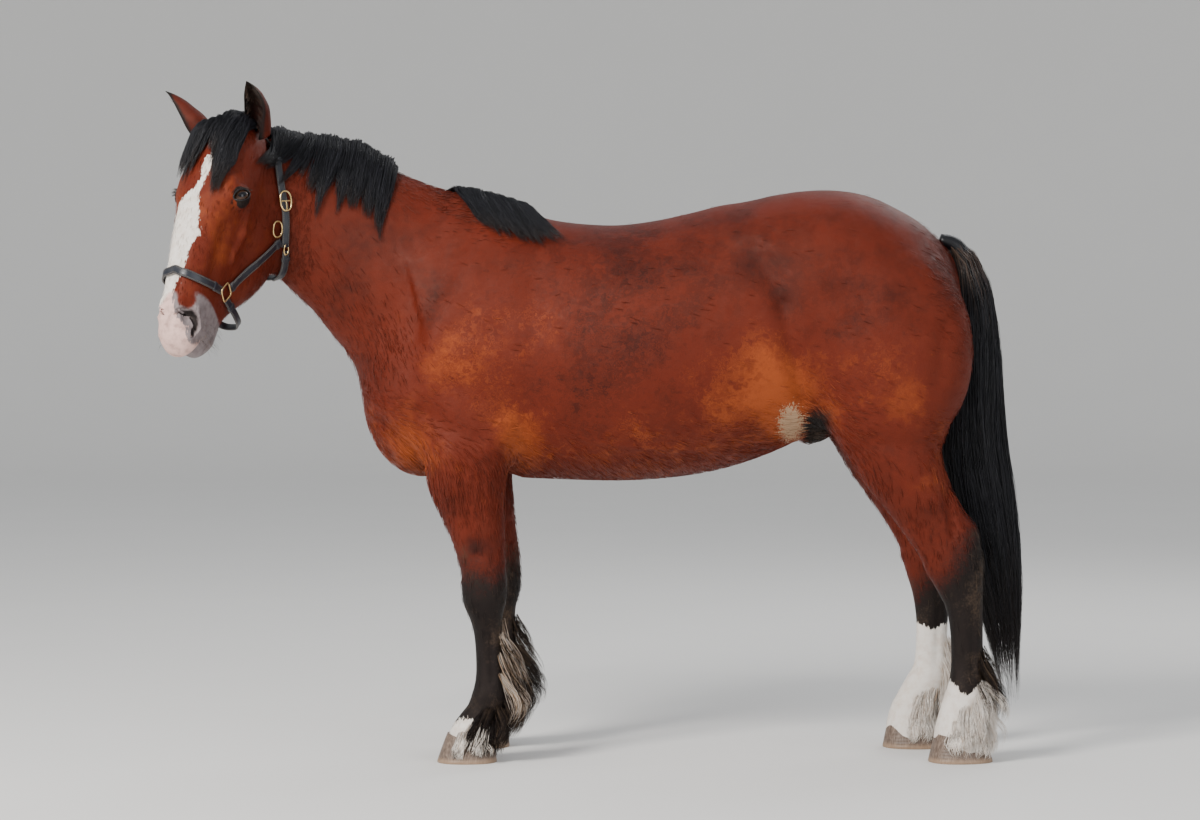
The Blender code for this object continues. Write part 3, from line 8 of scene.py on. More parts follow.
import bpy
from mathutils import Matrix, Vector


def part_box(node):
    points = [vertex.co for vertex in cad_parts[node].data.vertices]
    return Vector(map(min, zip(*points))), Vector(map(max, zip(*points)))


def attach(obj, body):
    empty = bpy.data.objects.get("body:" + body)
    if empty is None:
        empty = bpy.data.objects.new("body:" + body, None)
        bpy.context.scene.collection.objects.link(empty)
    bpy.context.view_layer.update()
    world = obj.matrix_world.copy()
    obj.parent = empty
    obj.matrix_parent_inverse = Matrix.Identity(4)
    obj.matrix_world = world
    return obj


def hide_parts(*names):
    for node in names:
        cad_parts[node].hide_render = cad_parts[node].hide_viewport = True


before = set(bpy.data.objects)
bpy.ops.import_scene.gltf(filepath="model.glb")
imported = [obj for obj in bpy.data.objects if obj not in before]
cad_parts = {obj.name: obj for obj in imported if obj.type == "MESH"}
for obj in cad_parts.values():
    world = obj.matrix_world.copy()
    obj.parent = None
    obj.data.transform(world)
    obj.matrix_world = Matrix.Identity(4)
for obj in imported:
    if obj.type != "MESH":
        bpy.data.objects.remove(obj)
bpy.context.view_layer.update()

import math

import bmesh
import bpy
import numpy as np
from mathutils import Matrix, Vector

bl_info = {
    "name": "Heavy Horse",
    "version": (1, 0, 0),
    "blender": (4, 5, 0),
    "location": "View3D > Sidebar > Heavy Horse",
    "description": "Builds a life-size heavy horse with its coat, mane, feather and halter",
    "category": "Add Mesh",
}

SEED = 11
GAP = 0.0003
Y_AXIS = np.array((0.0, 1.0, 0.0))
Z_AXIS = np.array((0.0, 0.0, 1.0))

# The head: where its nose line starts, level with the poll, and how far it is turned and dropped
NOSE_LINE_START = (-1.172, -0.32, 2.002)
HEAD_TURN = 57.0
HEAD_DROP = 70.0
# How long, wide and deep this head is beside the plain proportions of the tables below
HEAD_SIZE = (1.05, 1.05, 1.12)

# Stations of the trunk, from the rump to the breast: centre x, y, z, then how far the section
# reaches up, down and to each side, and how square it is (2 is an ellipse)
TRUNK = (
    (1.125, 0, 1.43, 0.03, 0.05, 0.035, 2.0),
    (1.105, 0, 1.43, 0.11, 0.14, 0.115, 2.0),
    (1.07, 0, 1.43, 0.165, 0.2, 0.17, 2.0),
    (1.0, 0, 1.43, 0.235, 0.25, 0.235, 2.1),
    (0.9, 0, 1.43, 0.29, 0.29, 0.285, 2.2),
    (0.78, 0, 1.43, 0.335, 0.33, 0.314, 2.2),
    (0.66, 0, 1.41, 0.358, 0.35, 0.322, 2.2),
    (0.54, 0, 1.36, 0.39, 0.37, 0.326, 2.1),
    (0.42, 0, 1.32, 0.398, 0.39, 0.336, 2.0),
    (0.3, 0, 1.29, 0.399, 0.402, 0.345, 2.0),
    (0.18, 0, 1.27, 0.398, 0.403, 0.35, 2.0),
    (0.06, 0, 1.26, 0.397, 0.4, 0.348, 2.0),
    (-0.06, 0, 1.26, 0.402, 0.398, 0.335, 1.9),
    (-0.17, 0, 1.26, 0.415, 0.394, 0.315, 1.8),
    (-0.28, 0, 1.26, 0.42, 0.388, 0.296, 1.8),
    (-0.4, 0, 1.24, 0.395, 0.355, 0.28, 1.9),
    (-0.5, 0, 1.2, 0.315, 0.315, 0.255, 2.0),
    (-0.56, 0, 1.19, 0.225, 0.225, 0.2, 2.0),
    (-0.6, 0, 1.18, 0.13, 0.13, 0.12, 2.0),
    (-0.62, 0, 1.18, 0.04, 0.04, 0.04, 2.0),
)
# The breast is an ellipsoid: its centre and its half length, width and height
BREAST = ((-0.552, 0, 1.135), (0.188, 0.24, 0.262))
# Stations of the neck, from inside the shoulders to the poll
NECK = (
    (-0.38, 0.0, 1.35, 0.3, 0.3, 0.215, 2.0),
    (-0.5, 0.0, 1.44, 0.335, 0.31, 0.2, 1.9),
    (-0.617, -0.005, 1.505, 0.305, 0.3, 0.172, 1.8),
    (-0.735, -0.018, 1.59, 0.262, 0.265, 0.142, 1.8),
    (-0.85, -0.042, 1.665, 0.235, 0.24, 0.12, 1.9),
    (-0.945, -0.075, 1.735, 0.205, 0.215, 0.104, 2.0),
    (-1.02, -0.108, 1.8, 0.165, 0.18, 0.088, 2.0),
    (-1.07, -0.13, 1.85, 0.1, 0.11, 0.065, 2.0),
    (-1.095, -0.14, 1.875, 0.04, 0.04, 0.03, 2.0),
)
# Stations of the near foreleg, from inside the shoulder to below the coronet. Up is to the front.
FORELEG = (
    (-0.38, -0.15, 1.14, 0.04, 0.04, 0.035, 2.0),
    (-0.39, -0.165, 1.08, 0.105, 0.105, 0.082, 2.0),
    (-0.405, -0.18, 0.98, 0.13, 0.13, 0.1, 2.0),
    (-0.406, -0.188, 0.873, 0.125, 0.118, 0.09, 2.0),
    (-0.388, -0.188, 0.78, 0.104, 0.098, 0.078, 2.0),
    (-0.37, -0.187, 0.69, 0.086, 0.08, 0.066, 2.0),
    (-0.356, -0.186, 0.6, 0.075, 0.068, 0.06, 2.1),
    (-0.352, -0.185, 0.54, 0.075, 0.068, 0.062, 2.3),
    (-0.352, -0.185, 0.49, 0.07, 0.064, 0.058, 2.3),
    (-0.349, -0.185, 0.44, 0.052, 0.05, 0.046, 2.1),
    (-0.345, -0.185, 0.39, 0.044, 0.044, 0.038, 2.0),
    (-0.34, -0.185, 0.32, 0.044, 0.044, 0.037, 2.0),
    (-0.337, -0.185, 0.26, 0.048, 0.05, 0.042, 2.0),
    (-0.338, -0.185, 0.205, 0.058, 0.06, 0.053, 2.0),
    (-0.352, -0.185, 0.155, 0.06, 0.057, 0.051, 2.0),
    (-0.372, -0.185, 0.115, 0.068, 0.062, 0.059, 2.0),
    (-0.388, -0.185, 0.08, 0.076, 0.07, 0.066, 2.0),
    (-0.398, -0.185, 0.04, 0.08, 0.076, 0.07, 2.0),
    (-0.4, -0.185, 0.01, 0.08, 0.076, 0.07, 2.0),
)
# Stations of the near hind leg, from inside the haunch to below the coronet
HINDLEG = (
    (0.845, -0.11, 1.56, 0.06, 0.06, 0.05, 2.0),
    (0.86, -0.13, 1.49, 0.17, 0.17, 0.13, 2.0),
    (0.88, -0.155, 1.4, 0.23, 0.23, 0.155, 2.1),
    (0.9, -0.17, 1.28, 0.26, 0.245, 0.16, 2.2),
    (0.9, -0.178, 1.16, 0.24, 0.235, 0.15, 2.2),
    (0.9, -0.182, 1.045, 0.188, 0.19, 0.13, 2.1),
    (0.922, -0.184, 0.93, 0.137, 0.138, 0.104, 2.0),
    (0.966, -0.184, 0.84, 0.11, 0.112, 0.084, 2.0),
    (1.02, -0.182, 0.75, 0.098, 0.098, 0.069, 2.0),
    (1.068, -0.18, 0.675, 0.096, 0.098, 0.062, 2.1),
    (1.096, -0.179, 0.61, 0.096, 0.088, 0.061, 2.2),
    (1.112, -0.178, 0.545, 0.078, 0.072, 0.056, 2.2),
    (1.124, -0.178, 0.48, 0.06, 0.058, 0.046, 2.0),
    (1.13, -0.178, 0.4, 0.052, 0.052, 0.041, 2.0),
    (1.131, -0.178, 0.31, 0.05, 0.052, 0.04, 2.0),
    (1.131, -0.178, 0.25, 0.056, 0.058, 0.047, 2.0),
    (1.128, -0.178, 0.205, 0.064, 0.064, 0.056, 2.0),
    (1.116, -0.178, 0.155, 0.068, 0.064, 0.054, 2.0),
    (1.112, -0.178, 0.115, 0.077, 0.074, 0.064, 2.0),
    (1.112, -0.178, 0.08, 0.084, 0.082, 0.074, 2.0),
    (1.114, -0.178, 0.04, 0.086, 0.086, 0.078, 2.0),
    (1.114, -0.178, 0.01, 0.086, 0.086, 0.078, 2.0),
)
# The sheath, under the belly
SHEATH = (
    (0.76, 0, 1.15, 0.04, 0.04, 0.04, 2.0),
    (0.715, 0, 1.085, 0.06, 0.06, 0.055, 2.0),
    (0.672, 0, 1.03, 0.052, 0.052, 0.05, 2.0),
    (0.65, 0, 0.995, 0.036, 0.036, 0.038, 2.0),
    (0.643, 0, 0.975, 0.016, 0.016, 0.018, 2.0),
)
# How far each off leg stands in front of or behind the near one, at heights from the floor up
OFF_FORE_SHIFT = ((0.0, 0.03), (0.6, 0.034), (0.85, 0.01), (1.0, 0.0))
OFF_HIND_SHIFT = (
    (0.0, -0.125), (0.12, -0.11), (0.25, -0.08), (0.5, -0.068), (0.6, -0.045), (0.7, -0.022),
    (0.85, -0.01), (1.0, 0.0)
)

# Stations of the skull and of the jaw in the head's own frame: x runs down the nose line, y is the
# head's left and z its front
SKULL = (
    (-0.03, 0, -0.13, 0.02, 0.025, 0.025, 2.0),
    (-0.01, 0, -0.13, 0.055, 0.06, 0.055, 2.0),
    (0.05, 0, -0.125, 0.09, 0.09, 0.088, 2.2),
    (0.11, 0, -0.11, 0.095, 0.09, 0.103, 2.4),
    (0.18, 0, -0.1, 0.096, 0.085, 0.109, 2.5),
    (0.25, 0, -0.09, 0.09, 0.09, 0.106, 2.5),
    (0.32, 0, -0.085, 0.085, 0.09, 0.09, 2.5),
    (0.4, 0, -0.08, 0.08, 0.085, 0.078, 2.5),
    (0.48, 0, -0.08, 0.078, 0.08, 0.07, 2.5),
    (0.56, 0, -0.08, 0.074, 0.07, 0.065, 2.4),
    (0.617, 0, -0.078, 0.068, 0.066, 0.068, 2.3),
    (0.658, 0, -0.077, 0.06, 0.056, 0.064, 2.3),
    (0.692, 0, -0.08, 0.046, 0.038, 0.054, 2.2),
    (0.716, 0, -0.082, 0.026, 0.02, 0.036, 2.0),
    (0.727, 0, -0.082, 0.01, 0.008, 0.015, 2.0),
)
JAW = (
    (0.1, 0, -0.19, 0.03, 0.03, 0.03, 2.0),
    (0.125, 0, -0.2, 0.08, 0.07, 0.055, 2.0),
    (0.175, 0, -0.22, 0.11, 0.105, 0.078, 2.2),
    (0.235, 0, -0.23, 0.12, 0.12, 0.088, 2.3),
    (0.3, 0, -0.23, 0.12, 0.128, 0.09, 2.3),
    (0.38, 0, -0.215, 0.11, 0.126, 0.08, 2.2),
    (0.45, 0, -0.195, 0.09, 0.106, 0.064, 2.1),
    (0.52, 0, -0.175, 0.07, 0.074, 0.05, 2.0),
    (0.575, 0, -0.165, 0.055, 0.048, 0.043, 2.0),
    (0.625, 0, -0.16, 0.046, 0.04, 0.043, 2.0),
    (0.66, 0, -0.15, 0.038, 0.038, 0.042, 2.0),
    (0.688, 0, -0.137, 0.025, 0.028, 0.032, 2.0),
    (0.7, 0, -0.128, 0.01, 0.012, 0.016, 2.0),
)

# Muscles, bones and folds of the near side, seen from the side: x, z of one end, x, z of the other,
# half width and height of the swelling, negative where it is a hollow
BODY_RIDGES = (
    ((-0.389, 1.653), (-0.568, 1.309), 0.032, -0.01),
    ((-0.475, 1.6), (-0.64, 1.3), 0.04, -0.006),
    ((-0.35, 1.64), (-0.54, 1.25), 0.05, 0.006),
    ((-0.389, 1.24), (-0.41, 1.14), 0.13, 0.012),
    ((-0.19, 1.46), (-0.2, 1.11), 0.045, -0.009),
    ((-0.289, 1.03), (-0.3, 1.0), 0.035, 0.01),
    ((-0.47, 0.95), (-0.445, 0.86), 0.04, 0.01),
    ((-0.533, 1.08), (-0.389, 0.99), 0.03, -0.01),
    ((-0.676, 1.044), (-0.545, 0.92), 0.022, -0.012),
    ((0.445, 1.632), (0.5, 1.6), 0.05, 0.014),
    ((0.46, 1.56), (0.53, 1.48), 0.06, -0.01),
    ((0.475, 1.6), (0.555, 1.409), 0.028, -0.007),
    ((0.555, 1.409), (0.615, 1.13), 0.026, -0.014),
    ((0.842, 1.26), (0.842, 1.2), 0.11, 0.008),
    ((0.778, 1.42), (0.79, 1.38), 0.07, -0.008),
    ((0.924, 1.409), (1.05, 1.34), 0.03, -0.007),
    ((1.05, 1.34), (1.03, 1.18), 0.028, -0.008),
    ((0.721, 1.06), (0.75, 1.02), 0.05, 0.008),
    ((0.84, 0.99), (1.02, 0.975), 0.028, -0.009),
    ((0.95, 0.89), (0.985, 0.8), 0.045, 0.006),
    ((1.06, 0.84), (1.085, 0.7), 0.016, -0.012),
    ((1.15, 0.735), (1.16, 0.7), 0.02, 0.006),
    ((1.06, 0.64), (1.07, 0.6), 0.025, 0.005),
    ((1.145, 0.46), (1.146, 0.27), 0.008, -0.005),
    ((-0.337, 0.42), (-0.331, 0.25), 0.008, -0.005),
    ((-0.395, 0.57), (-0.395, 0.5), 0.018, 0.004),
    ((-0.315, 0.56), (-0.318, 0.52), 0.018, 0.005),
    ((-0.4, 0.76), (-0.375, 0.64), 0.014, -0.006),
)
# Bones, hollows and openings of the head's left side in its own frame, given the same way
HEAD_RIDGES = (
    ((0.205, 0.088, -0.048), (0.25, 0.1, -0.05), 0.024, 0.01),
    ((0.16, 0.08, -0.05), (0.19, 0.088, -0.058), 0.022, -0.009),
    ((0.275, 0.102, -0.132), (0.33, 0.092, -0.143), 0.016, 0.008),
    ((0.33, 0.092, -0.143), (0.41, 0.076, -0.136), 0.014, 0.008),
    ((0.3, 0.1, -0.19), (0.4, 0.085, -0.185), 0.022, -0.006),
    ((0.34, 0.08, -0.07), (0.48, 0.06, -0.075), 0.022, -0.006),
    ((0.35, 0.04, -0.004), (0.56, 0.026, -0.01), 0.015, 0.004),
    ((0.585, 0.035, -0.012), (0.63, 0.042, -0.016), 0.014, 0.009),
    ((0.59, 0.07, -0.05), (0.65, 0.078, -0.068), 0.014, 0.01),
    ((0.655, 0.062, -0.05), (0.672, 0.064, -0.06), 0.014, 0.006),
    ((0.616, 0.05, -0.026), (0.65, 0.064, -0.046), 0.011, -0.034),
    ((0.588, 0.058, -0.158), (0.64, 0.058, -0.14), 0.006, -0.009),
    ((0.64, 0.058, -0.14), (0.695, 0.04, -0.116), 0.006, -0.01),
    ((0.695, 0.04, -0.116), (0.718, 0.0, -0.108), 0.006, -0.01),
    ((0.65, 0.0, -0.205), (0.655, 0.01, -0.205), 0.024, 0.007),
    ((0.42, 0.0, -0.32), (0.58, 0.0, -0.22), 0.022, -0.012),
    ((0.11, 0.0, -0.005), (0.2, 0.0, 0.0), 0.03, 0.003),
)
# The left eye: where it looks out of the skin, which way it faces and its long axis, in the head's
# own frame; then the ball, how far it stands out, the lids and the half length and height of the slit
EYE = (0.24, 0.096, -0.07)
EYE_FACING = (-0.05, 0.82, 0.5)
EYE_AXIS = (-0.46, 0.4, -0.7)
EYE_RADIUS = 0.034
EYE_PROUD = 0.015
LID = 0.0038
SLIT = (0.03, 0.0168)

# The ears: where each stands in the head's own frame, how far its tip reaches, which way it opens,
# its half width and how far it bows away from the opening
EARS = (
    ("left_ear", (0.014, 0.085, -0.112), (-0.03, -0.09, 0.136), (-0.45, -0.85, 0.1), 0.039, 0.012),
    ("right_ear", (0.042, -0.09, -0.112), (-0.14, 0.02, 0.145), (-0.62, 0.05, -0.78), 0.042, -0.006),
)

# Each hoof: its toe and heel on the floor, the middle of its width, its half width, the top edge's
# front and back as x and height, and how far it toes out
HOOVES = {
    "near_fore": dict(
        toe=-0.503, heel=-0.318, y=-0.185, half=0.08, front=(-0.47, 0.09), back=(-0.322, 0.042), turn=4
    ),
    "off_fore": dict(
        toe=-0.473, heel=-0.288, y=0.185, half=0.08, front=(-0.44, 0.09), back=(-0.292, 0.042), turn=-4
    ),
    "near_hind": dict(
        toe=1.012, heel=1.212, y=-0.178, half=0.084, front=(1.034, 0.088), back=(1.197, 0.05), turn=10
    ),
    "off_hind": dict(
        toe=0.9, heel=1.095, y=0.178, half=0.084, front=(0.918, 0.088), back=(1.081, 0.05), turn=-6
    ),
}

# How far the mane stands up over the crest, along the neck
MANE_RISE = (
    (-1.02, 0.06), (-0.97, 0.04), (
        -0.93, 0.018
    ), (-0.88, 0.024), (-0.82, 0.04), (-0.74, 0.044), (-0.68, 0.026),
)

# The tail: a middle point, half depth and half width at each station, with how many steps it is read in,
# how many of them the fleshy dock takes and how many locks hang on the outside
TAIL_STATIONS = 61
DOCK_STATIONS = 35
OUTER_LOCKS = 46
TAIL_LINE = (
    (1.06, 0, 1.61, 0.02, 0.03),
    (1.11, 0, 1.59, 0.036, 0.045),
    (1.145, 0, 1.52, 0.05, 0.06),
    (1.16, 0, 1.42, 0.064, 0.072),
    (1.166, 0, 1.3, 0.076, 0.082),
    (1.162, 0, 1.16, 0.092, 0.088),
    (1.162, 0, 1.0, 0.104, 0.09),
    (1.184, 0, 0.85, 0.108, 0.088),
    (1.212, 0, 0.7, 0.1, 0.084),
    (1.242, 0, 0.54, 0.082, 0.072),
    (1.264, 0, 0.38, 0.056, 0.056),
    (1.282, 0, 0.235, 0.03, 0.034),
)

# The halter's straps down the left side, as points in the head's own frame
HALTER = {
    "crown": ((0.3, 0.094, -0.312), (0.211, 0.103, -0.273), (0.159, 0.094, -0.25), (0.087, 0.078, -0.231),
              (0.01, 0.068, -0.222), (-0.045, 0.048, -0.205), (-0.068, 0.0, -0.19)),
    "cheek": ((0.292, 0.091, -0.292), (0.389, 0.079, -0.226), (0.494, 0.06, -0.16)),
    "nose": ((0.51, 0.066, -0.128), (0.51, 0.06, -0.043), (0.5, 0.02, -0.003), (0.494, 0.0, 0.0)),
    "chin": ((0.524, 0.062, -0.162), (0.552, 0.054, -0.225), (0.562, 0.03, -0.268), (0.565, 0.0, -0.275)),
    "throat": (
        (0.306, 0.091, -0.322), (0.346, 0.072, -0.358), (0.362, 0.04, -0.382), (0.366, 0.0, -0.392)
    ),
}
# Each strap: the node that it stands for, its line, whether it goes round both sides, whether it hangs
# clear of the skin, and the side that it lies on
STRAPS = (
    ("halter_crown", "crown", True, False, 1),
    ("halter_noseband", "nose", True, False, 1),
    ("halter_chin_strap", "chin", True, True, 1),
    ("halter_throatlatch", "throat", True, True, 1),
    ("left_cheek_strap", "cheek", False, False, 1),
    ("right_cheek_strap", "cheek", False, False, -1),
)
# The square ring, the jaw ring and the buckle: where each lies, the point that its long way faces, its
# half length and half width, how square it is and how far it lies off the skin
RINGS = {
    "square_ring": ((0.507, 0.062, -0.142), (0.389, 0.079, -0.226), 0.023, 0.023, 5.0, 0.0095),
    "jaw_ring": ((0.266, 0.093, -0.262), (0.19, 0.095, -0.238), 0.024, 0.018, 2.4, 0.0095),
    "buckle": ((0.181, 0.1, -0.26), (0.087, 0.078, -0.231), 0.03, 0.019, 2.4, 0.0165),
}


def smooth_rows(rows, count):
    """Every column of a table of stations as one smooth (Catmull-Rom) curve, at even steps."""
    rows = np.asarray(rows, float)
    ends = np.vstack([2 * rows[0] - rows[1], rows, 2 * rows[-1] - rows[-2]])
    t = np.linspace(0, len(rows) - 1, count)
    i = np.minimum(t.astype(int), len(rows) - 2)
    u = (t - i)[:, None]
    a, b, c, d = (ends[i + k] for k in range(4))
    return b + 0.5 * u * (c - a + u * (2 * a - 5 * b + 4 * c - d + u * (3 * (b - c) + d - a)))


def full_turn(count):
    """Even steps round a whole turn, in radians."""
    return np.linspace(0, 2 * math.pi, count, endpoint=False)


def unit(vectors):
    """Vectors scaled to a length of 1."""
    return vectors / np.maximum(np.linalg.norm(vectors, axis=-1, keepdims=True), 1e-9)


def line_at(places, known, line):
    """A line's points at given places, each column read off between the known ones."""
    return np.stack([np.interp(places, known, line[:, i]) for i in range(line.shape[1])], axis=-1)


def crossed(paths, outward):
    """The ways across paths and out of them: across = run x outward and top = across x run."""
    along = unit(np.gradient(paths, axis=-2))
    across = unit(np.cross(along, outward))
    return across, np.cross(across, along)


def run_length(path):
    """How far along a path each of its points lies."""
    return np.concatenate([[0], np.cumsum(np.linalg.norm(np.diff(path, axis=0), axis=1))])


class Loft:
    """A centre line with an oval section that changes along it."""

    reach = 0.25

    def __init__(self, rows, side=Y_AXIS, end_side=None):
        count = 3 * len(rows) + 1
        table = smooth_rows(rows, count)
        self.centre = table[:, :3]
        self.up, self.down, self.side = np.maximum(table[:, 3:6], 0.004).T
        self.power = table[:, 6]
        self.along = unit(np.gradient(self.centre, axis=0))
        share = np.linspace(0, 1, count)[:, None]
        across = side * (1 - share) + (side if end_side is None else end_side) * share
        across = across - (across * self.along).sum(1)[:, None] * self.along
        self.across = unit(across)
        self.dorsal = np.cross(self.across, self.along)
        around = self.rings(8).reshape(-1, 3)
        self.low, self.high = around.min(0) - self.reach, around.max(0) + self.reach

    def rings(self, around=24):
        """The section's points at each station, as an array (stations, around, 3)."""
        angle = full_turn(around)
        c, s = np.cos(angle), np.sin(angle)
        power = self.power[:, None]
        reach = (np.abs(c) ** power + np.abs(s) ** power) ** (-1 / power)
        height = np.where(s > 0, self.up[:, None], self.down[:, None])
        sideways = (self.side[:, None] * c * reach)[..., None] * self.across[:, None]
        upward = (height * s * reach)[..., None] * self.dorsal[:, None]
        return self.centre[:, None] + sideways + upward

    def distance(self, points):
        """About how far each point lies outside the loft, negative inside."""
        result = np.full(len(points), 2 * self.reach)
        near = ((points > self.low) & (points < self.high)).all(1)
        result[near] = self.near_distance(points[near])
        return result

    def near_distance(self, points):
        last = len(self.centre) - 1
        nearest = ((self.centre**2).sum(1) - 2 * points @ self.centre.T).argmin(1)
        before, after = np.maximum(nearest - 1, 0), np.minimum(nearest + 1, last)
        step = np.linalg.norm(self.centre[after] - self.centre[before], axis=1) / (after - before)
        slide = ((points - self.centre[nearest]) * self.along[nearest]).sum(1) / np.maximum(step, 1e-6)
        at = np.clip(nearest + np.clip(slide, -0.5, 0.5), 0, last)
        low = np.minimum(at.astype(int), last - 1)
        share = at - low

        def mixed(column):
            weight = share if column.ndim == 1 else share[:, None]
            return column[low] * (1 - weight) + column[low + 1] * weight

        offset = points - mixed(self.centre)
        sideways = np.abs((offset * mixed(self.across)).sum(1))
        upward = (offset * mixed(self.dorsal)).sum(1)
        height = np.where(upward > 0, mixed(self.up), mixed(self.down))
        side, power = mixed(self.side), mixed(self.power)
        ratio = ((sideways / side) ** power + (np.abs(upward) / height) ** power) ** (1 / power)
        radial = np.hypot(sideways, upward)
        inside = np.where(
            ratio > 0.3, radial * (1 - 1 / np.maximum(ratio, 0.3)), -0.7 * np.minimum(height, side)
        )
        start = -((points - self.centre[0]) * self.along[0]).sum(1)
        end = ((points - self.centre[-1]) * self.along[-1]).sum(1)
        beyond = np.where(nearest <= 3, start, np.where(nearest >= last - 3, end, -1.0))
        return np.where((inside > 0) & (beyond > 0), np.hypot(inside, beyond), np.maximum(inside, beyond))


def head_matrix():
    """From the head's own frame to the horse's."""
    turn = Matrix.Rotation(math.radians(180 + HEAD_TURN), 4, "Z")
    drop = Matrix.Rotation(math.radians(HEAD_DROP), 4, "Y")
    return Matrix.Translation(NOSE_LINE_START) @ turn @ drop


HEAD_AXES = np.array(head_matrix().to_3x3())
HEAD_ORIGIN = np.array(NOSE_LINE_START)


def to_head(points):
    """Points of the horse's frame in the head's own."""
    return (points - HEAD_ORIGIN) @ HEAD_AXES / HEAD_SIZE


def within_head(local, start, end, half):
    """Which points, given in the head's own frame, lie along a stretch of the head."""
    return (local[:, 0] > start) & (local[:, 0] < end) & (np.abs(local[:, 1]) < half)


def from_head(points):
    """Points of the head's own frame in the horse's."""
    return (np.asarray(points) * HEAD_SIZE) @ HEAD_AXES.T + HEAD_ORIGIN


def off_leg(rows, shift):
    """The leg on the off side: the near leg mirrored and moved by its own shift."""
    heights, moves = np.array(shift).T
    return tuple((r[0] + np.interp(r[2], heights, moves), -r[1]) + tuple(r[2:]) for r in rows)


LOFTS = {
    "trunk": Loft(TRUNK),
    "neck": Loft(NECK, end_side=-HEAD_AXES[:, 1]),
    "near_fore": Loft(FORELEG),
    "off_fore": Loft(off_leg(FORELEG, OFF_FORE_SHIFT)),
    "near_hind": Loft(HINDLEG),
    "off_hind": Loft(off_leg(HINDLEG, OFF_HIND_SHIFT)),
    "sheath": Loft(SHEATH),
}
BLENDS = {
    "neck": 0.12, "near_fore": 0.08, "off_fore": 0.08, "near_hind": 0.09, "off_hind": 0.09, "sheath": 0.02
}
SKULL_LOFT = Loft(SKULL, side=-Y_AXIS)
JAW_LOFT = Loft(JAW, side=-Y_AXIS)


def blend(a, b, width):
    """The smaller of two distances, with a fillet of about that width where they meet."""
    near = np.maximum(width - np.abs(a - b), 0) / width
    return np.minimum(a, b) - near * near * width / 4


def ridges(points, table):
    """The sum of soft ridges, each a line from one point to another with a width and a height."""
    total = np.zeros(len(points))
    for start, end, width, height in table:
        start, line = np.array(start), np.subtract(end, start)
        share = np.clip((points - start) @ line / max(line @ line, 1e-9), 0, 1)
        gap = ((points - start - share[:, None] * line) ** 2).sum(1)
        total += height * np.exp(-gap / width**2)
    return total


def seen_from_side(points):
    """Each point's x and z as if on the near side, the off legs moved to where the near ones stand."""
    placed = points[:, [0, 2]].copy()
    for shift, front in ((OFF_FORE_SHIFT, True), (OFF_HIND_SHIFT, False)):
        heights, moves = np.array(shift).T
        mine = (points[:, 1] > 0) & ((points[:, 0] < 0.3) == front)
        placed[mine, 0] -= np.interp(points[mine, 2], heights, moves)
    return placed


def head_distance(points):
    """About how far each point of the head's own frame lies outside the skull and jaw."""
    d = blend(SKULL_LOFT.distance(points), JAW_LOFT.distance(points), 0.05)
    mirrored = np.stack([points[:, 0], np.abs(points[:, 1]), points[:, 2]], axis=1)
    return d - ridges(mirrored, HEAD_RIDGES)


def ellipsoid_distance(points, centre, radii):
    """About how far each point lies outside an ellipsoid."""
    offset = points - centre
    reach = np.linalg.norm(offset / radii, axis=1)
    return reach * (reach - 1) / np.maximum(np.linalg.norm(offset / np.square(radii), axis=1), 1e-6)


def ellipsoid_rings(centre, radii, stations=14, around=24):
    """An ellipsoid's points: centre + radii (cos a, sin a cos b, sin a sin b)."""
    turn = np.linspace(0.05, math.pi - 0.05, stations)[:, None]
    angle = full_turn(around)[None]
    ball = np.stack(
        np.broadcast_arrays(np.cos(turn), np.sin(turn) * np.cos(angle), np.sin(turn) * np.sin(angle)), -1
    )
    return np.array(centre) + ball * radii


def body_distance(points):
    """About how far each point lies outside the horse's skin."""
    d = blend(LOFTS["trunk"].distance(points), ellipsoid_distance(points, *BREAST), 0.06)
    for name, width in BLENDS.items():
        d = blend(d, LOFTS[name].distance(points), width)
    d = d - ridges(seen_from_side(points), BODY_RIDGES)
    return blend(d, head_distance(to_head(points)), 0.05)


def distance_and_slope(points, distance=body_distance, size=30000, reach=0.0008):
    """The distance at each point and the direction in which it grows, from four points around it."""
    corners = np.array(((1, 1, 1), (1, -1, -1), (-1, 1, -1), (-1, -1, 1)), float)
    found, slopes = [], []
    for i in range(0, len(points), size):
        some = points[i : i + size]
        values = np.array([distance(some + corner * reach) for corner in corners])
        found.append(values.mean(0))
        slopes.append(np.einsum("kn,kc->nc", values, corners) / (4 * reach))
    return np.concatenate(found), np.concatenate(slopes)


def onto_skin(points, want=0.0, rounds=3, cling=1.0, distance=body_distance):
    """Moves points along the slope to a wanted distance from the skin."""
    for _ in range(rounds):
        d, slope = distance_and_slope(points, distance)
        steep = np.maximum((slope**2).sum(1), 0.25)
        move = np.clip(want - d, -0.02, 0.02)
        move = np.where(move < 0, move * cling, move)
        points = points + slope * (move / steep)[:, None]
    return points


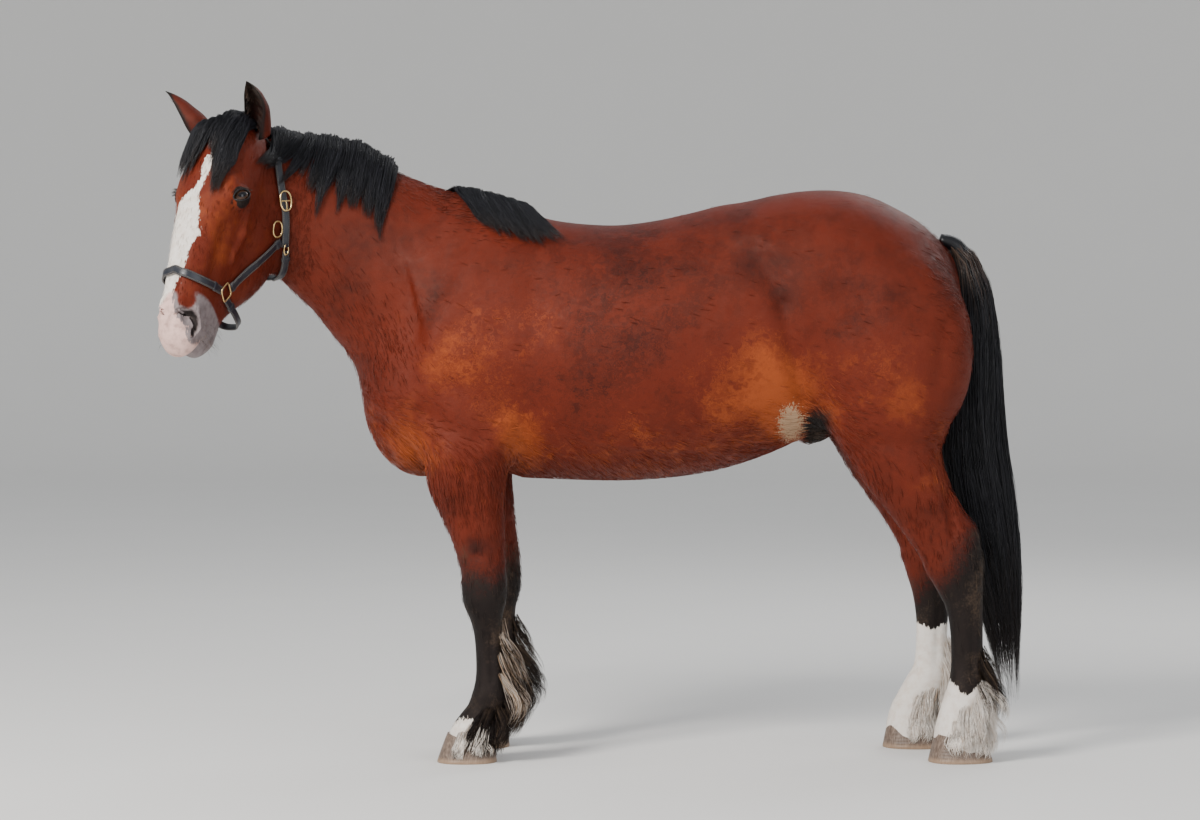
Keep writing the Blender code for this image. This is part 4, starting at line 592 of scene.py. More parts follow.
# Folds, veins and openings that only the fine skin shows, on the head's left side
FINE_HEAD_RIDGES = (
    ((0.612, 0.046, -0.022), (0.634, 0.056, -0.034), 0.0065, -0.02),
    ((0.634, 0.056, -0.034), (0.655, 0.068, -0.054), 0.006, -0.016),
    ((0.602, 0.048, -0.02), (0.63, 0.068, -0.03), 0.005, 0.004),
    ((0.64, 0.078, -0.074), (0.664, 0.066, -0.064), 0.006, 0.004),
    ((0.575, 0.074, -0.085), (0.61, 0.078, -0.11), 0.005, -0.003),
    ((0.59, 0.076, -0.08), (0.625, 0.08, -0.1), 0.004, -0.002),
    ((0.19, 0.088, -0.046), (0.232, 0.102, -0.04), 0.005, -0.003),
    ((0.185, 0.082, -0.036), (0.226, 0.098, -0.028), 0.005, -0.002),
    ((0.27, 0.108, -0.098), (0.262, 0.108, -0.12), 0.005, -0.003),
    ((0.282, 0.1, -0.06), (0.3, 0.1, -0.1), 0.005, -0.002),
    ((0.44, 0.072, -0.15), (0.33, 0.098, -0.098), 0.005, 0.002),
    ((0.4, 0.086, -0.205), (0.3, 0.1, -0.165), 0.005, 0.002),
)
FINE_BODY_RIDGES = (
    ((-0.4, 0.9), (-0.385, 0.7), 0.006, 0.003),
    ((-0.345, 0.86), (-0.35, 0.66), 0.006, 0.002),
    ((0.0, 0.98), (0.3, 0.96), 0.007, 0.003),
    ((-0.18, 1.02), (0.02, 0.985), 0.007, 0.003),
    ((1.0, 0.88), (1.06, 0.72), 0.006, 0.003),
    ((-0.245, 1.06), (-0.235, 0.96), 0.014, -0.006),
    ((-0.215, 1.04), (-0.208, 0.96), 0.01, -0.004),
    ((0.64, 1.12), (0.68, 1.06), 0.014, -0.008),
    ((-0.64, 1.39), (-0.7, 1.44), 0.012, -0.003),
    ((-0.665, 1.34), (-0.73, 1.39), 0.012, -0.003),
)


def eye_frame(mirror):
    """The ball's centre, the way the eye faces, its long axis and its high axis, on one side."""
    skin = onto_skin(from_head([EYE * mirror]), 0.0, 6)[0]
    facing = unit((EYE_FACING * mirror) @ HEAD_AXES.T)
    long = (EYE_AXIS * mirror) @ HEAD_AXES.T
    long = unit(long - (long @ facing) * facing)
    return skin - facing * (EYE_RADIUS - EYE_PROUD), facing, long, np.cross(facing, long)


SIDES = {"left": np.array((1, 1, 1)), "right": np.array((1, -1, 1))}
EYES = {side: eye_frame(mirror) for side, mirror in SIDES.items()}
MOUTH = ((0.588, 0.058, -0.16), (0.64, 0.058, -0.142), (0.695, 0.04, -0.118), (0.718, 0.0, -0.11))
MOUTH_LINE = to_head(onto_skin(from_head(smooth_rows(MOUTH, 13)), 0.0, 6))
MOUTH_GROOVE = [(a, b, 0.0038, -0.005) for a, b in zip(MOUTH_LINE, MOUTH_LINE[1:])]


def fine_distance(points):
    """The skin's distance with the folds, veins, nostrils and lids that the solids are too coarse for."""
    d = body_distance(points)
    high = points[:, 2] > 1.35
    d = d - np.where(high, 0, ridges(seen_from_side(points), FINE_BODY_RIDGES))
    local = to_head(points)
    local[:, 1] = np.abs(local[:, 1])
    head = (local[:, 0] > 0) & (local[:, 0] < 0.8)
    d[head] -= ridges(local[head], FINE_HEAD_RIDGES)
    d[head] -= ridges(local[head], MOUTH_GROOVE)
    for centre, _, _, _ in EYES.values():
        lids = np.linalg.norm(points - centre, axis=1) - EYE_RADIUS - LID
        d = np.where(lids < 0.08, blend(d, lids, 0.012), d)
    return d


# The slit of the left nostril, in the head's own frame
NOSTRIL = (
    (0.613, 0.046, -0.018), (0.622, 0.056, -0.032), (0.642, 0.068, -0.046),
    (0.664, 0.074, -0.056), (0.684, 0.07, -0.058),
)
# The plug that is cut out of it: how deep each ring lies under the skin, and how wide it is
NOSTRIL_RINGS = ((-0.012, 1.3), (0.004, 1.0), (0.014, 0.8), (0.028, 0.5))


def nostril_cutter(mirror):
    """A comma-shaped plug that narrows inward: its loop is a line on the skin widened by a half width."""
    line = onto_skin(from_head(smooth_rows(NOSTRIL, 15) * mirror), 0.0, 5)
    out = unit(unit(distance_and_slope(line)[1]).mean(0))
    across = unit(np.cross(np.gradient(line, axis=0), out))
    half = np.interp(np.linspace(0, 1, 15), (0, 0.3, 0.7, 1), (0.005, 0.013, 0.013, 0.006))[:, None]
    loop = np.concatenate([line + across * half, (line - across * half)[::-1]])
    middle = loop.mean(0)
    return np.array([middle + (loop - middle) * grow - out * deep for deep, grow in NOSTRIL_RINGS])


def stood(points):
    """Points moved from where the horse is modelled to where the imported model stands."""
    low, high = (np.array(corner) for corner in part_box("left_fore_hoof"))
    rings = hoof_rings(**HOOVES["near_fore"]).reshape(-1, 3)
    shift = (low + high) / 2 - (rings.min(0) + rings.max(0)) / 2
    return points + shift * (1, 1, 0)


def mesh_piece(name, points, faces, attributes=(), bake=None, smooth=True):
    """An object from an array of points and a list of arrays of faces, each with one count of corners."""
    mesh = bpy.data.meshes.new(name)
    corners = np.concatenate([f.ravel() for f in faces]).astype(np.int32)
    sizes = np.concatenate([np.full(len(f), f.shape[1]) for f in faces])
    mesh.vertices.add(len(points))
    mesh.vertices.foreach_set("co", stood(points).astype(np.float32).ravel())
    mesh.loops.add(len(corners))
    mesh.polygons.add(len(sizes))
    mesh.polygons.foreach_set("loop_start", (np.cumsum(sizes) - sizes).astype(np.int32))
    mesh.polygons.foreach_set("vertices", corners)
    mesh.polygons.foreach_set("use_smooth", np.full(len(sizes), smooth))
    mesh.update(calc_edges=True)
    if bake is not None:
        layer = mesh.uv_layers.new(name="OFBake")
        layer.data.foreach_set("uv", bake[corners].astype(np.float32).ravel())
    obj = bpy.data.objects.new(name, mesh)
    bpy.context.scene.collection.objects.link(obj)
    for key, values in attributes:
        painted(mesh, key, values)
    return obj


def painted(mesh, name, values):
    """Puts one vector a point into the mesh, for a material to read."""
    layer = mesh.attributes.new(name, "FLOAT_VECTOR", "POINT")
    layer.data.foreach_set("vector", np.asarray(values, np.float32).ravel())


def done(obj, look, slot, *nodes):
    """Gives a piece its material, its body and the nodes that it stands for; its slot is not used."""
    obj.data.materials.clear()
    obj.data.materials.append(finish(look))
    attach(obj, "root")
    if nodes:
        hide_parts(*nodes)
    return obj


def grid_faces(rows, columns, closed_rows=False, closed_columns=True):
    """Four-cornered faces of a grid of points, row after row, which may close on itself either way."""
    last_row, last_column = rows if closed_rows else rows - 1, columns if closed_columns else columns - 1
    i, j = (a.ravel() for a in np.meshgrid(np.arange(last_row), np.arange(last_column), indexing="ij"))
    k, m = (i + 1) % rows, (j + 1) % columns
    return np.stack([i * columns + j, i * columns + m, k * columns + m, k * columns + j], axis=1)


def tube(name, rings, closed=False, **how):
    """A tube through rings of points, an array (stations, around, 3), capped flat or closed on itself."""
    stations, around = rings.shape[:2]
    faces = [grid_faces(stations, around, closed_rows=closed)]
    if not closed:
        ends = np.arange(around)
        faces.append(np.stack([ends[::-1], ends + (stations - 1) * around]))
    obj = mesh_piece(name, rings.reshape(-1, 3), faces, **how)
    bm = bmesh.new()
    bm.from_mesh(obj.data)
    bmesh.ops.recalc_face_normals(bm, faces=bm.faces)
    bm.to_mesh(obj.data)
    bm.free()
    return obj


def circles(path, first, second, radius, sides):
    """Circles round a path's points: path + radius (cos a first + sin a second)."""
    turn = full_turn(sides)[None, :, None]
    first, second = (np.broadcast_to(way, path.shape)[:, None] for way in (first, second))
    ring = np.cos(turn) * first + np.sin(turn) * second
    return path[:, None] + ring * np.broadcast_to(radius, len(path))[:, None, None]


def coordinates(mesh):
    """All of a mesh's points as an array."""
    points = np.empty(len(mesh.vertices) * 3, np.float32)
    mesh.vertices.foreach_get("co", points)
    return points.reshape(-1, 3).astype(float)


def place(mesh, points):
    """Moves a mesh's points to new places."""
    mesh.vertices.foreach_set("co", points.astype(np.float32).ravel())
    mesh.update()


def applied(obj, kind, **settings):
    """Puts a modifier on the object, applies it to the mesh and takes it off again."""
    modifier = obj.modifiers.new(kind.title(), kind)
    for key, value in settings.items():
        setattr(modifier, key, value)
    bpy.context.view_layer.update()
    mesh = bpy.data.meshes.new_from_object(obj.evaluated_get(bpy.context.evaluated_depsgraph_get()))
    obj.modifiers.clear()
    old, obj.data = obj.data, mesh
    bpy.data.meshes.remove(old)
    return obj


def edge_ends(mesh):
    """The numbers of the two points of each edge."""
    ends = np.empty(len(mesh.edges) * 2, np.int32)
    mesh.edges.foreach_get("vertices", ends)
    return ends.reshape(-1, 2).T


def relaxed(mesh, points, strength=0.5):
    """Each point moved toward the mean of its neighbours."""
    a, b = edge_ends(mesh)
    total, size = np.zeros_like(points), len(points)
    for axis in range(3):
        total[:, axis] = np.bincount(a, points[b, axis], size) + np.bincount(b, points[a, axis], size)
    count = np.bincount(a, minlength=size) + np.bincount(b, minlength=size)
    return points + strength * (total / np.maximum(count, 1)[:, None] - points)


def wanted_edge(points, body_edge):
    """How long the skin's edges may be: finer on the legs and head, finest at the muzzle and eyes."""
    want = np.where(points[:, 2] < 0.75, 0.55 * body_edge, body_edge)
    local = to_head(points)
    on_head = within_head(local, -0.02, 0.8, 0.16) & (local[:, 2] > -0.4)
    want = np.where(on_head, 0.36 * body_edge, want)
    want = np.where(on_head & (local[:, 0] > 0.56), 0.17 * body_edge, want)
    for centre, facing, _, _ in EYES.values():
        offset = points - centre
        near = (np.linalg.norm(offset, axis=1) < 0.045) & (offset @ facing > 0)
        want = np.where(near, 0.105 * body_edge, want)
    return want


def refined(obj, body_edge, passes=3):
    """Halves edges that are too long for where they lie and settles the skin again after each pass."""
    for _ in range(passes):
        bm = bmesh.new()
        bm.from_mesh(obj.data)
        bmesh.ops.triangulate(bm, faces=bm.faces)
        bm.edges.ensure_lookup_table()
        bm.to_mesh(obj.data)
        start, end = coordinates(obj.data)[edge_ends(obj.data)]
        long = np.linalg.norm(start - end, axis=1)
        cut = np.flatnonzero(long > 1.4 * wanted_edge((start + end) / 2, body_edge))
        bmesh.ops.subdivide_edges(bm, edges=[bm.edges[i] for i in cut], cuts=1)
        bmesh.ops.triangulate(bm, faces=bm.faces)
        bm.to_mesh(obj.data)
        bm.free()
        skin = relaxed(obj.data, coordinates(obj.data), 0.4)
        place(obj.data, onto_skin(skin, 0.0, 2, distance=fine_distance))
    return obj


def carved(obj, rings):
    """Cuts a closed tube through the rings out of the object with a Boolean and removes the tube."""
    cutter = tube("cutter", rings)
    place(cutter.data, rings.reshape(-1, 3))
    applied(obj, "BOOLEAN", operation="DIFFERENCE", object=cutter, solver="MANIFOLD")
    mesh = cutter.data
    bpy.data.objects.remove(cutter, do_unlink=True)
    bpy.data.meshes.remove(mesh)


def ball_points(centre, axis, across, radius, rows=24, around=36, bulge=None):
    """A ball's rings: centre + radius (cos a axis + sin a (cos b across + sin b third))."""
    third = np.cross(axis, across)
    polar = np.linspace(0.02, math.pi - 0.02, rows)[:, None]
    turn = full_turn(around)[None]
    reach = radius * (np.ones_like(polar) if bulge is None else 1 + bulge(polar))
    parts = np.cos(polar) * np.ones_like(turn), np.sin(polar) * np.cos(turn), np.sin(polar) * np.sin(turn)
    return centre + sum(
        (reach * part)[..., None] * way for part, way in zip(parts, (axis, across, third))
    )


def cornea(polar):
    """How far the front of the eyeball bulges, as a share of its radius."""
    return 0.07 * np.exp(-((polar / 0.5) ** 2))


def eye_outline(scale=1.0, count=40):
    """The almond between the lids, as distances along the eye's long and high axes."""
    angle = full_turn(count)
    c, s = np.cos(angle), np.sin(angle)
    return scale * SLIT[0] * c, scale * SLIT[1] * s * (1 - 0.25 * c * c)


def bare_skin(body_edge, coat_depth):
    """The skin as one closed surface: lofts fused in voxels, settled on the blended shape and refined."""
    rings = [loft.rings() for loft in LOFTS.values()] + [ellipsoid_rings(*BREAST)]
    rings += [from_head(loft.rings()) for loft in (SKULL_LOFT, JAW_LOFT)]
    points, faces, count = [], [], 0
    for ring in rings:
        stations, around = ring.shape[:2]
        ends = np.arange(around)
        points.append(ring.reshape(-1, 3))
        faces.append(grid_faces(stations, around)[:, ::-1] + count)
        faces += [ends[None] + count, ends[None, ::-1] + (stations - 1) * around + count]
        count += stations * around
    obj = mesh_piece("skin", np.vstack(points), faces)
    place(obj.data, np.vstack(points))
    applied(obj, "REMESH", mode="VOXEL", voxel_size=body_edge)
    for _ in range(2):
        place(obj.data, relaxed(obj.data, onto_skin(coordinates(obj.data), rounds=2)))
    place(obj.data, onto_skin(coordinates(obj.data), rounds=2))
    refined(obj, body_edge)
    settled = onto_skin(coordinates(obj.data), -coat_depth, 2, distance=fine_distance)
    soft = settled
    for _ in range(10):
        soft = relaxed(obj.data, soft)
    upward = distance_and_slope(settled)[1][:, 2]
    back = soft_step(upward, 0.35, 0.7) * soft_step(settled[:, 0], -0.3, 0.0)
    place(obj.data, settled + back[:, None] * (soft - settled))
    for side, (centre, facing, long, high) in EYES.items():
        a, b = eye_outline()
        outline = a[:, None] * long + b[:, None] * high
        depths = np.array((0.3, 2.0))[:, None, None] * EYE_RADIUS * facing
        carved(obj, centre + (outline[None] * np.array((0.75, 1.2))[:, None, None] + depths))
        carved(obj, ball_points(centre, facing, long, EYE_RADIUS + 2 * GAP))
        carved(obj, nostril_cutter(SIDES[side]))
    applied(obj, "TRIANGULATE")
    points = coordinates(obj.data)
    nostrils = [nostril_cutter(mirror)[1].mean(0) for mirror in SIDES.values()]
    near = np.minimum.reduce([np.linalg.norm(points - middle, axis=1) for middle in nostrils]) < 0.034
    for _ in range(4):
        points = np.where(near[:, None], relaxed(obj.data, points, 0.5), points)
    place(obj.data, points)
    return obj


def soft_step(value, low, high):
    """0 below low, 1 above high and a smooth slope between."""
    share = np.clip((value - low) / (high - low), 0, 1)
    return share * share * (3 - 2 * share)


def spots(places, table):
    """The sum of soft round spots, each a centre, a radius and a strength."""
    total = np.zeros(len(places))
    for centre, radius, strength in table:
        gap = ((places - np.array(centre)) ** 2).sum(1)
        total += strength * np.exp(-gap / radius**2)
    return total


# The blaze in the head's own frame: how far down the nose, then its edge on the left and on the right
BLAZE = (
    (0.135, 0.022, 0.018), (0.155, 0.037, 0.008), (0.18, 0.036, 0.006), (0.213, 0.032, 0.014),
    (0.24, 0.022, 0.0),
    (0.262, 0.022, -0.03), (0.291, 0.026, -0.055), (0.38, 0.049, -0.068), (0.438, 0.028, -0.07),
    (0.483, 0.025, -0.07), (0.519, 0.015, -0.072), (0.569, 0.001, -0.078), (0.616, 0.019, -0.082),
    (0.65, 0.049, -0.085), (0.706, 0.055, -0.085), (0.76, 0.055, -0.085),
)
# Lighter, orange places of the coat as seen from the side, and darker ones, some of which are painted
# shade: down the groove in front of the shoulder and in the hollow at the front of the forearm
LIGHT_SPOTS = (
    ((-0.235, 0.985), 0.085, 0.9), ((-0.3, 1.06), 0.07, 0.4), ((0.56, 1.11), 0.11, 1.0),
    ((0.5, 1.25), 0.1, 0.5), ((0.585, 1.02), 0.06, 0.8), ((-0.6, 0.96), 0.11, 0.9),
    ((0.35, 1.06), 0.12, 0.4), ((0.1, 0.93), 0.16, 0.35), ((-0.1, 1.33), 0.12, 0.25),
    ((0.16, 1.4), 0.1, 0.2), ((1.02, 0.86), 0.08, 0.4), ((0.47, 1.46), 0.05, 0.4),
    ((-0.34, 1.35), 0.09, 0.2), ((0.96, 1.06), 0.1, 0.2),
    ((-0.47, 1.27), 0.14, 0.6), ((0.9, 1.17), 0.14, 0.5),
)
DARK_AND_SHADED_SPOTS = (
    # painted shade: the three spots down the groove in front of the shoulder and the small one on the
    # front of the forearm
    ((0.49, 1.5), 0.085, 0.75), ((0.56, 1.42), 0.06, 0.5), ((-0.48, 1.48), 0.06, 0.4),
    ((-0.53, 1.38), 0.06, 0.4), ((-0.56, 1.29), 0.06, 0.3), ((-0.387, 0.67), 0.03, 0.8),
    ((0.86, 1.56), 0.16, 0.25), ((0.3, 1.59), 0.2, 0.15), ((1.08, 1.5), 0.09, 0.3),
    ((0.72, 1.33), 0.09, 0.3), ((0.02, 1.25), 0.26, 0.45), ((-0.74, 1.56), 0.2, 0.3),
    ((0.05, 1.5), 0.26, 0.3),
)


def white_reach(points):
    """How far inside the white of the face and feet each point lies, in metres, negative outside."""
    local = to_head(points)
    down, left, right = np.array(BLAZE).T
    edge = np.minimum(
        np.interp(local[:, 0], down, left) - local[:, 1],
        local[:, 1] - np.interp(local[:, 0], down, right)
    )
    face = np.minimum(np.minimum(edge, local[:, 0] - down[0]), local[:, 2] + 0.105)
    face = np.where(within_head(local, 0.05, 0.8, 0.14) & (local[:, 2] < 0.08), face, -1.0)
    x, y, z = points.T
    near_hind = np.where((x > 0.7) & (y < 0), 0.232 + 0.02 * np.sin(60 * x) - z, -1.0)
    off_hind = np.where((x > 0.7) & (y > 0), 0.388 + 0.008 * np.sin(70 * x) - z, -1.0)
    centre, radii = np.array((-0.405, -0.225, 0.092)), np.array((0.068, 0.1, 0.046))
    patch = (1 - np.linalg.norm((points - centre) / radii, axis=1)) * 0.036
    near_fore = np.where((x < 0) & (y < 0) & (z < 0.15) & (x < -0.335), patch, -1.0)
    gap = np.linalg.norm((points - (0.582, 0, 1.045)) / (0.04, 0.5, 0.062), axis=1)
    return np.maximum.reduce([face, near_hind, off_hind, near_fore, (1 - gap) * 0.02])


def blackness(points):
    """How black the coat is: the legs, ear rims, eyelids and sheath, with painted shade spread from the
    sheath into the folds of the flank on both sides.
    """
    x, _, z = points.T
    fore = (x < 0.3) * soft_step(-z, -0.8, -0.42)
    hind = (x > 0.7) * soft_step(-(z - 1.5 * (x - 1.08)), -0.9, -0.38)
    # the black sheath, widened sideways as painted shade in the fold where the flank meets the belly
    sheath = 1.6 * np.exp(-(((points - (0.662, 0, 1.028)) / (0.042, 0.4, 0.062)) ** 2).sum(1))
    lids = np.zeros(len(points))
    for centre, facing, _, _ in EYES.values():
        gap = np.linalg.norm(points - centre - facing * EYE_RADIUS, axis=1)
        inside = np.linalg.norm(points - centre, axis=1) < EYE_RADIUS + 0.7 * LID
        lids = np.maximum(lids, np.maximum(inside, soft_step(-gap, -0.031, -0.026)))
    return np.clip(np.maximum.reduce([fore * (z < 1.0), hind * (z < 1.0), sheath, 0.9 * lids]), 0, 1)


def muzzle(points):
    """How bare the skin is: the nose, lips and chin."""
    local = to_head(points)
    x, y, z = local.T
    bare = soft_step(x + 0.25 * (z + 0.08) + 0.6 * np.maximum(np.abs(y) - 0.02, 0), 0.55, 0.6)
    patch = 1.2 * np.exp(-(((np.abs(local) - (0.575, 0.042, 0.025)) / (0.026, 0.022, 0.035)) ** 2).sum(1))
    return np.where((x < 0.85) & (np.abs(y) < 0.16) & (z > -0.4), np.clip(bare - patch, 0, 1), 0)


def nostril_depth(points):
    """How deep each point lies in a nostril or between the lips, from 0 to 1: the painted shade that
    darkens them.
    """
    local = to_head(points)
    local[:, 1] = np.abs(local[:, 1])
    around = (local[:, 0] > 0.59) & (local[:, 0] < 0.71) & (local[:, 1] > 0.012) & (local[:, 1] < 0.11)
    deep = np.zeros(len(points))
    deep[around] = np.clip((-body_distance(points[around]) - 0.0045) / 0.006, 0, 1)
    # painted shade along the line between the lips
    lips = ridges(local, [(a, b, 0.0036, 0.55) for a, b, _, _ in MOUTH_GROOVE])
    return np.maximum(deep, np.clip(lips, 0, 0.9))


def marks(points):
    """White, black and bare-skin marks of the coat at each point; the black also holds painted shade in
    the flank folds by the sheath.
    """
    return np.stack([white_reach(points), blackness(points), muzzle(points)], axis=1)


def tone(points):
    """Light places less dark and shaded ones, with painted light on the cheeks, how dappled the coat is
    and the painted shade in the nostrils and between the lips, at each point.
    """
    seen = seen_from_side(points)
    # painted light: each cheek is lightened as if lit
    cheek = np.exp(-(((np.abs(to_head(points)) - (0.36, 0.09, 0.1)) / (0.24, 0.11, 0.16)) ** 2).sum(1))
    light = spots(seen, LIGHT_SPOTS) - spots(seen, DARK_AND_SHADED_SPOTS) + 0.55 * cheek
    dapple = spots(seen, (((0.1, 1.2), 0.45, 1.0), ((-0.3, 1.3), 0.25, 0.6), ((0.85, 1.3), 0.3, 0.5)))
    return np.stack([light, np.clip(dapple, 0, 1), nostril_depth(points)], axis=1)


def ear_points(base, tip, opening, width, bow, thick=0.004, stations=28, around=21):
    """A leaf rolled round its axis: rings that run along its outer face and back along its inner one."""
    base, tip = np.array(base), np.array(tip)
    axis = unit(tip - base)
    length = np.linalg.norm(tip - base)
    front = np.asarray(opening, float)
    front = unit(front - (front @ axis) * axis)
    side = np.cross(axis, front)
    coarse = np.linspace(0, 1, 8)
    shape = np.stack([
        coarse,
        width * np.interp(coarse, (0, 0.18, 0.45, 0.75, 0.93, 1), (0.75, 0.92, 1.0, 0.72, 0.3, 0.05)),
        np.radians(np.interp(coarse, (0, 0.2, 0.5, 1), (165, 145, 112, 70))),
    ], axis=1)
    t, half, rolled = smooth_rows(shape, stations).T
    v = np.linspace(-1, 1, around)
    sheet = []
    for inner in (0, 1):
        edge = 1 - 0.85 * np.abs(v) ** 6
        radius = half[:, None] / np.sin(np.minimum(rolled, math.pi / 2))[:, None] - inner * thick * edge
        radius = np.maximum(radius, 0.0012)
        bowed = front * (bow * np.sin(math.pi * t))[:, None]
        centre = base + axis * (length * t * (1 - 0.015 * inner))[:, None] - bowed
        angle = rolled[:, None] * v
        forward, sideways = (radius * np.cos(angle))[..., None], (radius * np.sin(angle))[..., None]
        sheet.append(centre[:, None] - front * forward + side * sideways)
    return np.concatenate([sheet[0], sheet[1][:, ::-1]], axis=1), axis, front


def hoof_rings(toe, heel, y, half, front, back, turn, around=16, shares=(0.0, 0.06, 0.5, 1.0)):
    """Rings from the sole to the top edge, which slopes down to the heel."""
    angle = full_turn(around)
    c, s = np.cos(angle), np.sin(angle)
    round_off = (np.abs(c) ** 2.3 + np.abs(s) ** 2.3) ** (-1 / 2.3)
    sole_mid, sole_long = (toe + heel) / 2, (heel - toe) / 2
    top_mid, top_long = (front[0] + back[0]) / 2, (back[0] - front[0]) / 2
    slope = (back[1] - front[1]) / (back[0] - front[0])
    rings = []
    for share in shares:
        shrink = 0.985 if share == 0 else 1.0
        mid = sole_mid * (1 - share) + top_mid * share
        long = (sole_long * (1 - share) + top_long * share) * shrink
        wide = half * (1 - 0.17 * share) * shrink
        x = mid - long * c * round_off
        top = front[1] + slope * (x - front[0]) - GAP / 2
        rings.append(np.stack([x, y - wide * s * round_off, top * share], axis=1))
    rings = np.array(rings)
    turned = math.radians(turn)
    spin = np.array(((math.cos(turned), -math.sin(turned)), (math.sin(turned), math.cos(turned))))
    rings[..., :2] = (rings[..., :2] - (sole_mid, y)) @ spin.T + (sole_mid, y)
    return rings


def tiled(along, turn):
    """Places in a tile of the baking map: the shares along a part and round it, kept off the edges."""
    return np.clip(np.stack([along, turn / (2 * math.pi) + 0.5], axis=1), 0.002, 0.998)


def unwrapped(points, loft_name):
    """Where points lie on the unrolled skin of one loft: along it and round it, each from 0 to 1."""
    loft = LOFTS[loft_name]
    nearest = ((loft.centre**2).sum(1) - 2 * points @ loft.centre.T).argmin(1)
    offset = points - loft.centre[nearest]
    slide = (offset * loft.along[nearest]).sum(1) / np.linalg.norm(loft.centre[-1] - loft.centre[0])
    turn = np.arctan2((offset * loft.dorsal[nearest]).sum(1), (offset * loft.across[nearest]).sum(1))
    return tiled(nearest / len(loft.centre) + slide, turn)


def head_unwrapped(points):
    """Where points lie on the unrolled head: down the nose and round the head's long axis."""
    local = to_head(points)
    turn = np.arctan2(local[:, 1], local[:, 2] + 0.12)
    return tiled(local[:, 0] / 0.8, turn)


def strand_mesh(
    name, paths, outward, width, thick, where, shade, marks_at=0, tone_at=0, profile=None, smooth=True
):
    """Tapered strands of three sides along paths (strands, stations, 3), closed at both ends.

    Each ring is path + top, path + across - 0.4 top and path - across - 0.4 top, with both reaches
    drawn in toward the tip, and each strand has its own small patch of the baking map at its root.
    """
    count, stations = paths.shape[:2]
    t = np.linspace(0, 1, stations)
    swell = np.interp(t, (0, 0.25, 0.7, 1), (0.7, 1, 0.8, 0.1)) if profile is None else profile
    across, top = crossed(paths, outward)
    top = top * (np.broadcast_to(thick, (count,))[:, None] * swell / 2)[..., None]
    across = across * (np.broadcast_to(width, (count,))[:, None] * swell / 2)[..., None]
    rings = np.stack([paths + top, paths + across - 0.4 * top, paths - across - 0.4 * top], axis=2)
    rings[..., 2] = np.maximum(rings[..., 2], 0.0015)
    quads = grid_faces(stations, 3)
    first = (np.arange(count) * stations * 3)[:, None, None]
    last = (stations - 1) * 3
    ends = np.array(((0, 2, 1), (last, last + 1, last + 2)))
    faces = [(first + quads).reshape(-1, 4), (first + ends).reshape(-1, 3)]
    grid = np.meshgrid(t - 0.5, (0.0, 0.5, -0.5), indexing="ij")
    patch = np.stack(grid, axis=-1).reshape(-1, 2) * 0.003
    bake = (where[:, None] + patch[None]).reshape(-1, 2)
    each = stations * 3
    hair = np.stack(
        [np.repeat(shade, each), np.tile(np.repeat(t, 3), count), np.zeros(count * each)], axis=1
    )
    marks_at, tone_at = (
        np.repeat(np.broadcast_to(v, (count, 3)), each, axis=0) for v in (marks_at, tone_at)
    )
    attributes = [("marks", marks_at), ("tone", tone_at), ("hair", hair)]
    return mesh_piece(name, rings.reshape(-1, 3), faces, attributes, bake, smooth)


def brown_share(shares):
    """Tones of strands that are brown by the given shares."""
    return np.stack([shares, 0 * shares, 0 * shares], axis=1)


def lay(roots, tips, rise=0.0, sink=0.012, lift=0.008, cling=1.0, stations=9, distance=body_distance):
    """Paths from roots to tips that keep to the skin: each starts sunk in it and ends lifted off it."""
    t = np.linspace(0, 1, stations)
    roots, tips = np.asarray(roots, float), np.asarray(tips, float)
    lift, rise = (np.broadcast_to(np.asarray(v, float), (len(roots),))[:, None] for v in (lift, rise))
    paths = roots[:, None] * (1 - t)[None, :, None] + tips[:, None] * t[None, :, None]
    want = -sink + (lift + sink) * np.clip(t * 4, 0, 1)[None]
    want = want + rise * np.exp(-(((t - 0.25) / 0.2) ** 2))[None]
    flat = onto_skin(paths.reshape(-1, 3), want.ravel(), 6, cling, distance)
    slope = unit(distance_and_slope(flat, distance)[1])
    return flat.reshape(paths.shape), slope.reshape(paths.shape)


def filled(
    guides, outward, each, width, thick, draw, ends=(0.72, 1.0), stations=8, frizz=0.004, waves=1.5,
    swell=None
):
    """Strands that fill flat locks round guide lines, gathered toward the tips and slightly waved."""
    which = np.repeat(np.arange(len(guides)), each)
    count, last = len(which), guides.shape[1] - 1
    t = np.linspace(0, 1, stations) * draw.uniform(*ends, count)[:, None]
    low = np.minimum((t * last).astype(int), last - 1)
    share = (t * last - low)[..., None]
    row = which[:, None]
    path = guides[row, low] * (1 - share) + guides[row, low + 1] * share
    out = unit(outward[row, low] * (1 - share) + outward[row, low + 1] * share)
    across, top = crossed(path, out)
    angle, radius = draw.uniform(0, 2 * math.pi, count), np.sqrt(draw.uniform(0, 1, count))
    gather = np.interp(t, (0, 0.25, 0.65, 1), (0.8, 1, 0.75, 0.15) if swell is None else swell)
    wide, deep = (np.broadcast_to(v, (len(guides),))[which][:, None] / 2 for v in (width, thick))
    phase, phase_b = draw.uniform(0, 2 * math.pi, (2, count, 1))
    wave = frizz * t * np.sin(2 * math.pi * waves * t + phase)
    wave_b = 0.6 * frizz * t * np.sin(2.6 * math.pi * waves * t + phase_b)
    path = path + across * ((radius * np.cos(angle))[:, None] * gather * wide + wave)[..., None]
    path = path + top * ((radius * np.sin(angle))[:, None] * gather * deep + wave_b)[..., None]
    return path, out, which


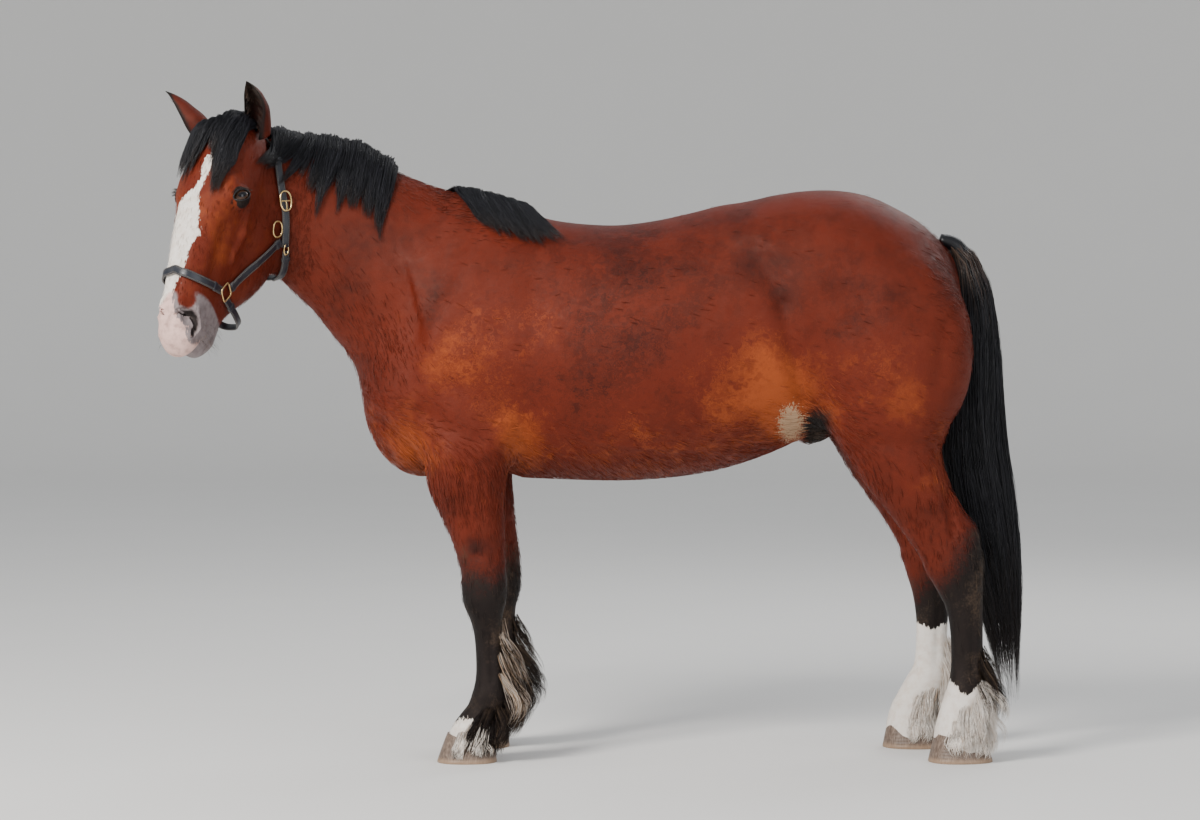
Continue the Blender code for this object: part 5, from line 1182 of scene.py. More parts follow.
def cleared(paths, clear=0.0015, sink=0.004, rounds=2, distance=body_distance):
    """Strands pushed out where they would run through the skin, with their roots left in it."""
    flat = paths[:, 1:].reshape(-1, 3)
    paths[:, 1:] = onto_skin(flat, clear, rounds, 0.0, distance).reshape(paths[:, 1:].shape)
    paths[:, 0] = onto_skin(paths[:, 0], -sink, 2, distance=distance)
    return paths


def crest_roots(x_values):
    """Points along the top of the neck at given x."""
    neck = LOFTS["neck"]
    top = neck.centre + neck.dorsal * neck.up[:, None]
    order = np.argsort(top[:, 0])
    return onto_skin(line_at(x_values, top[order, 0], top[order]))


def side_points(x, z, side):
    """Points on the skin at given x and z, on the near (-1) or off (1) side."""
    start = np.stack(
        [x, np.full(len(x), 0.18) * side + np.interp(x, (-1.0, -0.6), (-0.2, 0.0)), z], axis=1
    )
    return onto_skin(start, 0.0, 8)


def mane_guides(draw):
    """Guide lines of the mane: a tuft behind the ears, two near bunches and a fall on the off side."""
    where, rises = np.array(MANE_RISE).T
    over = np.array((0, 0.03, 0))
    near, off = [], []

    count = 14
    roots = crest_roots(np.linspace(-1.022, -0.905, count)) + over
    tips = side_points(
        np.linspace(-0.985, -0.835, count), roots[:, 2] - 0.055 - 0.03 * draw.random(count), -1
    )
    rise = np.interp(roots[:, 0], where, rises) * draw.uniform(0.8, 1.0, count)
    near.append(lay(roots, tips, rise=rise, lift=0.006 + 0.008 * draw.random(count)))

    count = 30
    x = np.linspace(-0.897, -0.668, count)
    roots = crest_roots(x) + over
    drop = np.interp(x, (-0.897, -0.84, -0.76, -0.7, -0.668), (0.085, 0.1, 0.1, 0.12, 0.09))
    drop = drop + 0.05 * draw.random(count)
    drop[[3, 11, 24, 25, 26]] = 0.25, 0.19, 0.18, 0.24, 0.2
    tips = side_points(x + 0.01 + 0.03 * draw.random(count), roots[:, 2] - drop, -1)
    rise = np.interp(x, where, rises) * draw.uniform(0.75, 1.0, count)
    near.append(lay(roots, tips, rise=rise, lift=0.006 + 0.009 * draw.random(count)))

    count = 26
    spread = np.linspace(0, 1, count)
    roots = crest_roots(-0.475 + 0.18 * spread)
    tip_z = np.interp(spread, (0, 0.3, 0.75, 1), (1.665, 1.6, 1.56, 1.62)) + 0.02 * draw.random(count)
    tips = side_points(-0.365 + 0.25 * spread + 0.02 * draw.random(count), tip_z, -1)
    near.append(lay(roots, tips, lift=0.008 + 0.01 * draw.random(count), rise=0.008))

    count = 46
    x = np.linspace(-0.995, -0.32, count)
    roots = crest_roots(x)
    drop = 0.17 + 0.035 * np.sin(17 * x) + 0.09 * draw.random(count)
    tips = side_points(x + 0.02 + 0.05 * draw.random(count), roots[:, 2] - drop, 1)
    off.append(lay(roots, tips, lift=0.008 + 0.01 * draw.random(count), rise=0.006))
    return [[np.concatenate(parts) for parts in zip(*group)] for group in (near, off)]


def forelock_guides(draw):
    """Guide lines of the forelock, which parts over the forehead."""
    fans = (
        (24, -0.085, ((-0.03, 0.0), (-0.035, 0.092)),
         ((0.13, 0.024), (0.19, 0.048), (0.262, 0.074), (0.285, 0.09), (0.262, 0.104), (0.19, 0.114))),
        (12, -0.115, ((-0.04, 0.0), (-0.02, 0.105)), ((0.07, 0.046), (0.11, 0.074), (0.08, 0.104))),
        (16, -0.05, ((-0.018, 0.01), (-0.026, -0.066)),
         ((0.12, -0.014), (0.2, -0.03), (0.24, -0.05), (0.235, -0.074), (0.19, -0.092), (0.12, -0.1))),
    )
    found = []
    for count, behind, (first, last), ends in fans:
        s = np.linspace(0, 1, count)
        root = np.column_stack([line_at(s, (0, 1), np.array((first, last))), np.full(count, behind)])
        tip = np.column_stack(
            [line_at(s, np.linspace(0, 1, len(ends)), np.array(ends)), np.full(count, 0.02)]
        )
        tip[:, 0] += draw.uniform(-0.045, 0.015, count)
        tip[:, 1] += draw.normal(0, 0.006, count)
        roots, tips = onto_skin(from_head(root), 0.0, 6), onto_skin(from_head(tip), 0.0, 6)
        found.append(lay(roots, tips, lift=0.006 + 0.012 * draw.random(count), rise=0.01))
    return [np.concatenate(parts) for parts in zip(*found)]


def tail_frame():
    """The tail's core: its middle line, how deep and how wide it is, and the way back out of it."""
    table = smooth_rows(TAIL_LINE, TAIL_STATIONS)
    along = unit(np.gradient(table[:, :3], axis=0))
    return table[:, :3], table[:, 3], table[:, 4], np.cross(along, Y_AXIS)


def tail_guides(draw, rows=((OUTER_LOCKS, 3, 16, 0.9, 1.06, 0.94), (26, 0, 10, 0.8, 1.0, 0.6))):
    """Guide lines round the tail's core: centre + bulge (deep cos a back + wide sin a sideways)."""
    centre, deep, wide, back = tail_frame()
    at = np.arange(TAIL_STATIONS)
    last_station = TAIL_STATIONS - 1
    paths, outs = [], []
    for count, first, last, low, high, bulge in rows:
        turn = 2 * math.pi * (np.arange(count) + draw.random(count)) / count
        start, end = draw.uniform(first, last, count), last_station * draw.uniform(low, high, count)
        t = np.linspace(0, 1, 12)
        k = start[:, None] + t * (end - start)[:, None]
        beyond = np.maximum(k - last_station, 0)
        swing = turn[:, None] + 0.25 * np.sin(4 * t + draw.uniform(0, 6, (count, 1))) * t
        full = np.interp(t, (0, 0.14, 0.6, 0.85, 1), (0.4, 1.0, 0.96, 0.9, 0.8)) * bulge
        k = np.minimum(k, last_station)
        middle, behind = (line_at(k, at, line) for line in (centre, back))
        middle = middle + (beyond * 0.023)[..., None] * (0.05, 0, -1.0)
        out = behind * (np.interp(k, at, deep) * np.cos(swing))[..., None]
        out = out + Y_AXIS * (np.interp(k, at, wide) * np.sin(swing))[..., None]
        paths.append(middle + out * full[..., None])
        outs.append(unit(out))
    return np.concatenate(paths), np.concatenate(outs)


def tail_unwrapped(points):
    """Where points lie on the tail's unrolled core: down it and round it."""
    centre, _, _, back = tail_frame()
    nearest = ((centre**2).sum(1) - 2 * points @ centre.T).argmin(1)
    offset = points - centre[nearest]
    turn = np.arctan2(offset[:, 1], (offset * back[nearest]).sum(1))
    return tiled(nearest / TAIL_STATIONS, turn)


def hoof_distance(points):
    """About how far each point lies from the nearest hoof's wall."""
    result = np.full(len(points), 1.0)
    for hoof in HOOVES.values():
        middle, long = (hoof["toe"] + hoof["heel"]) / 2, (hoof["heel"] - hoof["toe"]) / 2
        ratio = np.hypot((points[:, 0] - middle) / long, (points[:, 1] - hoof["y"]) / hoof["half"])
        radial = np.hypot(points[:, 0] - middle, points[:, 1] - hoof["y"])
        result = np.minimum(
            result, np.maximum(radial * (1 - 1 / np.maximum(ratio, 0.2)), points[:, 2] - 0.095)
        )
    return result


def foot_distance(points):
    """About how far each point lies outside the skin and the hooves."""
    return np.minimum(body_distance(points), hoof_distance(points))


# How far the feather's outside lies from the cannon's middle, at the back, by height
FEATHER_REACH = ((0.02, 0.115), (0.08, 0.14), (0.15, 0.15), (0.21, 0.138), (0.3, 0.105), (0.42, 0.08))


def feather_guides(leg, draw, count=96):
    """Guide lines of the long hair behind the cannon and round the heel.

    Each falls from the skin: its height drops evenly, and its distance from the leg's middle grows
    from the skin's to a share of FEATHER_REACH, less toward the sides.
    """
    loft = LOFTS[leg]
    order = np.argsort(loft.centre[:, 2])
    heights = loft.centre[order, 2]
    tall, reach = np.array(FEATHER_REACH).T
    top = 0.44 if "fore" in leg else 0.36
    start = np.concatenate([
        top - (top - 0.2) * draw.random(count // 3) ** 0.8,
        0.055 + 0.155 * draw.random(count - count // 3)
    ])
    fan = np.interp(start, (0.08, 0.16, 0.24, 0.42), (125, 100, 48, 16))
    turn = np.radians(fan * draw.uniform(-1, 1, count))
    away = np.stack([np.cos(turn), np.sin(turn), np.zeros(count)], axis=1)
    fall = np.interp(start, (0.05, 0.15, 0.25, 0.42), (0.035, 0.11, 0.13, 0.15))
    fall = fall * draw.uniform(0.8, 1.25, count)
    t = np.linspace(0, 1, 8)
    z = np.maximum(start[:, None] - fall[:, None] * t, 0.012)
    middle = np.concatenate([line_at(z, heights, loft.centre[order, :2]), z[..., None]], axis=-1)
    root = onto_skin(middle[:, 0] + away * 0.06, -0.003, 5)
    first = np.linalg.norm(root - middle[:, 0], axis=1)[:, None]
    side = 0.45 + 0.55 * np.cos(turn / 1.6)[:, None] ** 2
    goal = np.interp(z, tall, reach) * side * draw.uniform(0.62, 1.0, (count, 1))
    grow = np.sin(math.pi / 2 * np.clip(t * 1.5, 0, 1)) ** 1.3
    far = first + np.maximum(goal - first, 0.004) * grow
    paths = middle + away[:, None] * far[..., None]
    paths[:, 0] = root
    return paths, np.broadcast_to(away[:, None], paths.shape)


def hair_flow(points, slope):
    """The way the short coat lies at each point, along the skin."""
    local = to_head(points)
    head = soft_step(-local[:, 2], -0.1, -0.02) * soft_step(local[:, 2], -0.42, -0.36)
    head = head * soft_step(local[:, 0], -0.05, 0.05) * (np.abs(local[:, 1]) < 0.15) * (local[:, 0] < 0.8)
    neck = soft_step(-points[:, 0], 0.4, 0.6) * (points[:, 2] > 1.15)
    leg = soft_step(-points[:, 2], -1.05, -0.85)
    flow = np.array((1.0, 0.0, -0.3)) * np.ones((len(points), 1))
    for share, way in ((neck, (0.55, 0.0, -0.85)), (leg, (0.12, 0.0, -1.0)), (head, HEAD_AXES[:, 0])):
        flow = flow * (1 - share)[:, None] + np.array(way) * share[:, None]
    return unit(flow - (flow * slope).sum(1)[:, None] * slope)


# Where the short coat breaks the form, seen from the side: along a line, how wide and how thick it grows
COAT_LINES = (
    ((-0.2, 0.862), (0.56, 0.93), 0.1, 1.0), ((0.56, 0.99), (0.7, 1.05), 0.1, 1.5),
    ((-0.64, 1.0), (-0.4, 0.87), 0.12, 1.2), ((-0.66, 1.3), (-0.7, 1.12), 0.1, 0.6),
    ((-0.29, 0.9), (-0.26, 0.56), 0.07, 1.2), ((-0.48, 0.86), (-0.43, 0.45), 0.06, 0.5),
    ((0.78, 0.96), (1.0, 0.64), 0.07, 0.6), ((1.06, 1.0), (1.17, 0.62), 0.08, 1.0),
    ((-0.9, 1.52), (-0.7, 1.3), 0.1, 0.6), ((1.09, 1.56), (1.13, 1.3), 0.08, 0.8),
    ((-0.86, 1.9), (-0.3, 1.66), 0.05, 2.0),
)


def short_coat(skin, count, length, draw):
    """Roots, paths and normals of short tufts, spread over the skin where the coat breaks the form."""
    mesh = skin.data
    mesh.calc_loop_triangles()
    corner = np.empty(len(mesh.loop_triangles) * 3, np.int32)
    mesh.loop_triangles.foreach_get("vertices", corner)
    triangle = coordinates(mesh)[corner].reshape(-1, 3, 3) - (stood(np.zeros((1, 3))))
    middle = triangle.mean(1)
    area = np.linalg.norm(
        np.cross(triangle[:, 1] - triangle[:, 0], triangle[:, 2] - triangle[:, 0]), axis=1
    )
    seen = seen_from_side(middle)
    weight = 0.02 + ridges(seen, COAT_LINES)
    local = to_head(middle)
    on_head = within_head(local, -0.1, 0.8, 0.15) & (local[:, 2] > -0.4)
    weight = np.where(on_head, 0.5 + 3.0 * soft_step(-local[:, 2], 0.24, 0.3), weight)
    weight = weight * (1 - muzzle(middle)) * (middle[:, 2] > 0.1)
    for centre, facing, _, _ in EYES.values():
        weight = weight * (np.linalg.norm(middle - centre - facing * EYE_RADIUS, axis=1) > 0.03)
    chance = area * weight
    picked = draw.choice(len(area), count, p=chance / chance.sum())
    a, b = draw.random((2, count, 1))
    flip = a + b > 1
    a, b = np.where(flip, 1 - a, a), np.where(flip, 1 - b, b)
    roots = triangle[picked, 0] * (1 - a - b) + triangle[picked, 1] * a + triangle[picked, 2] * b
    slope = unit(distance_and_slope(roots)[1])
    flow = hair_flow(roots, slope)
    sway = draw.normal(0, 0.16, (count, 1))
    flow = unit(flow + np.cross(slope, flow) * sway)
    small = np.where(on_head[picked], 0.55, 1.0)
    low = np.where(roots[:, 2] > 0.8, np.interp(roots[:, 2], (0.9, 1.1), (1.5, 1.0)), 1.0)
    reach = length * small * low * draw.uniform(0.6, 1.3, count)
    t = np.array((-0.12, 0.45, 1.0))
    lift = np.array((-0.0025, 0.0014, 0.0024))
    paths = roots[:, None] + flow[:, None] * (reach[:, None] * t)[..., None]
    want = lift[None] * np.where(on_head[picked], 0.6, 1.0)[:, None]
    flat = onto_skin(paths.reshape(-1, 3), want.ravel(), 2)
    return roots, flat.reshape(paths.shape), np.repeat(slope[:, None], 3, axis=1), reach


def nearest_loft(points):
    """Which part of the body each point lies on: 0 to 6 for the lofts in order and 7 for the head."""
    every = [loft.distance(points) for loft in LOFTS.values()] + [head_distance(to_head(points))]
    return np.argmin(every, axis=0)


def coat_unwrapped(points):
    """The whole skin unrolled part by part, each part in a tile of its own, four tiles by two."""
    part = nearest_loft(points)
    where = np.zeros((len(points), 2))
    for i, name in enumerate(LOFTS):
        mine = part == i
        where[mine] = unwrapped(points[mine], name)
    where[part == 7] = head_unwrapped(points[part == 7])
    return (where + np.stack([part % 4, part // 4], axis=1)) / (4, 2)


class Nodes:
    """Adds shader nodes to a tree, each fed by sockets or by plain values."""

    def __init__(self, tree):
        self.tree = tree

    def add(self, kind, inputs=(), **settings):
        node = self.tree.nodes.new("ShaderNode" + kind)
        for key, value in settings.items():
            setattr(node, key, value)
        self.feed_all(node, dict(inputs))
        return node

    def feed(self, socket, value):
        if isinstance(value, bpy.types.NodeSocket):
            self.tree.links.new(value, socket)
        else:
            socket.default_value = value

    def feed_all(self, node, inputs):
        for key, value in inputs.items():
            self.feed(node.inputs[key], value)

    def attribute(self, name):
        return self.add("Attribute", attribute_name=name).outputs["Vector"]

    def parts(self, vector):
        return self.add("SeparateXYZ", {"Vector": vector}).outputs

    def place(self):
        return self.add("TexCoord").outputs["Object"]

    def stretched(self, place, scale):
        return self.add("Mapping", {"Vector": place, "Scale": scale}).outputs["Vector"]

    def moved(self, place, x, y, z):
        """A place moved by three values."""
        shift = self.add("CombineXYZ", {0: x, 1: y, 2: z}).outputs[0]
        return self.add("VectorMath", {0: place, 1: shift}, operation="ADD").outputs[0]

    def noise(self, place, scale, detail=3.0, rough=0.55):
        return self.add(
            "TexNoise", {"Vector": place, "Scale": scale, "Detail": detail, "Roughness": rough}
        ).outputs[0]

    def math(self, operation, a, b=0.0, c=0.0):
        return self.add("Math", {0: a, 1: b, 2: c}, operation=operation).outputs[0]

    def scaled(self, a, factor, b):
        """a times a factor, plus b."""
        return self.math("MULTIPLY_ADD", a, factor, b)

    def times(self, a, b):
        return self.math("MULTIPLY", a, b)

    def minus(self, a, b):
        return self.math("SUBTRACT", a, b)

    def step(self, value, low, high):
        """A smooth slope from 0 at low to 1 at high."""
        settings = {"Value": value, "From Min": low, "From Max": high}
        return self.add("MapRange", settings, interpolation_type="SMOOTHSTEP").outputs[0]

    def mix(self, share, a, b):
        """A colour between a and b."""
        node = self.add("Mix", {0: share, 6: a, 7: b}, data_type="RGBA")
        return node.outputs[2]

    def group(self, fill, inputs):
        node = self.add("Group")
        node.node_tree = shared_group(fill, *GROUPS[fill])
        self.feed_all(node, inputs)
        return node.outputs

    def worn(self, scale):
        """The grain and wear of a worked or grown surface."""
        return self.group(grain_and_wear, {"Place": self.place(), "Scale": scale})

    def look(self, shader, colour, roughness, gloss=0.5):
        """The main inputs of a shader; a gloss of 0.5 is the shader's own."""
        self.feed_all(shader, {"Base Color": colour, "Roughness": roughness, "Specular IOR Level": gloss})

    def bump(self, shader, height, strength, distance):
        node = self.add("Bump", {"Height": height, "Strength": strength, "Distance": distance})
        self.feed(shader.inputs["Normal"], node.outputs["Normal"])


def shared_group(fill, inputs, outputs):
    """The node group that a function fills in, made the first time that it is asked for.

    The inputs and outputs are given by kind, each kind with the names of its sockets.
    """
    tree = bpy.data.node_groups.get(fill.__name__)
    if tree is None:
        tree = bpy.data.node_groups.new(fill.__name__, "ShaderNodeTree")
        for sockets, way in ((inputs, "INPUT"), (outputs, "OUTPUT")):
            for kind, labels in sockets.items():
                for label in labels:
                    tree.interface.new_socket(label, in_out=way, socket_type="NodeSocket" + kind)
        enter, leave = tree.nodes.new("NodeGroupInput"), tree.nodes.new("NodeGroupOutput")
        fill(Nodes(tree), enter.outputs, leave.inputs)
    return tree


def coat_colour(n, enter, leave):
    """Bay, black and white hair and bare skin, mixed by the marks and tones painted on the mesh, which
    also carry painted light on the cheeks and painted shade in the neck groove, on the forearms, in the
    flank folds, in the nostrils and between the lips.

    Bay = dark to bright by light spots, broad mottle, dapples and the strand's own shade; black and
    white cover it where their marks, roughened by noise, pass a threshold.
    """
    place = enter["Place"]
    white_mark, black_and_fold_shade, bare_mark = n.parts(enter["Marks"])
    light, dappled, painted_pit_shade = n.parts(enter["Tone"])
    broad, fine = n.noise(place, 7.0, 4.0), n.noise(place, 45.0, 3.0)
    edge = n.noise(place, 130.0, 4.0, 0.7)
    drift = n.minus(broad, 0.5)
    shade = n.minus(enter["Shade"], 0.5)
    soft_cells = {"Vector": n.moved(place, fine, broad, fine), "Scale": 11.0, "Smoothness": 0.6}
    cells = n.add("TexVoronoi", soft_cells, feature="SMOOTH_F1")
    dapple = n.times(n.step(cells.outputs["Distance"], 0.75, 0.25), dappled)
    # light holds the coat's lighter and darker places together with the painted light on the cheeks and
    # the painted shade in hollows
    level = n.scaled(drift, 1.5, light)
    level = n.scaled(shade, 0.9, level)
    level = n.scaled(n.minus(fine, 0.5), 0.5, level)
    level = n.scaled(dapple, 0.42, level)
    bay = n.mix(n.step(level, -0.9, 0.25), enter["Dark"], enter["Bay"])
    bay = n.mix(n.step(level, 0.2, 1.25), bay, enter["Bright"])
    ragged = n.scaled(n.minus(edge, 0.5), 0.7, n.minus(broad, 0.5))
    # the black mark also carries the painted shade in the flank folds by the sheath
    black = n.step(n.scaled(ragged, 0.85, black_and_fold_shade), 0.26, 0.78)
    faded = n.step(n.scaled(ragged, 1.2, n.scaled(shade, 0.7, 0.5)), 0.48, 1.0)
    smoky = n.mix(0.15, enter["Black"], enter["Tan"])
    colour = n.mix(black, bay, n.mix(faded, enter["Black"], smoky))
    lock = n.noise(n.stretched(place, (170.0, 170.0, 30.0)), 1.0, 3.0)
    reach = n.scaled(n.minus(edge, 0.5), 0.012, white_mark)
    reach = n.scaled(n.minus(lock, 0.5), 0.034, reach)
    reach = n.scaled(shade, 0.004, reach)
    white = n.step(reach, -0.0015, 0.0025)
    creamy = n.math("MAXIMUM", n.times(n.step(fine, 0.35, 0.75), 0.3), n.step(light, 0.2, 0.9))
    colour = n.mix(white, colour, n.mix(creamy, enter["White"], enter["Tan"]))
    bare = n.step(n.scaled(ragged, 0.5, bare_mark), 0.35, 0.7)
    skin = n.mix(white, enter["Grey Skin"], enter["Pink Skin"])
    skin = n.mix(n.times(n.step(fine, 0.4, 0.8), 0.45), skin, enter["Dark"])
    colour = n.mix(bare, colour, skin)
    # painted shade: the nostrils turn black with depth, and the line between the lips darkens
    colour = n.mix(n.times(n.step(painted_pit_shade, 0.15, 0.9), 0.93), colour, enter["Black"])
    n.feed(leave["Color"], colour)
    n.feed(leave["Bare"], bare)


def hair_lie(n, enter, leave):
    """The height of short hair: noise drawn out along the way it lies, level or upright."""
    place = enter["Place"]
    moved = n.moved(place, *(n.noise(place, scale) for scale in (3.0, 4.0, 5.0)))
    level = n.noise(n.stretched(moved, (55.0, 330.0, 330.0)), 1.0, 5.0, 0.7)
    upright = n.noise(n.stretched(moved, (330.0, 330.0, 55.0)), 1.0, 5.0, 0.7)
    height = n.add("Mix", {0: enter["Upright"], 2: level, 3: upright}).outputs[0]
    muscle = n.times(n.noise(place, 16.0, 3.0), 0.8)
    pores = n.times(n.noise(place, 420.0, 3.0), 0.5)
    height = n.math("ADD", n.add("Mix", {0: enter["Bare"], 2: height, 3: pores}).outputs[0], muscle)
    n.feed(leave["Height"], height)


def strand_colour(n, enter, leave):
    """Long hair: dark to light by each strand's shade, with faded tips and a brown share."""
    shade, along, _ = n.parts(enter["Hair"])
    brown, _, _ = n.parts(enter["Tone"])
    colour = n.mix(n.step(shade, 0.25, 1.0), enter["Dark"], enter["Light"])
    tips = n.times(n.step(along, 0.8, 1.0), 0.2)
    rooted = n.times(brown, n.step(along, 0.45, 0.05))
    share = n.math("MAXIMUM", tips, n.step(n.scaled(shade, 0.3, rooted), 0.4, 0.95))
    n.feed(leave["Color"], n.mix(share, colour, enter["Brown"]))


def grain_and_wear(n, enter, leave):
    """Grain and wear for leather, metal and horn: pebbled height and a patchy mask."""
    cells = n.add("TexVoronoi", {"Vector": enter["Place"], "Scale": enter["Scale"]}, feature="F1")
    fine = n.noise(enter["Place"], n.times(enter["Scale"], 2.0), 4.0)
    n.feed(leave["Grain"], n.scaled(cells.outputs["Distance"], 0.7, fine))
    n.feed(leave["Wear"], n.step(n.noise(enter["Place"], 35.0, 5.0, 0.7), 0.45, 0.7))


# The colours that the coat mixes, each with the property that holds it
COAT_COLOURS = {
    "Dark": "coat_dark", "Bay": "coat_bay", "Bright": "coat_bright", "Black": "coat_black",
    "White": "coat_white", "Tan": "coat_tan", "Grey Skin": "skin_grey", "Pink Skin": "skin_pink",
}
# What enters and what leaves each shared node group, by kind
GROUPS = {
    coat_colour: (
        {"Vector": ("Place", "Marks", "Tone"), "Float": ("Shade",), "Color": COAT_COLOURS},
        {"Color": ("Color",), "Float": ("Bare",)},
    ),
    hair_lie: ({"Vector": ("Place",), "Float": ("Upright", "Bare")}, {"Float": ("Height",)}),
    strand_colour: (
        {"Vector": ("Hair", "Tone"), "Color": ("Dark", "Light", "Brown")}, {"Color": ("Color",)}
    ),
    grain_and_wear: ({"Vector": ("Place",), "Float": ("Scale",)}, {"Float": ("Grain", "Wear")}),
}


def four(colour, share=1.0):
    """A colour, darkened to a share, with a solid fourth channel."""
    return (*(v * share for v in colour), 1.0)


def coat_finish(n, shader, colours):
    """The coat: mixed colour, short hair lying along the body, and bare skin a little smoother."""
    place = n.place()
    shade, _, upright = n.parts(n.attribute("hair"))
    inputs = {"Place": place, "Marks": n.attribute("marks"), "Tone": n.attribute("tone"), "Shade": shade}
    inputs.update({label: four(getattr(colours, name)) for label, name in COAT_COLOURS.items()})
    out = n.group(coat_colour, inputs)
    streak = n.noise(n.stretched(place, (20.0, 90.0, 90.0)), 1.0)
    n.look(shader, out["Color"], n.scaled(streak, 0.22, 0.42), 0.2)
    lie = n.group(hair_lie, {"Place": place, "Upright": upright, "Bare": out["Bare"]})
    n.bump(shader, lie["Height"], 0.55, 0.0022)
    shader.inputs["Specular Tint"].default_value = (1.0, 0.8, 0.7, 1.0)


def strand_colours(n, dark, light, brown):
    """The colour of strands between a dark and a light one, brown where their tone says so."""
    inputs = {"Hair": n.attribute("hair"), "Tone": n.attribute("tone")}
    return n.group(
        strand_colour, {**inputs, "Dark": four(dark), "Light": four(light), "Brown": four(brown)}
    )["Color"]


def long_hair_finish(n, shader, colours):
    """Black mane and tail hair with a soft bluish sheen."""
    shade, _, _ = n.parts(n.attribute("hair"))
    colour = strand_colours(n, colours.hair_dark, colours.hair_light, colours.hair_brown)
    n.look(shader, colour, n.scaled(shade, 0.15, 0.36), 0.35)
    n.bump(shader, n.noise(n.stretched(n.place(), (300.0, 300.0, 40.0)), 1.0), 0.3, 0.001)


def pale_hair_finish(n, shader, colours):
    """Whiskers and lashes, thin and plain."""
    n.look(shader, strand_colours(n, colours.hair_dark, colours.hair_brown, colours.coat_tan), 0.5)


def eye_finish(n, shader, colours):
    """A wet dark eye: a level black pupil in a deep brown iris, read from the painted gaze."""
    along, up, _ = n.parts(n.attribute("gaze"))
    halves = ((along, 0.42), (up, 0.22))
    pupil = n.math("ADD", *(n.math("POWER", n.math("DIVIDE", part, half), 2.0) for part, half in halves))
    iris = n.math("SQRT", n.math("ADD", n.times(along, along), n.times(up, up)))
    rays = n.noise(n.attribute("gaze"), 9.0, 5.0)
    brown = n.mix(rays, four(colours.iris), four(colours.iris, 0.25))
    brown = n.mix(n.step(iris, 0.62, 0.85), brown, (0.008, 0.005, 0.005, 1.0))
    colour = n.mix(n.step(pupil, 1.15, 0.8), brown, (0.002, 0.002, 0.004, 1.0))
    n.look(shader, colour, n.scaled(rays, 0.04, 0.08), 0.2)
    n.feed_all(shader, {"Coat Weight": 0.45, "Coat Roughness": 0.02, "Coat IOR": 1.5})


def lid_finish(n, shader, colours):
    """Moist black skin round the eye."""
    out = n.worn(300.0)
    colour = n.mix(out["Wear"], four(colours.hair_dark), four(colours.skin_grey, 0.25))
    n.look(shader, colour, n.scaled(out["Wear"], 0.15, 0.28))
    n.bump(shader, out["Grain"], 0.2, 0.0006)


def horn_finish(n, shader, colours):
    """Hoof horn: growth rings round the wall, upright fibres and a paler worn edge at the ground."""
    place = n.place()
    out = n.worn(60.0)
    _, _, height = n.parts(place)
    wobble = n.scaled(n.noise(place, 14.0), 0.01, height)
    rings = n.math("SINE", n.times(wobble, 620.0))
    fibres = n.noise(n.stretched(place, (260.0, 260.0, 12.0)), 1.0, 4.0)
    colour = n.mix(n.step(fibres, 0.3, 0.75), four(colours.horn_dark), four(colours.horn_light))
    colour = n.mix(n.times(out["Wear"], 0.5), colour, four(colours.horn_dark))
    ground = n.step(height, 0.022, 0.004)
    colour = n.mix(n.times(ground, 0.5), colour, four(colours.coat_tan))
    n.look(shader, colour, n.scaled(fibres, 0.3, 0.38))
    n.bump(shader, n.scaled(rings, 0.35, fibres), 0.5, 0.0012)


def leather_finish(n, shader, colours):
    """Oiled navy-black leather, paler and rubbed along its stitched edges."""
    out = n.worn(700.0)
    _, across, _ = n.parts(n.attribute("strap"))
    edge = n.step(n.math("ABSOLUTE", across), 0.8, 1.0)
    groove = n.step(n.math("ABSOLUTE", n.minus(n.math("ABSOLUTE", across), 0.72)), 0.0, 0.07)
    share = n.math("MAXIMUM", n.times(edge, 0.55), n.times(out["Wear"], 0.18))
    colour = n.mix(share, four(colours.leather), four(colours.leather_worn))
    n.look(shader, colour, n.scaled(out["Wear"], 0.18, 0.36))
    n.bump(shader, n.scaled(groove, 1.2, n.times(out["Grain"], 0.35)), 0.5, 0.0006)


def thread_finish(n, shader, colours):
    """Waxed stitching thread."""
    twist = n.noise(n.place(), 900.0, 2.0)
    n.look(shader, n.mix(twist, four(colours.thread), four(colours.thread, 0.5)), 0.7)


def brass_finish(n, shader, colours):
    """Brass polished where it rubs and a little tarnished elsewhere."""
    out = n.worn(90.0)
    n.look(
        shader, n.mix(out["Wear"], four(colours.brass), four(colours.brass, 0.55)),
        n.scaled(out["Wear"], 0.22, 0.2)
    )
    shader.inputs["Metallic"].default_value = 1.0
    n.bump(shader, out["Grain"], 0.08, 0.0004)


def studio_finish(n, shader, colours):
    """A pale matt studio floor."""
    soft = n.noise(n.place(), 1.5, 3.0)
    n.look(shader, n.mix(soft, four(colours.studio), four(colours.studio, 0.97)), 0.9)


FINISHES = {
    "bay coat": coat_finish, "black hair": long_hair_finish, "fine hair": pale_hair_finish,
    "wet eye": eye_finish,
    "lid skin": lid_finish, "hoof horn": horn_finish, "halter leather": leather_finish,
    "halter thread": thread_finish, "halter brass": brass_finish, "studio floor": studio_finish,
}


def finish(name):
    """The material of that name, built the first time that it is asked for."""
    material = bpy.data.materials.get(name)
    if material is None:
        material = bpy.data.materials.new(name)
        material.use_nodes = True
        tree = material.node_tree
        FINISHES[name](Nodes(tree), tree.nodes["Principled BSDF"], bpy.context.scene.horse_colours)
    return material


def size_property(label, about, default, lowest):
    return bpy.props.FloatProperty(
        name=label, description=about, default=default, min=lowest, unit="LENGTH"
    )


def colour_property(label, about, default):
    return bpy.props.FloatVectorProperty(
        name=label, description=about, default=default, subtype="COLOR", size=3, min=0.0, max=1.0
    )


def count_property(label, about, default):
    return bpy.props.IntProperty(name=label, description=about, default=default, min=1)


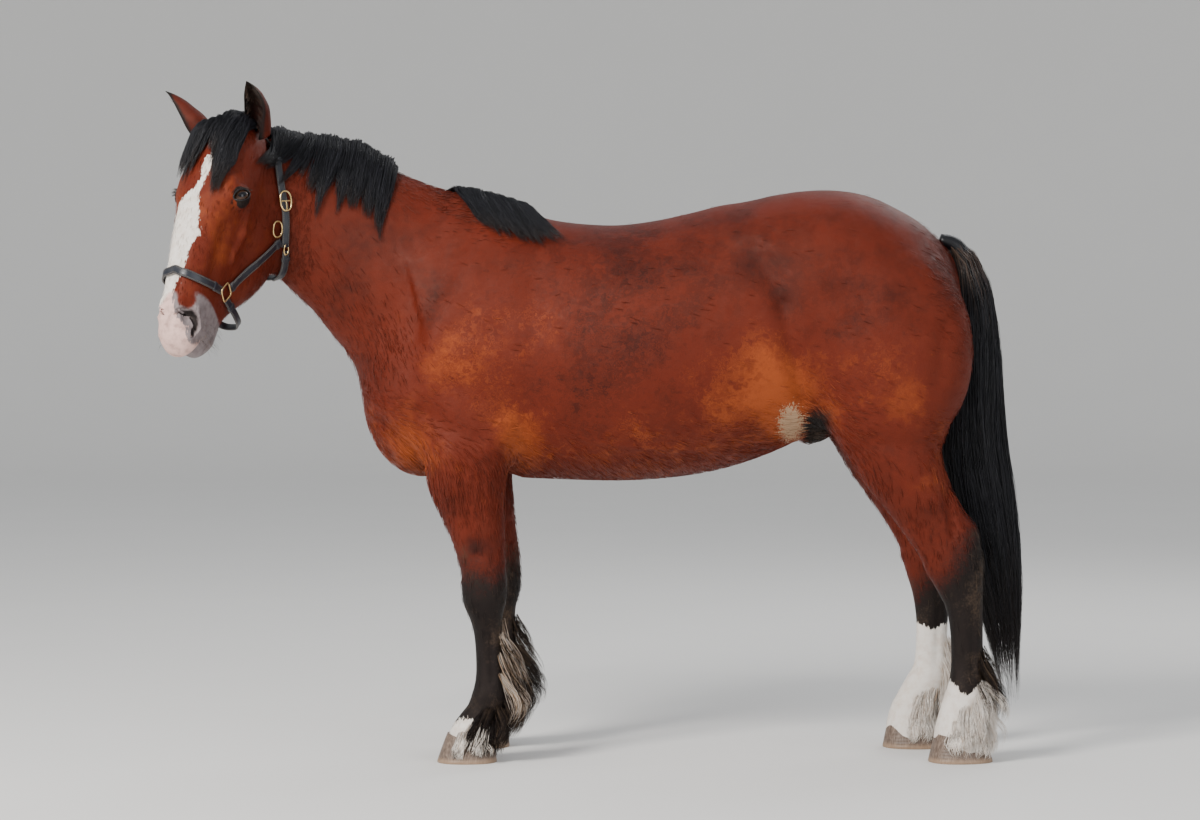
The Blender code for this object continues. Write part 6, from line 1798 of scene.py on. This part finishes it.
class HorseSizes(bpy.types.PropertyGroup):
    """Sizes and counts of the skin and the hair."""

    body_edge: size_property("Skin Edge", "Edge length of the skin's faces on the body", 0.0165, 0.006)
    coat_depth: size_property("Coat Depth", "How far the skin lies inside the packed solids", 0.002, 0.0)
    coat_length: size_property(
        "Coat Length", "Length of the short coat's tufts on the body", 0.024, 0.004
    )
    mane_strand: size_property("Mane Strand", "Width of a strand of the mane", 0.0021, 0.0005)
    feather_strand: size_property("Feather Strand", "Width of a strand of the feather", 0.0017, 0.0005)
    tail_strand: size_property("Tail Strand", "Width of a strand of the tail", 0.0027, 0.0005)
    mane_each: count_property("Mane Strands", "Strands to each lock of the mane and forelock", 60)
    tail_each: count_property("Tail Strands", "Strands to each lock of the tail", 70)
    feather_each: count_property("Feather Strands", "Strands to each lock of the feather", 27)
    coat_tufts: count_property("Coat Tufts", "Tufts of the short coat on each side", 11500)


class HorseColours(bpy.types.PropertyGroup):
    """Colours of the coat, hair, horn, leather and metal."""

    coat_dark: colour_property("Coat Dark", "Darkest bay hair", (0.026, 0.004, 0.0028))
    coat_bay: colour_property("Coat Bay", "Bay hair of the body", (0.108, 0.013, 0.005))
    coat_bright: colour_property("Coat Bright", "Bay hair at the elbow and flank", (0.29, 0.058, 0.014))
    coat_black: colour_property("Coat Black", "Black hair of the legs", (0.0065, 0.0052, 0.0055))
    coat_white: colour_property("Coat White", "White hair of the blaze and feet", (0.78, 0.73, 0.67))
    coat_tan: colour_property("Coat Tan", "Stained white hair", (0.43, 0.28, 0.17))
    skin_grey: colour_property("Grey Skin", "Bare dark skin of the muzzle", (0.215, 0.18, 0.182))
    skin_pink: colour_property("Pink Skin", "Bare skin under the blaze", (0.68, 0.45, 0.4))
    hair_dark: colour_property("Hair Dark", "Darkest long hair", (0.0035, 0.0036, 0.005))
    hair_light: colour_property("Hair Light", "Lightest long hair", (0.014, 0.014, 0.019))
    hair_brown: colour_property("Hair Brown", "Faded long hair", (0.09, 0.055, 0.038))
    iris: colour_property("Iris", "Iris of the eye", (0.06, 0.024, 0.01))
    horn_dark: colour_property("Horn Dark", "Dark horn of the hooves", (0.085, 0.056, 0.042))
    horn_light: colour_property("Horn Light", "Light horn of the hooves", (0.26, 0.19, 0.145))
    leather: colour_property("Leather", "Leather of the halter", (0.011, 0.013, 0.02))
    leather_worn: colour_property("Worn Leather", "Rubbed edge of the leather", (0.12, 0.105, 0.095))
    thread: colour_property("Thread", "Stitches of the halter", (0.33, 0.29, 0.23))
    brass: colour_property("Brass", "Rings and buckles", (0.78, 0.56, 0.26))
    studio: colour_property("Studio", "Floor and backdrop", (0.78, 0.77, 0.75))


# The solids that the one skin stands for
LEG_PARTS = ("forearm", "thigh", "gaskin", "fore_cannon", "hind_cannon")
FLESH_NODES = ("head", "neck", "torso") + tuple(f"{side}_{part}" for side in SIDES for part in LEG_PARTS)


class HORSE_OT_skin(bpy.types.Operator):
    """Builds the one smooth skin of body, legs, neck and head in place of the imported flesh."""

    bl_idname = "horse.skin"
    bl_label = "Skin"

    def execute(self, context):
        sizes = context.scene.horse_sizes
        obj = bare_skin(sizes.body_edge * (1.0), sizes.coat_depth)
        points = coordinates(obj.data)
        leg = soft_step(-points[:, 2], -1.05, -0.85)
        neck = soft_step(-points[:, 0], 0.45, 0.6) * (points[:, 2] > 1.2)
        upright = np.clip(leg + neck, 0, 1)
        painted(obj.data, "marks", marks(points))
        painted(obj.data, "tone", tone(points))
        painted(obj.data, "hair", np.stack([np.full(len(points), 0.5), 0 * upright, upright], axis=1))
        place(obj.data, stood(points))
        obj.data.polygons.foreach_set("use_smooth", np.ones(len(obj.data.polygons), bool))
        obj.name = "skin"
        done(obj, "bay coat", "bay_coat", *FLESH_NODES)
        return {"FINISHED"}


class HORSE_OT_eyes(bpy.types.Operator):
    """Builds each eyeball with its bulging front, the rim of its lids and its lashes."""

    bl_idname = "horse.eyes"
    bl_label = "Eyes"

    def execute(self, context):
        draw = np.random.default_rng(SEED)
        for side, (centre, facing, long, high) in EYES.items():
            points = ball_points(centre, facing, long, EYE_RADIUS, 40, 56, cornea)
            offset = (points.reshape(-1, 3) - centre) / EYE_RADIUS
            gaze = np.stack([offset @ long, offset @ high, offset @ facing], axis=1)
            ball = tube(f"{side}_eyeball", points, attributes=[("gaze", gaze)])
            done(ball, "wet eye", "eye_gloss", f"{side}_eye")
            a, b = eye_outline(0.97, 64)
            reach = EYE_RADIUS + 0.55 * LID
            path = centre + a[:, None] * long + b[:, None] * high
            forward = np.sqrt(reach**2 - a**2 - b**2)[:, None]
            path = onto_skin(path + facing * forward, 0.0, 3, distance=fine_distance)
            out = unit(path - centre)
            sideways = unit(np.cross(np.roll(path, -1, 0) - np.roll(path, 1, 0), out))
            thick = 0.0015 + 0.0007 * (b > 0)
            rim = tube(f"{side}_lid_rim", circles(path, out, sideways, thick, 10), closed=True)
            done(rim, "lid skin", "eye_gloss")
            upward = np.sign(high[2])
            upper = np.flatnonzero(b * upward > 0.3 * SLIT[1])
            picked = np.repeat(upper, 4)
            root = path[picked] + draw.normal(0, 0.0006, (len(picked), 3))
            t = np.linspace(0, 1, 5)
            reach = draw.uniform(0.012, 0.02, len(picked))[:, None] * t
            sweep = unit(out[picked] + 0.35 * draw.normal(0, 0.5, (len(picked), 1)) * long)
            droop = -Z_AXIS * (reach**2 * 22)[..., None]
            lashes = root[:, None] + sweep[:, None] * reach[..., None] + droop
            outward = np.broadcast_to(high * upward, lashes.shape)
            obj = strand_mesh(
                f"{side}_lashes", lashes, outward, 0.0007, 0.0006, head_unwrapped(root),
                draw.random(len(picked))
            )
            done(obj, "fine hair", "black_hair")
        return {"FINISHED"}


class HORSE_OT_ears(bpy.types.Operator):
    """Builds each ear as a rolled leaf, dark inside and along its rim, with hair growing in its cup."""

    bl_idname = "horse.ears"
    bl_label = "Ears"

    def execute(self, context):
        draw = np.random.default_rng(SEED + 1)
        for name, at, reach, opening, width, bow in EARS:
            base = from_head([at])[0]
            rings, axis, front = ear_points(
                base - 0.15 * np.array(reach), base + reach, opening, width, bow
            )
            stations, around = rings.shape[:2]
            t = np.repeat(np.linspace(0, 1, stations), around)
            half = around // 2
            ramp = np.linspace(-1, 1, half)
            v = np.tile(np.concatenate([ramp, -ramp]), stations)
            inner = np.tile(np.repeat((0.0, 1.0), half), stations)
            black = np.clip(
                0.62 * inner + soft_step(np.abs(v), 0.6, 0.95) * 0.8 + soft_step(t, 0.8, 0.97), 0, 1
            )
            zero = np.zeros(len(t))
            lists = [
                ("marks", np.stack([zero - 1, black, zero], axis=1)),
                ("tone", np.stack([-0.2 - 0.3 * inner, zero, zero], axis=1)),
                ("hair", np.stack([zero + 0.5, t, zero + 1], axis=1)),
            ]
            ear = tube(f"{name}_leaf", rings, attributes=lists)
            done(ear, "bay coat", "bay_coat", name)
            count = 240
            row = draw.integers(2, int(stations * 0.8), count)
            at_rim = draw.random(count) < 0.6
            cross = np.where(
                at_rim, draw.choice((1, 2, half - 3, half - 2), count), draw.integers(1, half - 1, count)
            )
            root = rings[row, around - 1 - cross]
            middle = rings[row, half:].mean(1)
            way = unit(middle - root + 0.6 * front * width + axis * draw.uniform(0.02, 0.05, (count, 1)))
            length = draw.uniform(0.014, 0.03, count)[:, None] * np.linspace(0, 1, 5)
            bend = axis * (length**2 * 12)[..., None]
            lines = root[:, None] + way[:, None] * length[..., None] + bend
            tint = brown_share(0.25 * draw.random(count))
            obj = strand_mesh(f"{name}_hair", lines, np.broadcast_to(front, lines.shape), 0.0011, 0.0007,
                              head_unwrapped(root), draw.random(count), tone_at=tint)
            done(obj, "fine hair", "black_hair")
        return {"FINISHED"}


class HORSE_OT_hooves(bpy.types.Operator):
    """Builds the four hooves, each a wall that slopes from a flat sole to the coronet."""

    bl_idname = "horse.hooves"
    bl_label = "Hooves"

    def execute(self, context):
        shares = (0.0, 0.03, 0.1, 0.2, 0.32, 0.45, 0.58, 0.7, 0.82, 0.91, 0.97, 1.0)
        for leg, side in (("near", "left"), ("off", "right")):
            for end in ("fore", "hind"):
                rings = hoof_rings(**HOOVES[f"{leg}_{end}"], around=64, shares=shares)
                wall = tube(f"{side}_{end}_hoof_wall", rings)
                done(wall, "hoof horn", "hoof_horn", f"{side}_{end}_hoof")
        return {"FINISHED"}


STRAP_WIDTH = 0.025
STRAP_THICK = 0.005
STRAP_CLEAR = 0.0045


def strap_path(line, whole, loose, count=73):
    """A strap's middle line over the skin, the way out of the skin and the way across the strap."""
    line = np.array(line, float)
    if whole:
        line = np.vstack([line, (line * (1, -1, 1))[-2::-1]])
    path = from_head(smooth_rows(line, count))
    path = onto_skin(path, STRAP_CLEAR + STRAP_THICK / 2, 8, 0.0 if loose else 1.0)
    outward = unit(distance_and_slope(path)[1])
    if loose:
        outward = unit(outward + 2 * unit(path - path.mean(0)))
    for _ in range(3):
        outward[1:-1] = unit(outward[:-2] + 2 * outward[1:-1] + outward[2:])
    across, top = crossed(path, outward)
    return path, top, across


# A strap's section with its edges taken off, as shares of its half width and half thickness
STRAP_SECTION = np.array((
    (1, 0.3), (0.9, 1), (0.4, 1.06), (-0.4, 1.06), (-0.9, 1),
    (-1, 0.3), (-1, -0.3), (-0.9, -1), (0.9, -1), (1, -0.3),
))


def strap_piece(name, path, top, across, width=STRAP_WIDTH, thick=STRAP_THICK):
    """A strap: its section's points carried along its middle line."""
    a, b = STRAP_SECTION.T
    sideways, upward = (a * width / 2)[None, :, None], (b * thick / 2)[None, :, None]
    rings = path[:, None] + across[:, None] * sideways + top[:, None] * upward
    far = run_length(path)
    strap = np.stack([np.repeat(far, len(a)), np.tile(a, len(far)), np.tile(b, len(far))], axis=1)
    return tube(name, rings, attributes=[("strap", strap)])


def stitches(path, top, across, gap=0.0062, length=0.0042):
    """Stitches along both edges of a strap, as short lines that rise a little over the leather."""
    far = run_length(path)
    start = np.arange(0.006, far[-1] - 0.006, gap)
    lines, outs = [], []
    for edge in (-1, 1):
        at = start[:, None] + length * np.linspace(0, 1, 4)
        spot, out, side = (line_at(at, far, line) for line in (path, top, across))
        rise = STRAP_THICK / 2 + np.array((-0.0004, 0.0005, 0.0005, -0.0004))
        lines.append(spot + side * edge * 0.36 * STRAP_WIDTH + out * rise[None, :, None])
        outs.append(out)
    return np.concatenate(lines), np.concatenate(outs)


def wire_ring(name, centre, axis_a, axis_b, half_a, half_b, wire, power=2.0, around=56, sides=12):
    """A wire bent round an oval or a rounded square in the plane of two axes."""
    angle = full_turn(around)
    c, s = np.cos(angle), np.sin(angle)
    reach = (np.abs(c) ** power + np.abs(s) ** power) ** (-1 / power)
    path = centre + (half_a * c * reach)[:, None] * axis_a + (half_b * s * reach)[:, None] * axis_b
    along = unit(np.roll(path, -1, 0) - np.roll(path, 1, 0))
    normal = unit(np.cross(axis_a, axis_b))
    return tube(name, circles(path, np.cross(along, normal), normal, wire, sides), closed=True)


def bar(name, start, end, radius, sides=12):
    """A straight round bar with rounded ends."""
    t = np.linspace(0, 1, 10)
    along = unit(end - start)
    across = unit(np.cross(along, Z_AXIS + 0.3 * Y_AXIS))
    thick = radius * np.sqrt(np.clip(1 - (2 * t - 1) ** 8, 0.02, 1))
    middle = start + t[:, None] * (end - start)
    return tube(name, circles(middle, across, np.cross(along, across), thick, sides))


class HORSE_OT_halter(bpy.types.Operator):
    """Builds the halter: stitched straps over the head with keepers, brass rings and buckles."""

    bl_idname = "horse.halter"
    bl_label = "Halter"

    def execute(self, context):
        draw = np.random.default_rng(SEED + 2)
        lines, outs = [], []
        for node, key, whole, loose, sign in STRAPS:
            path, top, across = strap_path(HALTER[key] * np.array((1, sign, 1)), whole, loose)
            strap = strap_piece(node + "_leather", path, top, across)
            done(strap, "halter leather", "halter_leather", node)
            stitched = stitches(path, top, across)
            lines.append(stitched[0])
            outs.append(stitched[1])
            ends = (5, len(path) - 6) if key != "crown" else (20, len(path) - 21)
            for i, k in enumerate(ends):
                run = unit(path[k + 1] - path[k - 1])
                middle = path[k] + np.linspace(-0.006, 0.006, 7)[:, None] * run
                ways = np.repeat(top[[k]], 7, 0), np.repeat(across[[k]], 7, 0)
                keeper = strap_piece(
                    f"{node}_keeper_{i + 1}", middle, *ways, STRAP_WIDTH * 1.16, STRAP_THICK * 1.7
                )
                done(keeper, "halter leather", "halter_leather")
        lines, outs = np.concatenate(lines), np.concatenate(outs)
        sewn = strand_mesh("halter_stitches", lines, outs, 0.0013, 0.001, head_unwrapped(lines[:, 0]),
                           draw.random(len(lines)), profile=np.array((0.6, 1.0, 1.0, 0.6)))
        done(sewn, "halter thread", "halter_leather")
        for side, mirror in SIDES.items():
            for name, (point, toward, half_a, half_b, power, lift) in RINGS.items():
                centre = onto_skin(from_head([point * mirror]), lift, 6)
                outward = unit(distance_and_slope(centre)[1])[0]
                axis_a = from_head([toward * mirror])[0] - centre[0]
                axis_a = unit(axis_a - (axis_a @ outward) * outward)
                axis_b = np.cross(outward, axis_a)
                ring = wire_ring(
                    f"{side}_{name}_wire", centre[0], axis_a, axis_b, half_a, half_b, 0.0028, power
                )
                done(ring, "halter brass", "brass", f"{side}_{name}")
                if name == "jaw_ring":
                    low = onto_skin(from_head([np.array((0.303, 0.092, -0.319)) * mirror]), 0.0095, 6)[0]
                    link = wire_ring(f"{side}_throat_link", low, axis_b, axis_a, 0.009, 0.016, 0.0022)
                    done(link, "halter brass", "brass")
                if name == "buckle":
                    reach = half_b * 0.98
                    ends = centre[0] - axis_b * reach, centre[0] + axis_b * reach
                    post = bar(f"{side}_buckle_post", *ends, 0.0021)
                    done(post, "halter brass", "brass")
                    hinge, tip = centre[0] + outward * 0.001, centre[0] - axis_a * half_a + outward * 0.003
                    tongue = bar(f"{side}_buckle_tongue", hinge, tip, 0.0018)
                    done(tongue, "halter brass", "brass")
        return {"FINISHED"}


def random_shade(count, draw, spread=0.22):
    """How light each strand is, from 0 to 1."""
    return np.clip(draw.normal(0.5, spread, count), 0, 1)


class HORSE_OT_mane(bpy.types.Operator):
    """Builds the mane and the forelock as solid strands gathered into flat tapering locks."""

    bl_idname = "horse.mane"
    bl_label = "Mane and Forelock"

    def execute(self, context):
        sizes = context.scene.horse_sizes
        draw = np.random.default_rng(SEED + 3)
        near, off = mane_guides(draw)
        fore = forelock_guides(draw)
        locks = {
            "mane_near": (near, 0.038, "neck"),
            "mane_off": (off, 0.055, "neck"),
            "forelock": (fore, 0.022, None),
        }
        for name, ((guides, outward), width, unroll) in locks.items():
            lines, out, _ = filled(guides, outward, sizes.mane_each, width, 0.012, draw, frizz=0.005)
            lines = cleared(lines)
            roots = lines[:, 0]
            where = head_unwrapped(roots) if unroll is None else unwrapped(roots, unroll)
            tint = brown_share(0.12 * draw.random(len(lines)))
            obj = strand_mesh(name, lines, out, sizes.mane_strand, 0.6 * sizes.mane_strand, where,
                              random_shade(len(lines), draw), tone_at=tint)
            done(obj, "black hair", "black_hair")
        return {"FINISHED"}


class HORSE_OT_tail(bpy.types.Operator):
    """Builds the tail: a fleshy dock and long strands that fall round it, lighter at the top."""

    bl_idname = "horse.tail"
    bl_label = "Tail"

    def execute(self, context):
        sizes = context.scene.horse_sizes
        draw = np.random.default_rng(SEED + 4)
        centre, deep, wide, back = tail_frame()
        centre, deep, wide, back = (line[:DOCK_STATIONS] for line in (centre, deep, wide, back))
        turn = full_turn(28)
        slim = np.interp(np.arange(DOCK_STATIONS), (0, 6, 22, 34), (0.95, 0.72, 0.5, 0.1))
        rings = centre[:, None] + back[:, None] * (np.outer(deep * slim, np.cos(turn)))[..., None]
        rings = rings + Y_AXIS * (np.outer(wide * slim, np.sin(turn)))[..., None]
        count = rings[..., 0].size
        lists = [("tone", np.zeros((count, 3))), ("hair", np.tile((0.3, 0.0, 0.0), (count, 1)))]
        done(tube("dock", rings, attributes=lists), "black hair", "black_hair")
        guides, outward = tail_guides(draw)
        outer, inner = slice(OUTER_LOCKS), slice(OUTER_LOCKS, None)
        for name, part, nodes in (("tail_outer", outer, ("tail",)), ("tail_inner", inner, ())):
            lines, out, _ = filled(
                guides[part], outward[part], sizes.tail_each, 0.052, 0.03, draw,
                ends=(0.78, 1.0), stations=10, frizz=0.01, waves=2.2, swell=(0.6, 1, 0.85, 0.25),
            )
            lines = freed(lines)
            roots = lines[:, 0]
            high = soft_step(roots[:, 2], 1.44, 1.56) * draw.uniform(0.4, 1.0, len(roots))
            strand = sizes.tail_strand
            obj = strand_mesh(name, lines, out, strand, 0.6 * strand, tail_unwrapped(roots),
                              random_shade(len(lines), draw), tone_at=brown_share(0.75 * high))
            done(obj, "black hair", "black_hair", *nodes)
        return {"FINISHED"}


def freed(lines, distance=body_distance):
    """Strands with only those points pushed out that would run into the skin."""
    clear = (distance(lines.reshape(-1, 3)) > 0.001).reshape(lines.shape[:2])[..., None]
    return np.where(clear, lines, cleared(lines.copy(), rounds=1, distance=distance))


class HORSE_OT_feather(bpy.types.Operator):
    """Builds the feather of each leg: long hair behind the cannon and round the heel."""

    bl_idname = "horse.feather"
    bl_label = "Feather"

    def execute(self, context):
        sizes = context.scene.horse_sizes
        for i, leg in enumerate(("near_fore", "off_fore", "near_hind", "off_hind")):
            draw = np.random.default_rng(SEED + 10 + i)
            guides, outward = feather_guides(leg, draw)
            lines, out, which = filled(
                guides, outward, sizes.feather_each, 0.034, 0.024, draw,
                ends=(0.5, 1.0), stations=6, frizz=0.008, waves=1.0, swell=(0.8, 1, 0.85, 0.45),
            )
            lines = freed(lines, foot_distance)
            roots = lines[:, 0]
            mark = marks(roots)
            mark[:, 0] += draw.normal(0, 0.01, len(roots))
            mark[:, 2] = 0
            hue = tone(roots) * 0
            hue[:, 0] = draw.normal(0.15, 0.25, len(roots))
            if leg == "near_fore":
                buff = (roots[:, 2] > 0.22) & (draw.random(len(roots)) < 0.15 + 0.45 * (which % 2))
                mark[buff, 0], hue[buff, 0] = 0.02, draw.normal(0.65, 0.2, np.count_nonzero(buff))
            side = "left" if leg.startswith("near") else "right"
            strand = sizes.feather_strand
            obj = strand_mesh(f"{side}_{leg.split('_')[1]}_feather", lines, out, strand, 0.6 * strand,
                              unwrapped(roots, leg), random_shade(len(lines), draw, 0.34), mark, hue)
            done(obj, "bay coat", "white_leg" if leg == "near_hind" else "dark_leg")
        return {"FINISHED"}


class HORSE_OT_coat(bpy.types.Operator):
    """Builds the short coat's tufts where it breaks the skin's outline, on both sides."""

    bl_idname = "horse.coat"
    bl_label = "Short Coat"

    def execute(self, context):
        sizes = context.scene.horse_sizes
        draw = np.random.default_rng(SEED + 20)
        roots, lines, out, reach = short_coat(
            bpy.data.objects["skin"], 2 * sizes.coat_tufts, sizes.coat_length, draw
        )
        width = 0.0011 + 0.0015 * (reach / sizes.coat_length)
        mark, hue, where = marks(roots), tone(roots), coat_unwrapped(roots)
        shade = np.clip(draw.normal(0.5, 0.16, len(roots)), 0, 1)
        for name, mine in (("coat_left", roots[:, 1] < 0), ("coat_right", roots[:, 1] >= 0)):
            obj = strand_mesh(name, lines[mine], out[mine], width[mine], 0.4 * width[mine], where[mine],
                              shade[mine], mark[mine], hue[mine], smooth=False)
            done(obj, "bay coat", "bay_coat")
        return {"FINISHED"}


class HORSE_OT_whiskers(bpy.types.Operator):
    """Builds the whiskers of the lips, chin and nostrils and the long hairs over the eyes."""

    bl_idname = "horse.whiskers"
    bl_label = "Whiskers"

    def execute(self, context):
        draw = np.random.default_rng(SEED + 30)
        count = 130
        sign = draw.choice((-1, 1), count)
        start = np.stack(
            [draw.uniform(0.6, 0.7, count), 0.08 * sign, draw.uniform(-0.2, -0.07, count)], axis=1
        )
        roots = onto_skin(from_head(start), -0.002, 6)
        slope = unit(distance_and_slope(roots)[1])
        t = np.linspace(0, 1, 5)
        length = draw.uniform(0.015, 0.038, count)[:, None] * t
        way = unit(slope + 0.5 * HEAD_AXES[:, 0] + draw.normal(0, 0.15, (count, 3)))
        lines = roots[:, None] + way[:, None] * length[..., None] - Z_AXIS * (length**2 * 6)[..., None]
        tint = brown_share(draw.random(count))
        obj = strand_mesh("whiskers", lines, np.broadcast_to(Z_AXIS + 0.1, lines.shape), 0.0006, 0.0005,
                          head_unwrapped(roots), draw.random(count), tone_at=tint)
        done(obj, "fine hair", "black_hair")
        return {"FINISHED"}


# Where the camera stands and how far down it looks, with its lens
CAMERA_AT = (0.0, -11.0, 1.45)
CAMERA_DROP = math.atan(119 / 3520)
LENS = 105.6
# Each light: where it stands, what it faces, its width, power and colour
LIGHTS = {
    "key": ((-5.0, -6.5, 6.0), (0, 0, 1.0), 3.0, 1250, (1.0, 0.97, 0.93)),
    "fill": ((5.5, -7.0, 3.0), (0.2, 0, 1.0), 5.0, 210, (0.95, 0.97, 1.0)),
    "rim": ((3.5, 5.0, 5.5), (0, 0, 1.2), 3.0, 130, (1.0, 1.0, 1.0)),
}
SKY_COLOUR = (0.93, 0.96, 1.0, 1.0)
SKY_STRENGTH = 0.65
# The floor's flat radius, the radius of the curve at its edge, the wall's height and the steps round it
FLOOR_FLAT = 17
FLOOR_CURVE = 5
WALL_TOP = 9.0
FLOOR_SIDES = 64


def area_light(name, at, target, size, power, colour):
    """A soft square light at a point that faces another."""
    light = bpy.data.lights.new(name, "AREA")
    light.shape, light.size, light.energy, light.color = "SQUARE", size, power, colour
    obj = bpy.data.objects.new(name, light)
    obj.location = at
    obj.rotation_euler = (Vector(at) - Vector(target)).to_track_quat("Z", "Y").to_euler()
    bpy.context.scene.collection.objects.link(obj)


class HORSE_OT_stage(bpy.types.Operator):
    """Builds the pale round floor that curves up into a wall far out, the lights and the camera."""

    bl_idname = "horse.stage"
    bl_label = "Stage"

    def execute(self, context):
        curve = np.linspace(0, math.pi / 2, 13)
        bend = FLOOR_FLAT + FLOOR_CURVE * np.sin(curve[1:])
        out = np.concatenate([np.linspace(0.02, FLOOR_FLAT, 12), bend, [FLOOR_FLAT + FLOOR_CURVE]])
        tall = np.concatenate([np.zeros(12), FLOOR_CURVE - FLOOR_CURVE * np.cos(curve[1:]), [WALL_TOP]])
        turn = full_turn(FLOOR_SIDES)
        around = np.cos(turn), np.sin(turn)
        rings = np.stack(
            [np.outer(out, c) for c in around] + [np.outer(tall, np.ones(FLOOR_SIDES))], axis=-1
        )
        points = rings.reshape(-1, 3)
        faces = [grid_faces(len(out), FLOOR_SIDES)[:, ::-1], np.arange(FLOOR_SIDES)[None]]
        floor = mesh_piece("studio_floor", points, faces)
        place(floor.data, points)
        floor.data.materials.append(finish("studio floor"))
        for name, light in LIGHTS.items():
            area_light(name, *light)
        world = bpy.data.worlds.new("studio")
        world.use_nodes = True
        sky = world.node_tree.nodes["Background"].inputs
        sky["Color"].default_value, sky["Strength"].default_value = SKY_COLOUR, SKY_STRENGTH
        context.scene.world = world
        camera = bpy.data.cameras.new("camera")
        camera.sensor_width, camera.lens, camera.clip_end = 36.0, LENS, 100.0
        obj = bpy.data.objects.new("camera", camera)
        obj.location = stood(np.array((CAMERA_AT,)))[0]
        obj.rotation_euler = (math.pi / 2 - CAMERA_DROP, 0, 0)
        context.scene.collection.objects.link(obj)
        context.scene.camera = obj
        return {"FINISHED"}


class HORSE_PT_panel(bpy.types.Panel):
    """Lists the horse's pieces, sizes and colours in the sidebar."""

    bl_idname = "HORSE_PT_panel"
    bl_label = "Heavy Horse"
    bl_space_type = "VIEW_3D"
    bl_region_type = "UI"
    bl_category = "Heavy Horse"

    def draw(self, context):
        for operator in OPERATORS:
            self.layout.operator(operator.bl_idname)
        for group in (context.scene.horse_sizes, context.scene.horse_colours):
            for name in group.__annotations__:
                self.layout.prop(group, name)


OPERATORS = (
    HORSE_OT_skin, HORSE_OT_eyes, HORSE_OT_ears, HORSE_OT_hooves, HORSE_OT_halter, HORSE_OT_mane,
    HORSE_OT_tail, HORSE_OT_feather, HORSE_OT_coat, HORSE_OT_whiskers, HORSE_OT_stage,
)
CLASSES = (HorseSizes, HorseColours, *OPERATORS, HORSE_PT_panel)


def register():
    for kind in CLASSES:
        bpy.utils.register_class(kind)
    bpy.types.Scene.horse_sizes = bpy.props.PointerProperty(type=HorseSizes)
    bpy.types.Scene.horse_colours = bpy.props.PointerProperty(type=HorseColours)


def unregister():
    del bpy.types.Scene.horse_colours
    del bpy.types.Scene.horse_sizes
    for kind in reversed(CLASSES):
        bpy.utils.unregister_class(kind)


def main():
    """Builds every piece in order."""
    register()
    for operator in OPERATORS:
        group, name = operator.bl_idname.split(".")
        getattr(getattr(bpy.ops, group), name)()


if __name__ == "__main__":
    main()
